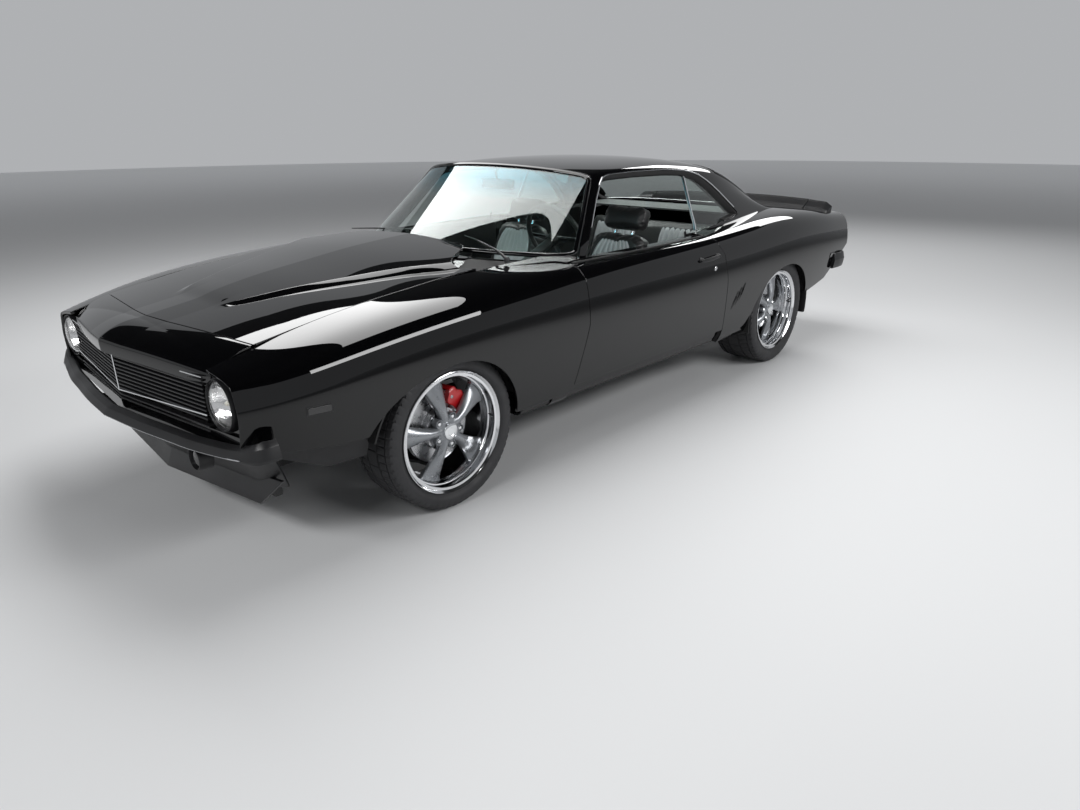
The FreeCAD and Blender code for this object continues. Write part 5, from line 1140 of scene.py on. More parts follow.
# %% [markdown]
# Windshield and rear window are bent panes in thin black seals. Each is cut from its own or
# the roof's sheet a few millimetres deeper, so it follows the body without a gap.

# %% Windshield and rear window
WINDSHIELD_SHARES = [
    [(0.800, 0.332, 0.684), (0.700, 0.272, 0.692), (0.400, 0.212, 0.702), (0.0, 0.196, 0.704)],
    [(0.748, 0.368, 0.772), (0.655, 0.318, 0.785), (0.380, 0.272, 0.798), (0.0, 0.258, 0.802)],
    [(0.692, 0.402, 0.862), (0.608, 0.364, 0.878), (0.360, 0.335, 0.895), (0.0, 0.325, 0.901)],
    [(0.634, 0.432, 0.945), (0.562, 0.410, 0.962), (0.340, 0.394, 0.978), (0.0, 0.388, 0.985)],
]
windshield = Sheet([row + [(-x, y, z) for x, y, z in row[-2::-1]]
                    for row in net_of(WINDSHIELD_SHARES)], (0, -1, 1))


def spaced(sheet, uv, gap=0.012):
    """The places of a line that lie at least a gap apart."""
    seen, keep = sheet.points(uv), [0]
    for index in range(1, len(seen)):
        if np.linalg.norm(seen[index] - seen[keep[-1]]) > gap:
            keep.append(index)
    return uv[keep]


def round_window(sheet, low, high, radius=0.05, step=0.02):
    """A window's outline in u, v between two corners, with its corners rounded."""
    (a, b), (c, d) = low, high
    corners = rounded([(a, b), (c, b), (c, d), (a, d)], radius, 6)
    return trace(sheet, [("uv", np.concatenate([corners, corners[:1]]))], step)


screen_loop = round_window(windshield, (0.015, 0.012), (0.985, 0.988), 0.05)
panel_piece("windshield_pane", [panel(windshield, screen_loop, wall=0.0055, step=0.03)], "root",
            windshield_glass, replaces=["windshield"])
piece("windshield_trim", [trim(windshield, screen_loop, 0.022, 0.006, lift=0.001)], "root",
      black_enamel)

rear_net = canopy.net
rear_sheet = moved(rear_net, (0, -0.005, -0.007))
glass_outline = np.array([(0.598, 0.27), (0.64, 0.215), (0.94, 0.205), (0.995, 0.19)])
glass_outline = np.concatenate([glass_outline, [(u, 1 - v) for u, v in glass_outline[::-1]],
                                glass_outline[:1]])
rear_loop = trace(rear_sheet, [("uv", glass_outline)], 0.03)
panel_piece("rear_pane", [panel(rear_sheet, rear_loop, wall=0.0055, step=0.03)], "root",
            window_glass, replaces=["rear_window"])
order = np.array(left_run)[np.array(left_run)[:, 0] > 0.60]
order = np.array([p for p in order if p[1] > 0.185])
rear_trim_line = np.concatenate([order, [[u, 1 - v] for u, v in order[::-1]]])
rear_trim_line = follow(canopy, [("uv", rear_trim_line)], 0.02)
rear_trim_line = spaced(canopy, rear_trim_line)
piece("rear_window_trim", [trim(canopy, rear_trim_line, 0.020, 0.005, closed=False)], "root",
      black_enamel)

# %% [markdown]
# The door glass is wound down and only the quarter pane stands, with a bright bar at its
# front. Drip rails and seals are sections carried along the edge of the opening.

# %% Side windows, rails and seals
PANE_INSET = 0.030
side_glass = moved(canopy.net, (-PANE_INSET, 0, 0))
pane_points = [(1.972, 0.885), (1.978, 1.00), (2.005, 1.222), (2.06, 1.222), (2.12, 1.200),
               (2.19, 1.168), (2.25, 1.132), (2.31, 1.090), (2.36, 1.048), (2.42, 1.000),
               (2.45, 0.965), (2.40, 0.920), (2.272, 0.905), (2.10, 0.890), (1.972, 0.885)]
pane_loop = trace(side_glass, [("yz", pane_points, (0, 1, 0, 0.42))], 0.02)
pane = panel(side_glass, pane_loop, wall=0.005, step=0.02)
panel_piece("quarter_panes", [pane, mirror(pane)], "root", window_glass,
            replaces=["quarter_windows"])
front_bar = side_glass.points(follow(side_glass, [("yz", [(1.970, 0.885), (1.976, 1.00),
                                                          (2.003, 1.222)], (0, 1, 0, 0.42))], 0.03))
front_bar = front_bar[np.r_[0:len(front_bar):2, len(front_bar) - 1]]
BAR = rounded([(-0.007, -0.007), (0.007, -0.007), (0.007, 0.007), (-0.007, 0.007)], 0.003, 3)
piece("quarter_pane_bars", both(sweep(front_bar, BAR, (1, 0, 0))), "root", chrome)
rail_line = spaced(canopy, follow(canopy, [("yz", opening[1:-6], SIDE_REACH)], 0.02), 0.016)
points, normals = edge_line(canopy, rail_line, 0.0)
drip = sweep(points, rounded([(-0.006, -0.004), (0.002, -0.004), (0.003, 0.003), (-0.004, 0.004)],
                             0.0015, 2), normals)
piece("drip_rails", both(drip), "root", polished)
seal_line = spaced(canopy, follow(canopy, [("yz", opening[:-2], SIDE_REACH)], 0.02), 0.016)
points, normals = edge_line(canopy, seal_line, 0.0)
width = 0.7 + 0.9 * np.clip((points[:, 1] - AXLE - 1.95) / 0.25, 0, 1)
SEAL = rounded([(-0.004, -0.004), (0.006, -0.004), (0.020, -0.026), (0.018, -0.040),
                (-0.004, -0.040)], 0.004, 3)
piece("roof_seals", both(sweep(points, SEAL, normals, np.c_[width, 0.4 + 0.6 * width])), "root",
      seal_rubber)

# %% [markdown]
# The trunk lid is cut out of the deck's sheet with round corners, so the shut line stays even
# and the surface runs on across it.

# %% Trunk lid and rear deck
DECK_SHARES = [
    [(0.750, 1.060, 0.724), (0.500, 1.060, 0.735), (0.0, 1.060, 0.740)],
    [(0.745, 1.140, 0.716), (0.500, 1.140, 0.727), (0.0, 1.140, 0.731)],
    [(0.740, 1.230, 0.699), (0.500, 1.230, 0.711), (0.0, 1.230, 0.715)],
    [(0.730, 1.330, 0.674), (0.500, 1.330, 0.687), (0.0, 1.330, 0.691)],
]
deck = Sheet([row + [(-x, y, z) for x, y, z in row[-2::-1]] for row in net_of(DECK_SHARES)],
             (0, 0, 1))
LID_FRONT, LID_REAR = 3.040, 3.600
lid_half = float(inner_edge(3.6)) - 0.007
lid_outline = rounded([(lid_half, LID_FRONT), (lid_half, LID_REAR), (-lid_half, LID_REAR),
                       (-lid_half, LID_FRONT)], 0.03, 5)
lid_loop = trace(deck, [("xy", np.concatenate([lid_outline, lid_outline[:1]]))])
panel_piece("trunk_lid_skin", [panel(deck, lid_loop, wall=0.016, step=0.03)], "trunk_lid",
            black_enamel, replaces=["trunk_lid"])
deck_half = 0.650
deck_loop = trace(deck, [("xy", [(deck_half, 2.925), (deck_half, LID_FRONT - GAP),
                                 (-deck_half, LID_FRONT - GAP), (-deck_half, 2.925),
                                 (0, 2.960), (deck_half, 2.925)])])
panel_piece("deck_skin", [panel(deck, deck_loop, wall=0.012, step=0.02)], "root", black_enamel,
            replaces=["rear_deck"])

# %% [markdown]
# The spoiler is a satin blade across the tail: its long middle moves with the lid and its two
# short ends stand on the quarters.

# %% Spoiler
SPOILER = [(-0.006, -0.012), (0.0, 0.010), (0.050, 0.030), (0.095, 0.060), (0.108, 0.071),
           (0.116, 0.070), (0.117, 0.060), (0.111, 0.020), (0.108, -0.012)]


def spoiler_part(start, end, count, tip=False):
    rows = []
    for t in np.linspace(0, 1, count):
        x = start + (end - start) * t
        fade = 1.0 - (0.35 * max(0, t - 0.75) / 0.25 if tip else 0.0)
        seat = deck.points(deck.find([[min(abs(x), 0.66), 3.49 + AXLE]], (0, 1)))[0, 2] - 0.012
        if tip:
            seat -= 0.012 * t
        bend = -0.015 * max(0, abs(x) - 0.5) / 0.3
        section = rounded(SPOILER, 0.005, 3)
        rows.append([(x, 3.49 + AXLE + bend + a, seat + b * fade) for a, b in section])
    return loft(rows)


piece("spoiler_blade", [spoiler_part(-lid_half + 0.002, lid_half - 0.002, 41)], "trunk_lid",
      satin_black, replaces=["rear_spoiler"])
tip = spoiler_part(lid_half + 0.005, 0.812, 14, tip=True)
piece("spoiler_tips", both(tip), "root", satin_black, replaces=["spoiler_ends"])

# %% [markdown]
# The tail is a flat painted plate with two square red lamps a side, over a slim black bumper
# that wraps round the corners. Frames and lenses are bevelled prisms.

# %% Tail panel, its lamps and the rear bumper
tail_back = 3.635
tail = block((-0.79, tail_back - 0.02, 0.46), (0.79, tail_back, 0.852), 0.01)
piece("tail_plate", [tail], "root", black_enamel, replaces=["tail_panel"],
      bevel=0.003)
bezels, lenses = [], []
for low, high in ((0.315, 0.458), (0.472, 0.615)):
    ring = rounded([(low, 0.655), (high, 0.655), (high, 0.760), (low, 0.760)], 0.012)
    bezels.append(prism(axle([(x, tail_back - 0.004, z) for x, z in ring]), (0, 1, 0), 0.012))
    inner_ring = rounded([(low + 0.008, 0.663), (high - 0.008, 0.663), (high - 0.008, 0.752),
                          (low + 0.008, 0.752)], 0.008)
    lenses.append(prism(axle([(x, tail_back + 0.002, z) for x, z in inner_ring]), (0, 1, 0), 0.015))
piece("tail_lamp_frames", both(*bezels), "root", satin_black, bevel=0.002)
piece("tail_lamp_lenses", both(*lenses), "root", red_lens, replaces=["tail_lamps"],
      bevel=0.003)
rear_line = smooth_path(axle([(0.900, 3.50, 0.557), (0.905, 3.60, 0.557), (0.893, 3.672, 0.557),
                              (0.80, 3.706, 0.557), (0.58, 3.742, 0.557), (0.0, 3.760, 0.557)]), 40)
rear_line = np.concatenate([rear_line, (rear_line * [-1, 1, 1])[-2::-1]])
BUMPER = rounded([(-0.012, -0.052), (0.006, -0.052), (0.012, -0.030), (0.016, 0.006),
                  (0.006, 0.050), (-0.012, 0.052)], 0.006, 3)
piece("rear_bumper_bar", [sweep(rear_line, BUMPER, (0, 0, 1))], "root", satin_black,
      replaces=["rear_bumper"])

# %% [markdown]
# The grille is a moulded panel of thin bars that bend in a shallow V, with bright trims above
# and below. One bar and one rib are made, and the repeat tree sets them out.

# %% Grille
GRILLE_NOSE, GRILLE_SIDE, GRILLE_HALF = -0.893, -0.829, 0.590


def v_line(half, nose, side, z, lean=0.0):
    """A line across the nose: a shallow V in plan, from one side to the other."""
    return axle([(-half, side + lean, z), (0, nose + lean, z), (half, side + lean, z)])


def v_bar(half, nose, side, z, section, lean=0.0):
    path = v_line(half, nose, side, z, lean)
    path = np.concatenate([path[:1], [path[1] - [0.004, 0, 0]], [path[1] + [0.004, 0, 0]],
                           path[2:]])
    return sweep(path, section, (0, 0, 1))


SLAT = rounded([(-0.011, -0.0022), (0.010, -0.0032), (0.010, 0.0032), (-0.011, 0.0022)], 0.002, 3)
SLAT_PITCH, RIB_PITCH = 0.0152, 0.078
high_slat = v_bar(GRILLE_HALF, GRILLE_NOSE + 0.004, GRILLE_SIDE + 0.004, 0.548, SLAT)
low_slat = v_bar(GRILLE_HALF, GRILLE_NOSE + 0.006, GRILLE_SIDE + 0.006, 0.520, SLAT)
slats = [repeated(high_slat, satin_black, Count=10, Step=(0.0, 0.0, SLAT_PITCH)),
         repeated(low_slat, satin_black, Count=2, Step=(0.0, 0.0, -SLAT_PITCH))]
rib_step = (RIB_PITCH, RIB_PITCH / GRILLE_HALF * (GRILLE_SIDE - GRILLE_NOSE), 0.0)
rib_y = GRILLE_NOSE + 0.014
middle_rib = block((-0.0015, rib_y, 0.505), (0.0015, rib_y + 0.012, 0.698), 0.0005)
side_rib = (middle_rib[0] + rib_step, middle_rib[1])
ribs = [middle_rib] + both(repeated(side_rib, satin_black, Count=7, Step=rib_step))
backing = prism(np.concatenate([v_line(0.60, -0.86, -0.80, 0.497), v_line(0.60, -0.85, -0.79, 0.497)
                                [::-1]]), (0, 0, 1), 0.20)
piece("grille_bars", slats + ribs, "root", satin_black, replaces=["grille"])
piece("grille_backing", [backing], "root", dull_plastic)
TRIM = rounded([(-0.007, -0.0030), (0.004, -0.0030), (0.004, 0.0030), (-0.004, 0.0030)], 0.002, 3)


def low_line(half, ahead, low, high):
    """A shallow V that also rises towards the lamps."""
    return axle([(-half, GRILLE_SIDE - ahead, high), (-0.004, GRILLE_NOSE - ahead, low),
                 (0.004, GRILLE_NOSE - ahead, low), (half, GRILLE_SIDE - ahead, high)])


centre = axle([(0, GRILLE_NOSE - 0.008, 0.692), (0, GRILLE_NOSE - 0.005, 0.538)])
piece("grille_trims", [sweep(low_line(0.598, 0.005, 0.540, 0.566), TRIM, (0, 0, 1)),
                       sweep(low_line(0.598, 0.006, 0.692, 0.700), TRIM * 0.8, (0, 0, 1)),
                       tube(centre, 0.0032, (1, 0, 0), 10)], "root", polished)
skirt_rows = []
for x in np.linspace(-0.80, 0.80, 81):
    fold = GRILLE_NOSE + abs(x) / GRILLE_HALF * (GRILLE_SIDE - GRILLE_NOSE)
    y = fold if abs(x) < 0.6 else -0.828 + 0.10 * (abs(x) - 0.598)
    top = 0.505 + 0.012 * abs(x) / 0.6
    skirt_rows.append([(x, y + AXLE - 0.001, top), (x, y + AXLE - 0.004, 0.450),
                       (x, y + AXLE + 0.008, 0.450), (x, y + AXLE + 0.010, top)])
piece("nose_skirt", [loft(skirt_rows)], "root", black_enamel)

# %% [markdown]
# A round headlamp sits deep in its ring: a bowl of bright metal, a bulb and a domed glass, each
# turned from a profile. The fender's end plate closes the fender round it.

# %% Headlamps and the fender's end plates
LAMP_X, LAMP_Y, LAMP_Z = 0.681, -0.822, 0.618


def front_plate():
    """The end of the fender round the lamp: a plate with a round hole."""
    outer = rounded([(0.598, 0.503), (0.772, 0.503), (0.800, 0.560), (0.798, 0.668), (0.775, 0.702),
                     (0.690, 0.716), (0.598, 0.712)], 0.022, 5)
    count = 72
    angles = np.linspace(0, 2 * math.pi, count, endpoint=False)
    hole = np.c_[LAMP_X + 0.093 * np.cos(angles), LAMP_Z + 0.093 * np.sin(angles)]
    ring = []
    for a in angles:
        way = np.array([math.cos(a), math.sin(a)])
        best = None
        for p, q in zip(outer, np.roll(outer, -1, 0)):
            e, d = q - p, p - np.array([LAMP_X, LAMP_Z])
            turn = way[0] * e[1] - way[1] * e[0]
            if abs(turn) < 1e-12:
                continue
            t, s = (d[0] * e[1] - d[1] * e[0]) / turn, (d[0] * way[1] - d[1] * way[0]) / turn
            if t > 0 and -1e-6 <= s <= 1 + 1e-6:
                best = t if best is None else max(best, t)
        ring.append(np.array([LAMP_X, LAMP_Z]) + way * best)
    ring = np.array(ring)

    def front(p, back):
        return np.array([p[0], LAMP_Y + 0.004 + 0.10 * abs(p[0] - 0.598) + back + AXLE, p[1]])

    rows = []
    for layer, back in ((hole, 0.030), (hole, 0.004), (hole * 0.94 + ring * 0.06, 0.0),
                        (ring * 0.9 + hole * 0.1, 0.0), (ring, 0.006), (ring, 0.030)):
        rows.append([front(p, back) for p in layer])
    return loft(rows, closed=True)


plate = front_plate()
piece("lamp_plates", both(plate), "root", black_enamel)
LAMP = (LAMP_X, LAMP_Y + AXLE, LAMP_Z)
bezel = lathe([(-0.004, 0.0900), (-0.009, 0.0885), (-0.010, 0.0865), (-0.006, 0.0835),
               (0.002, 0.0825), (0.062, 0.0820), (0.062, 0.0895), (0.0, 0.0915)], 72, LAMP, 1)
piece("lamp_bezels", both(bezel), "root", satin_black, replaces=["headlamps"])
bowl = lathe([(0.004, 0.0815), (0.024, 0.070), (0.044, 0.052), (0.056, 0.030), (0.060, 0.0),
              (0.063, 0.0), (0.059, 0.032), (0.047, 0.055), (0.027, 0.0735), (0.004, 0.0822)],
             72, LAMP, 1)
piece("lamp_bowls", both(bowl), "root", lamp_reflector)
dome = lathe([(0.000, 0.0820), (-0.008, 0.074), (-0.016, 0.056), (-0.021, 0.030), (-0.0225, 0.0),
              (-0.019, 0.0), (-0.0175, 0.030), (-0.0125, 0.056), (-0.0045, 0.073), (0.004, 0.0815)],
             72, LAMP, 1)
piece("lamp_domes", both(dome), "root", lamp_glass)
bulb = lathe([(0.012, 0.0), (0.014, 0.006), (0.022, 0.009), (0.040, 0.009), (0.054, 0.014),
              (0.060, 0.0)], 32, LAMP, 1)
piece("lamp_bulbs", both(bulb), "root", lamp_bulb)

# %% [markdown]
# The bumper is a slim black wedge that wraps round the nose and grows towards its ends. Its
# section is carried along one smooth path, and a bright lip follows below.

# %% Front bumper
bumper_half = smooth_path(axle([(0.0, -0.946, 0.470), (0.25, -0.923, 0.470), (0.42, -0.899, 0.470),
                                (0.56, -0.880, 0.471), (0.70, -0.850, 0.474), (0.79, -0.832, 0.480),
                                (0.845, -0.822, 0.488), (0.875, -0.808, 0.495),
                                (0.887, -0.785, 0.499), (0.889, -0.750, 0.500)]), 46)
path = np.concatenate([(bumper_half * [-1, 1, 1])[:0:-1], bumper_half])
WEDGE = rounded([(0.020, -0.019), (0.024, -0.013), (0.006, 0.009), (-0.018, 0.020),
                 (-0.028, 0.012), (-0.026, -0.016)], 0.004, 3)
grow = np.clip((abs(path[:, 0]) - 0.72) / 0.15, 0, 1) ** 1.5
piece("front_bumper_bar", [sweep(path, WEDGE, (0, 0, 1), np.c_[1 - 0.35 * grow, 1 + 0.75 * grow])],
      "root", satin_black, replaces=["front_bumper"], bevel=0.002)
lip_path = path + [0.0, -0.0205, -0.0150]
lip_path = lip_path[abs(path[:, 0]) < 0.83]
piece("bumper_lip", [tube(lip_path, 0.0028, (0, 0, 1), 8)], "root", polished)

# %% [markdown]
# Below the bumper a satin apron leans back and wraps round at its ends, with the round parking
# lamps let into it. Its sheet is drawn by rows, from its low edge to its high edge.

# %% Apron and parking lamps
def side_x(y, z):
    """How far out the side lies at places given as y, in axle metres, and z."""
    uv = side_sheet.find(np.c_[np.asarray(y) + AXLE, z], (1, 2), LOW_REACH)
    return side_sheet.points(uv)[:, 0]


def apron(low, high, half_low, half_high, nose_low, nose_high, sweep_back, wall=0.01, count=40):
    """A sheet under the bumper that leans and wraps round at its ends."""
    rows = []
    for t in np.linspace(0, 1, 9):
        z = low + (high - low) * t
        half = half_low + (half_high - half_low) * t
        nose = nose_low + (nose_high - nose_low) * t
        xs = np.linspace(-half, half, count * 2 + 1)
        wrap = np.clip((abs(xs) / half - 0.86) / 0.14, 0, 1) ** 2 * 0.05
        rows.append(np.stack([xs, nose + sweep_back * abs(xs) + wrap + AXLE, z + 0 * xs], 1))
    points = np.array(rows)
    down = np.gradient(points, axis=0)
    across = np.gradient(points, axis=1)
    normals = unit(np.cross(across, down))
    if normals[4, count, 1] > 0:
        normals = -normals
    return grid_panel(points, normals, wall=wall)


panel_piece("front_apron", [apron(0.262, 0.458, 0.70, 0.83, -0.760, -0.885, 0.105)], "root",
            satin_black, replaces=["front_valance"])
PARK = (0.430, -0.818 + AXLE, 0.358)
rim_ring = lathe([(-0.016, 0.047), (-0.022, 0.044), (-0.022, 0.040), (-0.014, 0.038),
                  (0.012, 0.038), (0.030, 0.040), (0.030, 0.049)], 48, PARK, 1)
park_lens = lathe([(-0.018, 0.0), (-0.016, 0.020), (-0.010, 0.0375), (0.008, 0.0375), (0.008, 0.0)],
                  48, PARK, 1)
piece("parking_rings", both(rim_ring), "root", satin_black)
piece("parking_lenses", both(park_lens), "root", smoked_lens,
      replaces=["marker_lamps"])
side_apron = []
for y in np.linspace(-0.745, -0.37, 16):
    x = float(side_x([y], [0.46])[0])
    foot = 0.330 + 0.095 * np.clip((-0.52 - y) / 0.2, 0, 1)
    out = 0.055 + 0.030 * (0.44 - foot) / 0.11
    side_apron.append([(x - 0.012, y + AXLE, 0.470), (x - 0.050, y + AXLE, 0.440),
                       (x - out, y + AXLE, foot), (x - out - 0.008, y + AXLE, foot),
                       (x - 0.060, y + AXLE, 0.444), (x - 0.024, y + AXLE, 0.474)])
piece("side_aprons", both(loft(side_apron)), "root", satin_black)

# %% [markdown]
# Marker lamps are small plates that follow the side. Each corner is looked up on the side's
# sheet, so that the plate can neither sink in nor float.

# %% Marker lamps
def side_patch(y_low, y_high, z_low, z_high, lift, grow=0.0):
    """A small plate that lies on the body's side."""
    corners = rounded([(y_low - grow, z_low - grow), (y_high + grow, z_low - grow),
                       (y_high + grow, z_high + grow), (y_low - grow, z_high + grow)], 0.004, 3)
    uv = side_sheet.find(corners + [AXLE, 0], (1, 2), LOW_REACH)
    face, normal = side_sheet.points(uv), side_sheet.normals(uv)
    return loft([face - normal * 0.004, face + normal * lift])


MARKERS = [(-0.627, -0.547, 0.576, 0.600), (3.435, 3.515, 0.592, 0.616)]
markers = [side_patch(*place, 0.004) for place in MARKERS]
frames = [side_patch(*place, 0.0018, 0.005) for place in MARKERS]
piece("marker_lenses", both(*markers), "root", smoked_lens, bevel=0.001)
piece("marker_frames", both(*frames), "root", satin_black, bevel=0.0008)

# %% [markdown]
# The chin blade is a bent sheet with two faces. Three lines across the nose give its shape,
# and one loft joins the front and the back.

# %% Chin blade
CHIN = [[(-0.62, -0.711, 0.195), (0.0, -0.779, 0.181), (0.62, -0.711, 0.195)],
        [(-0.705, -0.712, 0.262), (0.0, -0.762, 0.225), (0.705, -0.712, 0.262)],
        [(-0.780, -0.700, 0.330), (0.0, -0.748, 0.265), (0.780, -0.700, 0.330)]]
chin_rows = []
for wall in (0.0, 0.013):
    for line in (CHIN if wall == 0 else CHIN[::-1]):
        a, b, c = axle(line)
        near = b + (a - b) * 0.006, b + (c - b) * 0.006
        chin_rows.append(np.array([a, near[0], near[1], c]) + [0, wall, 0])
piece("chin_blade", [loft(np.swapaxes(np.array(chin_rows), 0, 1))], "root", satin_black,
      replaces=["chin_spoiler"], bevel=0.0025)

# %% [markdown]
# One wheel is drawn about the X axis with its face towards positive X and then set on each
# hub. The rim is turned with a stepped, polished lip. Five convex spokes, narrow at the hub
# and wide at the lip, run into it, with round lug pockets between their feet.

# %% Rims, spokes and hubs
SPOKES = 5
SPOKE_TURN = 2 * math.pi / SPOKES
LUG_CIRCLE = 0.0603


def rim_parts(width, face):
    """The turned barrel of a wheel; face is how far in the spokes lie from the tyre's side."""
    half = width / 2 - 0.010
    spoke = width / 2 - face - 0.026
    lip = [(half, 0.2485), (half + 0.002, 0.2500), (half + 0.001, 0.2520), (half - 0.004, 0.2525),
           (half - 0.007, 0.2505), (half - 0.009, 0.2300), (-half + 0.009, 0.2300),
           (-half + 0.007, 0.2505), (-half, 0.2520), (-half - 0.001, 0.2485), (-half, 0.2240),
           (-half + 0.05, 0.2180), (spoke - 0.050, 0.2160), (spoke - 0.024, 0.2140),
           (spoke - 0.010, 0.2150), (spoke - 0.004, 0.2185), (spoke + 0.004, 0.2195),
           (half - 0.044, 0.2215), (half - 0.041, 0.2235), (half - 0.040, 0.2275),
           (half - 0.018, 0.2300), (half - 0.014, 0.2320), (half - 0.013, 0.2370),
           (half - 0.006, 0.2420), (half - 0.002, 0.2460)]
    return lathe(lip, 144)


def spoke_part(face):
    """One convex spoke, lofted upwards from the hub plate to the lip."""
    rows = []
    for t in np.linspace(0, 1, 22):
        radius = 0.034 + (0.2175 - 0.034) * t
        half = np.interp(t, [0, 0.12, 0.3, 0.5, 0.7, 0.85, 0.95, 1.0],
                         [0.024, 0.0185, 0.0205, 0.0275, 0.036, 0.0425, 0.0475, 0.053])
        crown = np.interp(t, [0, 0.2, 0.6, 0.9, 1.0], [0.009, 0.014, 0.017, 0.015, 0.010])
        place = face + np.interp(t, [0, 0.15, 0.35, 0.6, 0.8, 0.92, 1.0],
                                 [-0.003, 0.003, 0.002, -0.007, -0.017, -0.023, -0.025])
        deep = np.interp(t, [0, 0.5, 1.0], [0.034, 0.034, 0.032])
        row = []
        for s in np.linspace(-1, 1, 19):
            row.append((place - crown * abs(s) ** 2.1, s * half))
        row += [(place - crown - 0.003, half + 0.0012), (place - deep, half + 0.001),
                (place - deep, -half - 0.001), (place - crown - 0.003, -half - 0.0012)]
        curved = []
        for x, across in row:
            bend = math.sqrt(max(radius ** 2 - across ** 2, 1e-6)) if t > 0.5 else radius
            curved.append((x, across, bend))
        rows.append(curved)
    return loft(rows)


def hub_parts(face):
    """The hub's plate with its cap."""
    plate = lathe([(face - 0.034, 0.0), (face - 0.034, 0.062), (face - 0.014, 0.0635),
                   (face - 0.0095, 0.0615), (face - 0.008, 0.056), (face - 0.005, 0.044),
                   (face - 0.002, 0.040), (face - 0.002, 0.0)], 80)
    cap = lathe([(face - 0.004, 0.0), (face - 0.004, 0.0345), (face + 0.004, 0.0345),
                 (face + 0.0085, 0.0325), (face + 0.0105, 0.0285), (face + 0.0115, 0.018),
                 (face + 0.0105, 0.0165), (face + 0.0102, 0.0)], 64)
    return plate, cap


def lug_parts(face):
    """The collars and nuts between the spokes, set out on their pitch circle."""
    collar = lathe([(face - 0.036, 0.0), (face - 0.036, 0.0185), (face - 0.008, 0.0180),
                    (face - 0.0045, 0.0165), (face - 0.004, 0.0150), (face - 0.0055, 0.0132),
                    (face - 0.017, 0.0126), (face - 0.017, 0.0)], 32)
    nut = lathe([(face - 0.0175, 0.0), (face - 0.0175, 0.0098), (face - 0.0075, 0.0095),
                 (face - 0.0055, 0.0070), (face - 0.0050, 0.0)], 6)
    ring = dict(Count=SPOKES, Radius=LUG_CIRCLE, First_Angle=SPOKE_TURN / 2, Angle_Step=SPOKE_TURN)
    return repeated(collar, silver_enamel, **ring), repeated(nut, chrome, **ring)


# %% [markdown]
# A tyre is moulded: ribs, blocks and fine cuts are pressed into its tread. Drawing them in the
# profile's own radius, step by step round the wheel, gives real grooves with few faces.

# %% Tyres
def tyre_part(radius, width):
    """A tyre: a turned carcass whose tread carries grooves, blocks and fine cuts."""
    half = width / 2
    tread_half = half - 0.012
    count = 420
    angles = np.linspace(0, 2 * math.pi, count, endpoint=False)
    marks = [-1, -0.985, -0.80, -0.79, -0.74, -0.73, -0.60, -0.36, -0.34, -0.27, -0.25, -0.1, -0.05,
             0.05, 0.1, 0.25, 0.27, 0.34, 0.36, 0.60, 0.73, 0.74, 0.79, 0.80, 0.985, 1]
    section, depth = [], []
    for m in marks:
        deep = 0.0075 if 0.735 < abs(m) < 0.795 or 0.265 < abs(m) < 0.345 else 0.0
        crown = 0.006 * abs(m) ** 3
        section.append((m * tread_half, radius - crown))
        depth.append(deep)
    shoulder = [(half - 0.006, radius - 0.012), (half - 0.002, radius - 0.022),
                (half, radius - 0.032)]
    bead = 0.2525
    wall_heights = np.linspace(radius - 0.040, bead + 0.004, 7)
    wall = [(half + 0.001 * math.sin(math.pi * k / 6) - 0.0145 * (k / 6) ** 2, h)
            for k, h in enumerate(wall_heights)]
    inner = [(half - 0.020, bead - 0.006), (half - 0.022, 0.231)]
    right = shoulder + wall + inner
    profile = [(-a, b) for a, b in right[::-1]] + section + right
    cuts = [0] * len(right) + depth + [0] * len(right)
    rows = []
    lead = len(right)
    for index, angle in enumerate(angles):
        row = []
        for j, ((x, r), cut) in enumerate(zip(profile, cuts)):
            drop = cut
            across = abs(x) / tread_half
            if lead <= j < lead + len(marks) and cut == 0:
                phase = (index + (3 if x > 0 else 0) + int(across * 5)) % 7
                if across > 0.80 and phase < 2:
                    drop = 0.0055
                elif 0.35 < across <= 0.74 and phase < 1:
                    drop = 0.0045
                elif across <= 0.25 and index % 14 < 1:
                    drop = 0.003
            elif (j in (lead - 1, lead - 2, lead + len(marks), lead + len(marks) + 1)
                  and index % 7 < 2):
                drop = 0.0035
            row.append((x, (r - drop) * math.cos(angle), (r - drop) * math.sin(angle)))
        rows.append(row)
    return loft(rows, closed=True)

# %% [markdown]
# A brake disc is cast iron, turned where the pads run: fine rings stay from the tool. A bump
# map could draw them, but real grooves hold up close by.

# %% Brake discs
def disc_parts(width, inset):
    """A brake disc with its hat, grooved where the pads run."""
    hat = width / 2 - inset - 0.034 - 0.0003
    rotor = hat - 0.034
    profile = [(hat, 0.0303), (hat, 0.086), (hat - 0.003, 0.0885), (rotor + 0.003, 0.0885),
               (rotor, 0.091)]
    for k in range(9):
        r = 0.094 + 0.006 * k
        profile += [(rotor, r), (rotor - 0.0004, r + 0.002), (rotor - 0.0004, r + 0.004)]
    profile += [(rotor - 0.001, 0.1495), (rotor - 0.010, 0.150), (rotor - 0.011, 0.146),
                (rotor - 0.017, 0.146), (rotor - 0.018, 0.150), (rotor - 0.028, 0.1495),
                (rotor - 0.028, 0.080), (hat - 0.009, 0.079), (hat - 0.009, 0.0303)]
    return lathe(profile, 96)

# %% [markdown]
# The four wheels share their drawings and differ in width, height and spoke angle. Each is
# made once about the X axis and then moved, or mirrored, onto its hub.

# %% The four wheels
def set_wheel(part, side, track, y, z):
    points, faces = part
    if side < 0:
        points, faces = points * [-1, 1, 1], [f[::-1] for f in faces]
    return points + [side * track, y + AXLE, z], faces


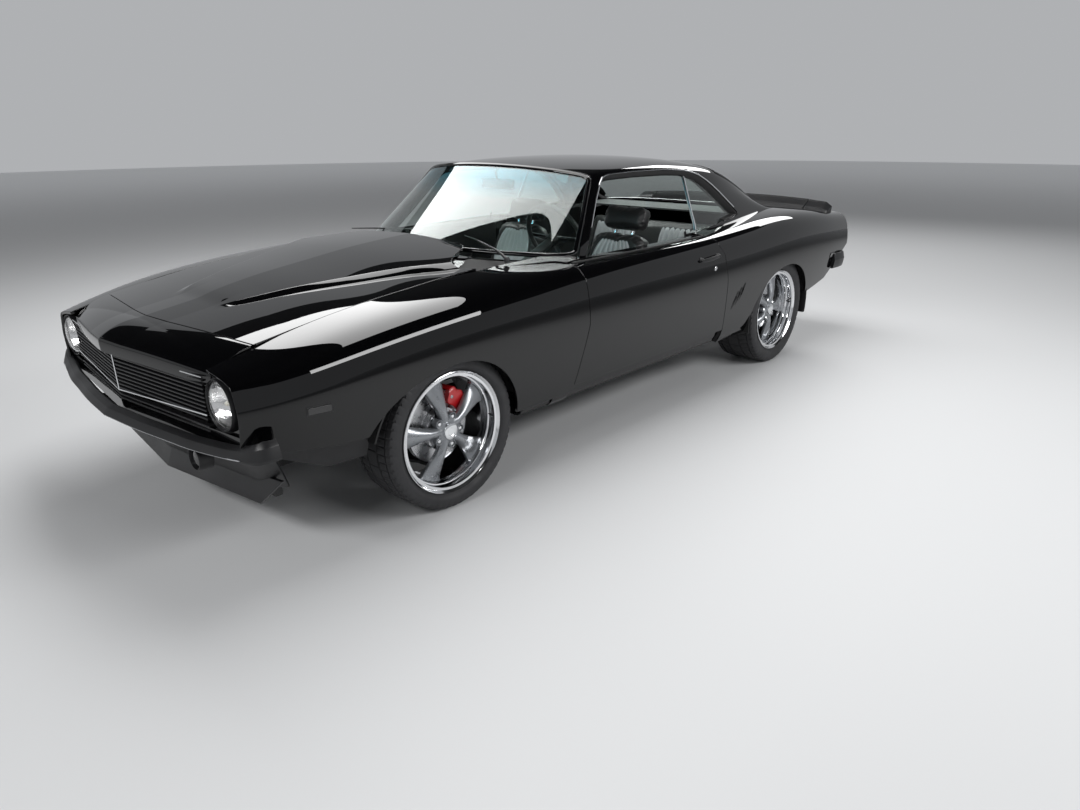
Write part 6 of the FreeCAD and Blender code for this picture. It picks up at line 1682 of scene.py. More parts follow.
WHEELS = [("front_left", 1, 0.765, 0.0, 0.3225, 0.235, 0.042),
          ("front_right", -1, 0.765, 0.0, 0.3225, 0.235, 0.042),
          ("rear_left", 1, 0.749, BASE, 0.3385, 0.275, 0.060),
          ("rear_right", -1, 0.749, BASE, 0.3385, 0.275, 0.060)]
FIRST_SPOKE = {"front": math.radians(13), "rear": math.radians(52)}
for word, side, track, y, z, width, inset in WHEELS:
    seat = (side, track, y, z)
    face = width / 2 - inset + 0.004
    body = f"wheel_{word}"
    start = FIRST_SPOKE[word.split("_")[0]]
    spokes = repeated(spoke_part(face), silver_enamel, Count=SPOKES, First_Angle=start,
                      Angle_Step=SPOKE_TURN, Follow=1.0)
    plate, cap = hub_parts(face)
    collars, nuts = lug_parts(face)

    def spun(part):
        c, s = math.cos(start), math.sin(start)
        return part[0] @ np.array([[1, 0, 0], [0, c, -s], [0, s, c]]).T, part[1]

    piece(f"rim_lip_{word}", [set_wheel(rim_parts(width, inset), *seat)], body, polished,
          replaces=[f"rim_{word}"], angle=38)
    piece(f"rim_spokes_{word}", [set_wheel(p, *seat) for p in (spokes, plate, spun(collars))],
          body, silver_enamel, angle=40)
    piece(f"hub_cap_{word}", [set_wheel(p, *seat) for p in (cap, spun(nuts))], body, chrome,
          angle=30)
    stem = tube(np.array([(face + 0.012, 0.205, 0.02), (face + 0.040, 0.200, 0.02)]), 0.0035,
                (0, 0, 1), 10)
    piece(f"valve_{word}", [set_wheel(stem, *seat)], body, dull_plastic)
    piece(f"tyre_body_{word}", [set_wheel(tyre_part(z, width), *seat)], body, rubber,
          replaces=[f"tyre_{word}"], angle=28)
    piece(f"disc_{word}", [set_wheel(disc_parts(width, inset), *seat)], body, turned_steel,
          replaces=[f"brake_disc_{word}"], angle=25)

# %% [markdown]
# A caliper is an arched iron block that straddles the disc, here in red enamel. Its section is
# lofted along an arc about the hub, with thinner ends and a window's dip between.

# %% Front calipers
def caliper(radius_in, radius_out, low, high, middle, half):
    """A caliper: an arched block about the hub, over the disc's edge."""
    rows = []
    for t in np.linspace(0, 1, 30):
        angle = middle + half * (2 * t - 1)
        end = 1 - abs(2 * t - 1) ** 8
        inner = radius_in + 0.012 * (1 - end)
        outer = radius_out - 0.014 * (1 - end) - 0.004 * math.cos(6 * math.pi * t) * end
        section = rounded([(low, 0.1535), (low, outer - 0.004), (high - 0.006, outer),
                           (high, outer - 0.012), (high + 0.001 * end, inner),
                           (high - 0.024, inner), (high - 0.024, 0.1535)], 0.004, 3)
        rows.append([(x, r * math.sin(angle), r * math.cos(angle)) for x, r in section])
    return loft(rows)


CALIPER_MIDDLE, CALIPER_HALF, BOLT_SHARE = math.radians(42), math.radians(23), 0.66
arched = caliper(0.100, 0.172, 0.716, 0.7965, CALIPER_MIDDLE, CALIPER_HALF)
bolt = lathe([(0.790, 0.0), (0.790, 0.0085), (0.7975, 0.0080), (0.7990, 0.005), (0.7990, 0.0)], 6)
bolts = repeated(bolt, turned_steel, Count=2, Radius=0.132,
                 First_Angle=CALIPER_MIDDLE - BOLT_SHARE * CALIPER_HALF,
                 Angle_Step=2 * BOLT_SHARE * CALIPER_HALF)
for word, side in (("left", 1), ("right", -1)):
    shift = (1, 0, 0.0, 0.3225)
    parts = [set_wheel(arched, *shift)]
    fixings = [set_wheel(bolts, *shift)]
    if side < 0:
        parts, fixings = [flip(p) for p in parts], [flip(p) for p in fixings]
    piece(f"caliper_{word}", parts, f"knuckle_{word}", red_enamel,
          replaces=[f"front_caliper_{word}"], bevel=0.0015, angle=40)
    piece(f"caliper_bolts_{word}", fixings, f"knuckle_{word}", turned_steel)

# %% [markdown]
# Behind each door's outer skin lies its inner case, with a trim panel, an arm rest and the
# rubber strip at the window's slot. The case is lofted from an inner profile to the back of the
# skin, so that an opened door shows a closed, finished edge.

# %% Door cases and their trim
DOOR_CASE = [(0.745, 0.884), (0.722, 0.880), (0.712, 0.86), (0.713, 0.72), (0.716, 0.60),
             (0.722, 0.48), (0.735, 0.40), (0.780, 0.352)]


def door_rear_y(z):
    return np.interp(z, [p[1] for p in door_rear], [p[0] for p in door_rear])


SLANT, WIDEST, INNER_WALL = 0.17, 0.925, 0.700


def case_rows(profile, front, rear, count, behind=0.013, slant=SLANT, high=0.860):
    """Closed sections between an inner profile and the back of the skin."""
    outer_z = np.linspace(0.350, high, 14)
    rows = []
    for t in np.linspace(0, 1, count):
        y = front + (rear(outer_z) - front) * t
        outer = [(x - behind, z) for x, z in zip(side_x(y, outer_z), outer_z)]
        section = list(profile) + outer
        rows.append([(x, front + (float(rear(z)) - slant * (WIDEST - x) - 0.006 - front) * t
                      + AXLE, z) for x, z in section])
    return rows


door_case = loft(case_rows(DOOR_CASE, 0.7865, door_rear_y, 22))
TRIM_PANEL = [(0.7135, 0.862), (0.7085, 0.852), (0.7085, 0.72), (0.7115, 0.60), (0.7175, 0.48),
              (0.729, 0.408), (0.736, 0.402)]


def trim_panel():
    """The vinyl panel on the door's inner side, with pressed lines."""
    rows = []
    for t in np.linspace(0, 1, 60):
        y = 0.80 + (1.80 - 0.80) * t
        fade = min(1, min(t, 1 - t) / 0.02)
        rows.append([(x + 0.004 * (1 - fade), y + AXLE, z) for x, z in TRIM_PANEL]
                    + [(x + 0.006, y + AXLE, z) for x, z in TRIM_PANEL[::-1]])
    return loft(rows)


def arm_rest():
    rows = []
    for t in np.linspace(0, 1, 24):
        y = 1.16 + 0.42 * t
        size = 1 - abs(2 * t - 1) ** 6
        section = rounded([(0.712, 0.655), (0.712, 0.72), (0.712 - 0.052 * size, 0.715),
                           (0.712 - 0.046 * size, 0.672)], 0.014, 5)
        rows.append([(x, y + AXLE, z) for x, z in section])
    return loft(rows)


def belt_strip():
    """The rubber lip that closes the window's slot along the door's top."""
    y = np.linspace(0.800, 1.875, 50)
    line = side_sheet.points(np.c_[[at_y(v) for v in y], np.full(len(y), 0.936)])
    section = rounded([(-0.006, -0.010), (0.010, -0.010), (0.008, 0.0045), (-0.004, 0.0045)],
                      0.003, 3)
    return sweep(line, section, (0, 0, 1))

# %% [markdown]
# Pulls, levers and cranks are bent chrome rod, and the lock knobs are turned plastic. Tubes
# along smooth paths and turned profiles make them, as the real ones are made from rod.

# %% Door fittings
pull = smooth_path(axle([(0.712, 1.24, 0.75), (0.676, 1.262, 0.752), (0.672, 1.34, 0.752),
                         (0.676, 1.418, 0.752), (0.712, 1.44, 0.75)]), 26)
lever = smooth_path(axle([(0.712, 1.02, 0.775), (0.690, 1.02, 0.775), (0.684, 1.05, 0.775),
                          (0.682, 1.11, 0.772)]), 16)
crank = smooth_path(axle([(0.712, 1.05, 0.60), (0.686, 1.05, 0.60), (0.682, 1.08, 0.585),
                          (0.680, 1.15, 0.560)]), 16)
knob = lathe([(-0.012, 0.0), (-0.012, 0.010), (0.0, 0.012), (0.008, 0.010), (0.008, 0.0)], 24,
             tuple(axle([(0.668, 1.15, 0.560)])[0]))
lock_knob = [(0.0, 0.0045), (0.018, 0.0045), (0.024, 0.006), (0.032, 0.006), (0.035, 0.003),
             (0.036, 0.0), (0.0, 0.0)]
lock = lathe(lock_knob, 20, tuple(axle([(0.755, 1.80, 0.884)])[0]), 2)
handle_y, handle_z = (1.700, 1.917), 0.792


def outer_handle():
    """The door's outer handle: a curved paddle on two feet, with its key lock below."""
    y = np.linspace(handle_y[0], handle_y[1] - 0.03, 22)
    x = side_x(y, np.full(22, handle_z))
    lift = 0.022 * np.sin(np.linspace(0.25, math.pi - 0.15, 22)) ** 0.5
    path = np.c_[x + lift, y + AXLE, np.full(22, handle_z) + 0.004 * np.linspace(-1, 1, 22)]
    section = rounded([(-0.0045, -0.010), (0.0045, -0.010), (0.0045, 0.010), (-0.0045, 0.010)],
                      0.004, 3)
    size = np.clip(np.sin(np.linspace(0.35, math.pi - 0.35, 22)) * 1.6, 0.5, 1)
    bar = sweep(path, section, (0, 0, 1), sizes=np.c_[np.ones(22), size])
    feet = []
    for place, grow in ((handle_y[0] + 0.012, 0.014), (handle_y[1] - 0.042, 0.017)):
        at = float(side_x([place], [handle_z])[0])
        feet.append(lathe([(-0.006, 0.0), (-0.006, grow), (0.006, grow * 0.9), (0.018, grow * 0.45),
                           (0.020, 0.0)], 28, (at, place + AXLE, handle_z)))
    at = float(side_x([1.848], [0.73])[0])
    key = lathe([(-0.005, 0.0), (-0.005, 0.0125), (0.0035, 0.0120), (0.0045, 0.0105),
                 (0.0030, 0.0095), (0.0034, 0.0)], 32, (at, 1.848 + AXLE, 0.73))
    return [bar] + feet, [key]

# %% [markdown]
# Both doors get the same forms. The right door's are mirrored, and all of them move with
# their door.

# %% The doors, left and right
handle_parts, key_parts = outer_handle()
for word, way in (("left", None), ("right", flip)):
    body = f"door_{word}"

    def here(*parts):
        return [p if way is None else way(p) for p in parts]

    piece(f"door_case_{word}", here(door_case), body, black_enamel,
          replaces=[body], bevel=0.003)
    piece(f"door_trim_{word}", here(trim_panel()), body, black_vinyl, bevel=0.001)
    piece(f"arm_rest_{word}", here(arm_rest()), body, black_leather, angle=60)
    piece(f"door_fittings_{word}", here(tube(pull, 0.007, (0, 0, 1)), tube(lever, 0.006, (0, 0, 1)),
                                        tube(crank, 0.006, (0, 0, 1)), knob), body, chrome)
    piece(f"lock_knob_{word}", here(lock), body, dull_plastic)
    piece(f"belt_strip_{word}", here(belt_strip()), body, seal_rubber)
    piece(f"outer_handle_{word}", here(*handle_parts), body, satin_black, angle=40)
    piece(f"key_lock_{word}", here(*key_parts), body, polished)

# %% [markdown]
# An open door shows the jamb behind it, the padded wall beside the rear seat and the ledge
# under the glass; the open trunk shows the wheel housings. All are lofts between rows.

# %% Jambs, rear walls and wheel housings
jamb_z = np.concatenate([np.linspace(0.268, 0.633, 10), np.linspace(0.66, 0.885, 8)])
jamb_rear = door_rear_y(np.clip(jamb_z, 0.345, 0.842)) + GAP


def jamb_sheet():
    outer = side_x(jamb_rear + 0.006, np.clip(jamb_z, 0.268, 0.842)) - 0.006
    outer = np.where(jamb_z > 0.845, np.interp(jamb_z, [0.842, 0.885], [outer[-5], 0.83]), outer)
    rows = []
    for deep in (0.0, 0.006):
        line = [(x, y - SLANT * (WIDEST - x) + 0.004 + deep + AXLE, z)
                for x, y, z in zip(outer, jamb_rear, jamb_z)]
        back = [(INNER_WALL, y - SLANT * (WIDEST - INNER_WALL) + 0.004 + deep + AXLE, z)
                for y, z in zip(jamb_rear[::-1], jamb_z[::-1])]
        rows.append(line + back)
    return loft(rows)


def quarter_trim():
    """The padded wall beside the rear seat, up to the window."""
    rows = []
    for t in np.linspace(0, 1, 24):
        z = 0.27 + 0.622 * t
        y0 = float(np.interp(z, jamb_z, jamb_rear)) - 0.034
        rows.append([(0.700, y0 + AXLE, z), (0.700, 2.66 + AXLE, z), (0.708, 2.66 + AXLE, z),
                     (0.708, y0 + AXLE, z)])
    return loft(rows)


def belt_shelf():
    """The ledge between the quarter's glass and its skin, down to the inner wall."""
    y = np.linspace(1.93, 2.60, 24)
    top = side_sheet.points(np.c_[[at_y(v) for v in y], np.full(24, 1.0)])
    rows = [[(p[0] + 0.02, p[1], p[2] - 0.012), (0.700, p[1], p[2] - 0.012),
             (0.700, p[1], p[2] - 0.030), (p[0] + 0.02, p[1], p[2] - 0.030)] for p in top]
    return loft(rows)


def housing():
    """The rear wheel housing: an arched sheet with its inner wall."""
    angles = np.linspace(math.radians(-22), math.radians(200), 72)
    rows, wall = [], []
    for a in angles:
        c, s = math.cos(a), math.sin(a)
        rows.append([(x, BASE + r * c + AXLE, max(0.3385 + r * s, 0.262))
                     for x, r in ((0.560, 0.3895), (0.895, 0.3895), (0.895, 0.3955),
                                  (0.560, 0.3955))])
        wall.append([(x, BASE + r * c + AXLE, max(0.3385 + r * s, 0.40))
                     for x, r in ((0.556, 0.3945), (0.562, 0.3945), (0.562, 0.12), (0.556, 0.12))])
    return [loft(rows), loft(wall)]


piece("door_jambs", both(jamb_sheet()), "root", black_enamel,
      replaces=["quarter_left", "quarter_right"], bevel=0.001)
piece("quarter_trims", both(quarter_trim()), "root", black_vinyl, bevel=0.002)
piece("belt_shelves", both(belt_shelf()), "root", satin_black)
piece("wheel_housings", both(*housing()), "root", dull_plastic)

# %% [markdown]
# A satin strip runs below each door, and small gills stand ahead of each rear wheel. Each gill
# follows the curved side, so every one is drawn at its own place.

# %% Rocker strips and the gills ahead of the rear wheels
strip_y = np.linspace(0.41, 1.985, 60)
strip_x = side_x(strip_y, np.full(60, 0.352)) - 0.020
rows = []
for y, x in zip(strip_y, strip_x):
    rows.append([(x, y + AXLE, 0.360), (x - 0.004, y + AXLE, 0.334), (x - 0.030, y + AXLE, 0.274),
                 (x - 0.070, y + AXLE, 0.262), (x - 0.070, y + AXLE, 0.268),
                 (x - 0.034, y + AXLE, 0.280), (x - 0.012, y + AXLE, 0.336),
                 (x - 0.010, y + AXLE, 0.360)])
piece("rocker_strips", both(loft(rows)), "root", satin_black)


def gill(middle_y, middle_z, length=0.115):
    """One slanted gill: a thin raised blade with a shadowed back."""
    way = unit(np.array([0.42, 0.91]))
    across = np.array([way[1], -way[0]])
    path = []
    for t in np.linspace(-0.5, 0.5, 17):
        y, z = np.array([middle_y, middle_z]) + way * t * length
        path.append((y, z))
    path = np.array(path)
    fade = 1 - abs(np.linspace(-1, 1, 17)) ** 4
    rows = []
    for (y, z), f in zip(path, fade):
        ring = []
        for a, b in ((-0.010, -0.002), (0.006, 0.0065 * f), (0.009, 0.006 * f), (0.010, -0.004),
                     (-0.010, -0.004)):
            yy, zz = y + across[0] * a, z + across[1] * a
            ring.append((yy, zz, b))
        xs = side_x([r[0] for r in ring], [r[1] for r in ring])
        rows.append([(x + r[2], r[0] + AXLE, r[1]) for x, r in zip(xs, ring)])
    return loft(rows)


gills = [gill(2.106 + 0.034 * k, 0.513 + 0.020 * k) for k in range(3)]
piece("quarter_gills", both(*gills), "root", black_enamel, angle=35)

# %% [markdown]
# The cabin: black bucket seats and a rear bench with light grey, channelled inserts. Each
# cushion is a plain form that a cloth run puffs up; the inserts are laid on it afterwards,
# with a ridge for every sewn channel.

# %% Puffed forms



def raw(name, parts):
    """An object from closed forms, without a finish yet."""
    import bmesh
    work = bmesh.new()
    for points, faces in parts:
        corners = [work.verts.new(p) for p in points]
        for face in faces:
            work.faces.new([corners[i] for i in face])
    bmesh.ops.remove_doubles(work, verts=work.verts, dist=1e-6)
    bmesh.ops.recalc_face_normals(work, faces=work.faces)
    mesh = bpy.data.meshes.new(name)
    work.to_mesh(mesh)
    work.free()
    thing = bpy.data.objects.new(name, mesh)
    bpy.context.scene.collection.objects.link(thing)
    return thing


def settle(thing):
    """The mesh with its modifiers taken in."""
    bpy.context.view_layer.update()
    seen = thing.evaluated_get(bpy.context.evaluated_depsgraph_get())
    mesh = bpy.data.meshes.new_from_object(seen)
    thing.modifiers.clear()
    thing.data = mesh


def puff(name, parts, voxel=0.008, cap=0.022, pressure=4.0):
    """A cushion: remeshed, blown up by a short cloth run, and held to a cap on the movement."""
    thing = raw(name, parts)
    grid = thing.modifiers.new("grid", "REMESH")
    grid.mode, grid.voxel_size = "VOXEL", voxel
    settle(thing)
    start = np.empty(len(thing.data.vertices) * 3)
    thing.data.vertices.foreach_get("co", start)
    cloth = thing.modifiers.new("cloth", "CLOTH")
    cloth.settings.use_pressure = True
    cloth.settings.uniform_pressure_force = pressure
    cloth.settings.effector_weights.gravity = 0.0
    cloth.settings.quality = 3
    cloth.settings.tension_stiffness = cloth.settings.compression_stiffness = 12
    cloth.point_cache.frame_end = 20
    for step in range(1, 21):
        bpy.context.scene.frame_set(step)
    settle(thing)
    bpy.context.scene.frame_set(1)
    end = np.empty(len(start))
    thing.data.vertices.foreach_get("co", end)
    move = (end - start).reshape(-1, 3)
    length = np.linalg.norm(move, axis=1, keepdims=True)
    move *= np.minimum(1, cap / np.maximum(length, 1e-9))
    thing.data.vertices.foreach_set("co", (start.reshape(-1, 3) + move).ravel())
    thing.data.update()
    thing.data.polygons.foreach_set("use_smooth", [True] * len(thing.data.polygons))
    return thing


def copy_moved(thing, name, shift):
    other = bpy.data.objects.new(name, thing.data.copy())
    points = np.empty(len(other.data.vertices) * 3)
    other.data.vertices.foreach_get("co", points)
    other.data.vertices.foreach_set("co", (points.reshape(-1, 3) + shift).ravel())
    bpy.context.scene.collection.objects.link(other)
    return other

# %% [markdown]
# Channelled cloth is sewn in ribs across the seat. Rays find the cushion below each point, and
# the insert lies on it with a ridge for every channel; a displaced texture would slide.

# %% Channelled inserts
def insert(thing, corner, across, along, toward, ridges, lift=0.007, rows=44, sink=0.004,
           round_top=0.0):
    """A channelled panel laid on a cushion: a grid cast onto it and raised along its ridges."""
    mesh = thing.data
    tree = BVHTree.FromPolygons([v.co for v in mesh.vertices], [p.vertices for p in mesh.polygons])
    columns = ridges * 10 + 1
    toward = unit(np.array(toward, float))
    points = np.zeros((rows, columns, 3))
    for i, b in enumerate(np.linspace(0, 1, rows)):
        narrow = 1 - round_top * max(0.0, (b - 0.55) / 0.45) ** 3
        for j, a in enumerate(np.linspace(0, 1, columns)):
            place = (np.array(corner, float) + np.array(across, float) * (0.5 + (a - 0.5) * narrow)
                     + np.array(along, float) * b)
            hit = tree.ray_cast(Vector(place - toward * 0.3), Vector(toward))
            points[i, j] = hit[0] if hit[0] is not None else place
    deep = points @ toward
    for _ in range(10):
        inner = deep.copy()
        inner[1:-1, 1:-1] = (deep[:-2, 1:-1] + deep[2:, 1:-1] + deep[1:-1, :-2]
                             + deep[1:-1, 2:]) / 4
        deep = inner
    share = np.linspace(0, 1, columns)[None]
    edge = np.minimum(np.minimum(share, 1 - share) * ridges * 1.6,
                      np.minimum(np.linspace(0, 1, rows), 1 - np.linspace(0, 1, rows))[:, None]
                      * rows / 3)
    ridge = abs(np.sin(share * ridges * math.pi)) ** 0.7
    rise = np.minimum(edge, 1) * (0.35 + 0.65 * ridge) * lift - (1 - np.minimum(edge, 1)) * sink
    shift = (deep - points @ toward - rise)[..., None] * toward
    points = points + shift
    down, side = np.gradient(points, axis=0), np.gradient(points, axis=1)
    normals = unit(np.cross(side, down))
    if (normals[rows // 2, columns // 2] @ toward) > 0:
        normals = -normals
    return grid_panel(points, normals, wall=0.008, lip=0.001)

# %% [markdown]
# A bucket seat is a cushion, a leaned back and a head rest on two posts. The left one is made
# and puffed, and the right one is a moved copy.

# %% Front seats
SEAT_X, LEAN = 0.385, math.radians(20)


def local(points, angle=LEAN, foot=(0.0, 1.505, 0.375)):
    """Points of the seat back, given as across, depth and height, leaned and set on its foot."""
    points = np.array(points, float)
    c, s = math.cos(angle), math.sin(angle)
    made = np.stack([points[:, 0], points[:, 1] * c + points[:, 2] * s,
                     -points[:, 1] * s + points[:, 2] * c], 1)
    return axle(made + np.array(foot))


def leaned(outline, front, rear, x=SEAT_X):
    """A slab of the seat back between two depths, from an outline of across and height."""
    rows = [local([(x + a, depth, b) for a, b in outline]) for depth in (front, rear)]
    return loft(rows)


cushion_side = rounded([(-0.215, 1.145), (0.215, 1.145), (0.222, 1.590), (-0.222, 1.590)], 0.05, 6)
base = prism(axle([(SEAT_X + x, y, 0.285) for x, y in cushion_side]), (0, 0, 1), 0.145)
back_outline = rounded([(-0.205, 0.02), (0.205, 0.02), (0.215, 0.32), (0.180, 0.565),
                        (-0.180, 0.565), (-0.215, 0.32)], 0.10, 7)
head_outline = rounded([(-0.135, 0.580), (0.135, 0.580), (0.140, 0.708), (-0.140, 0.708)], 0.045, 6)
seat_base = puff("seat_cushion_left", [base], cap=0.022)
seat_back = puff("seat_back_left", [leaned(back_outline, 0.005, 0.105)], cap=0.024)
seat_head = puff("head_rest_left", [leaned(head_outline, 0.015, 0.080)], cap=0.018)
MIRROR = (-2 * SEAT_X, 0, 0)
base_insert = insert(seat_base, axle([(SEAT_X - 0.150, 1.15, 0.45)])[0], (0.300, 0, 0),
                     (0, 0.40, 0), (0, 0, -1), 8)
front_way = np.array([0, math.cos(LEAN), -math.sin(LEAN)])
back_corner = local([(SEAT_X - 0.145, 0.0, 0.10)])[0]
back_along = local([(SEAT_X - 0.145, 0.0, 0.520)])[0] - back_corner
back_insert = insert(seat_back, back_corner, (0.290, 0, 0), back_along, front_way, 8,
                     round_top=0.45)
for word, shift in (("left", None), ("right", MIRROR)):
    for thing in (seat_base, seat_back, seat_head):
        if shift is not None:
            thing = copy_moved(thing, thing.name.replace("left", "right"), shift)
        first = thing.name.startswith("seat_back_left")
        finish_piece(thing, "root", black_leather,
                     ["front_seats"] if first else ())
    parts = [(p + (np.array(shift) if shift is not None else 0), f, n)
             for p, f, n in (base_insert, back_insert)]
    panel_piece(f"seat_inserts_{word}", parts, "root", grey_leather)
    x = SEAT_X if shift is None else -SEAT_X
    posts = [tube(local([(x + a, 0.05, 0.54), (x + a, 0.05, 0.62)]), 0.007, (1, 0, 0))
             for a in (-0.06, 0.06)]
    rails = [block((x + a - 0.015, 1.17, 0.255), (x + a + 0.015, 1.58, 0.285), 0.004)
             for a in (-0.16, 0.16)]
    piece(f"seat_metal_{word}", posts + rails, "root", chrome)

# %% [markdown]
# The rear bench is one long cushion with a back that leans against the body, and has two grey
# inserts in each.

# %% Rear bench
bench_plan = rounded([(-0.520, 1.955), (0.520, 1.955), (0.520, 2.42), (-0.520, 2.42)], 0.05, 6)
bench_base = puff("rear_cushion", [prism(axle([(x, y, 0.33) for x, y in bench_plan]), (0, 0, 1),
                                         0.105)], voxel=0.008, cap=0.022)
BENCH_LEAN, BENCH_FOOT = math.radians(21), (0.0, 2.43, 0.44)
bench_outline = rounded([(-0.52, 0.0), (0.52, 0.0), (0.52, 0.47), (-0.52, 0.47)], 0.06, 6)
bench_rows = [local([(a, depth, b) for a, b in bench_outline], BENCH_LEAN, BENCH_FOOT)
              for depth in (0.0, 0.085)]
bench_back = puff("rear_back", [loft(bench_rows)], voxel=0.011, cap=0.024)
parts = []
bench_way = np.array([0, math.cos(BENCH_LEAN), -math.sin(BENCH_LEAN)])
for x in (-0.45, 0.09):
    parts.append(insert(bench_base, axle([(x, 1.975, 0.45)])[0], (0.36, 0, 0), (0, 0.40, 0),
                        (0, 0, -1), 9, rows=30))
    corner = local([(x, 0.0, 0.05)], BENCH_LEAN, BENCH_FOOT)[0]
    along = local([(x, 0.0, 0.43)], BENCH_LEAN, BENCH_FOOT)[0] - corner
    parts.append(insert(bench_back, corner, (0.36, 0, 0), along, bench_way, 9, rows=30))
for thing in (bench_base, bench_back):
    finish_piece(thing, "root", black_leather,
                 ["rear_seat"] if thing is bench_back else ())
panel_piece("bench_inserts", parts, "root", grey_leather)

# %% [markdown]
# The dashboard is a padded loft across the cabin, with round dials set in a panel before the
# driver, a glove box and a row of knobs.

# %% Dashboard
DASH = [(0.655, 0.640), (0.640, 0.760), (0.660, 0.815), (0.720, 0.834), (0.800, 0.834),
        (0.872, 0.822), (0.905, 0.800), (0.912, 0.775), (0.890, 0.762), (0.880, 0.700),
        (0.905, 0.665), (0.900, 0.645), (0.840, 0.628)]
dash_section = rounded(DASH, 0.016, 4)
dash_rows = [[(x, y + AXLE, z) for y, z in dash_section] for x in np.linspace(-0.708, 0.708, 5)]
piece("dash_body", [loft(dash_rows)], "root", black_vinyl,
      replaces=["dashboard"], bevel=0.002)


def dial(x, z, radius, y=0.884):
    place = (x, y + AXLE, z)
    ring = lathe([(-0.002, radius), (0.010, radius + 0.002), (0.014, radius),
                  (0.012, radius - 0.005), (0.002, radius - 0.007), (-0.002, radius - 0.007)], 48,
                 place, 1)
    face = lathe([(-0.002, 0.0), (-0.002, radius - 0.006), (0.003, radius - 0.006), (0.003, 0.0)],
                 40, place, 1)
    return ring, face


dials = [dial(x, 0.732, 0.042) for x in (0.315, 0.445)] + [dial(0.380, 0.690, 0.020)]
piece("dial_rings", [d[0] for d in dials], "root", chrome)
piece("dial_faces", [d[1] for d in dials], "root", satin_black)


def upright_plate(y, depth, left, right, low, high, radius, parts):
    """A plate with round corners that stands across the car."""
    corners = rounded([(left, low), (right, low), (right, high), (left, high)], radius, parts)
    return prism(axle([(x, y, z) for x, z in corners]), (0, 1, 0), depth)


cluster = upright_plate(0.872, 0.014, 0.235, 0.525, 0.675, 0.785, 0.03, 6)
glove = upright_plate(0.876, 0.012, -0.56, -0.20, 0.690, 0.765, 0.012, 4)
stack = upright_plate(0.878, 0.012, -0.085, 0.085, 0.660, 0.760, 0.010, 4)
piece("dash_panels", [cluster, glove, stack], "root", satin_black, bevel=0.002)
knobs = [lathe([(0.0, 0.0), (0.0, 0.011), (0.014, 0.010), (0.018, 0.007), (0.018, 0.0)], 24,
               (x, 0.888 + AXLE, z), 1)
         for x, z in ((-0.05, 0.735), (0.05, 0.735), (-0.05, 0.685), (0.0, 0.685), (0.05, 0.685))]
piece("dash_knobs", knobs, "root", polished)

# %% [markdown]
# The console is a loft along the tunnel. The shift lever is bent rod with a turned grip and a
# turned leather boot.

# %% Console and shifter
tunnel_rows = []
for y, half, top in ((0.86, 0.10, 0.60), (0.93, 0.10, 0.52), (1.05, 0.105, 0.465),
                     (1.30, 0.105, 0.455), (1.62, 0.10, 0.45), (1.70, 0.095, 0.42)):
    section = rounded([(-half, 0.255), (half, 0.255), (half * 0.92, top), (-half * 0.92, top)],
                      0.03, 5)
    tunnel_rows.append([(x, y + AXLE, z) for x, z in section])
piece("centre_console", [loft(tunnel_rows)], "root", black_vinyl, bevel=0.002)
stick = tube(smooth_path(axle([(0, 1.10, 0.455), (0, 1.105, 0.53), (0, 1.085, 0.60)]), 12), 0.006,
             (1, 0, 0))
grip = lathe([(-0.03, 0.0), (-0.028, 0.010), (-0.01, 0.017), (0.01, 0.021), (0.024, 0.018),
              (0.031, 0.0)], 32, tuple(axle([(0, 1.080, 0.620)])[0]), 2)
boot = lathe([(0.0, 0.0), (0.0, 0.055), (0.012, 0.045), (0.035, 0.022), (0.06, 0.012),
              (0.065, 0.0)], 32, tuple(axle([(0, 1.10, 0.450)])[0]), 2)
piece("shift_stick", [stick], "root", chrome)
piece("shift_grip", [grip, boot], "root", black_leather)

# %% [markdown]
# The steering wheel is a leather ring swept about its leaning column, with finger grips, three
# flat spokes and a turned hub.

# %% Steering wheel
COLUMN = math.radians(24)
HUB = axle([(0.375, 1.300 - 0.13, 0.735 + 0.185)])[0]
hub_way = np.array([0, math.cos(COLUMN), math.sin(COLUMN)])
hub_up = np.array([0, -math.sin(COLUMN), math.cos(COLUMN)])


def on_wheel(a, b, c=0.0):
    """A place on the steering wheel: across, up its face and towards the driver."""
    return HUB + np.array([1, 0, 0]) * a + hub_up * b + hub_way * c


angles = np.linspace(0, 2 * math.pi, 72, endpoint=False)
rim_path = np.array([on_wheel(0.178 * math.cos(a), 0.178 * math.sin(a)) for a in angles])
grips = 0.0128 + 0.0008 * np.cos(24 * angles)
rim_bar = sweep(rim_path, ring_section(1.0, 14), hub_way, grips, closed=True)
piece("wheel_rim", [rim_bar], "root", black_leather, replaces=["steering_wheel"])
spokes = []
for a in (0.0, math.pi, -math.pi / 2):
    path = np.array([on_wheel(r * math.cos(a), r * math.sin(a), -0.022 * (1 - r / 0.17))
                     for r in np.linspace(0.03, 0.17, 10)])
    width = np.linspace(1.0, 0.72, 10)
    spokes.append(sweep(path, rounded([(-0.018, -0.0025), (0.018, -0.0025), (0.018, 0.0025),
                                       (-0.018, 0.0025)], 0.002, 2), hub_way,
                        np.c_[width, np.ones(10)]))
piece("wheel_spokes", spokes, "root", polished, bevel=0.001)


def on_column(profile):
    """A profile of depths and radii turned about the steering column."""
    return loft([[on_wheel(r * math.cos(a), r * math.sin(a), c) for a in angles[::3]]
                 for c, r in profile])


hub_ring = on_column([(-0.05, 0.030), (-0.022, 0.036), (-0.012, 0.036), (-0.004, 0.030)])
column = on_column([(-0.33, 0.026), (-0.06, 0.024), (-0.045, 0.022)])
piece("wheel_hub", [hub_ring, column], "root", dull_plastic,
      bevel=0.001)

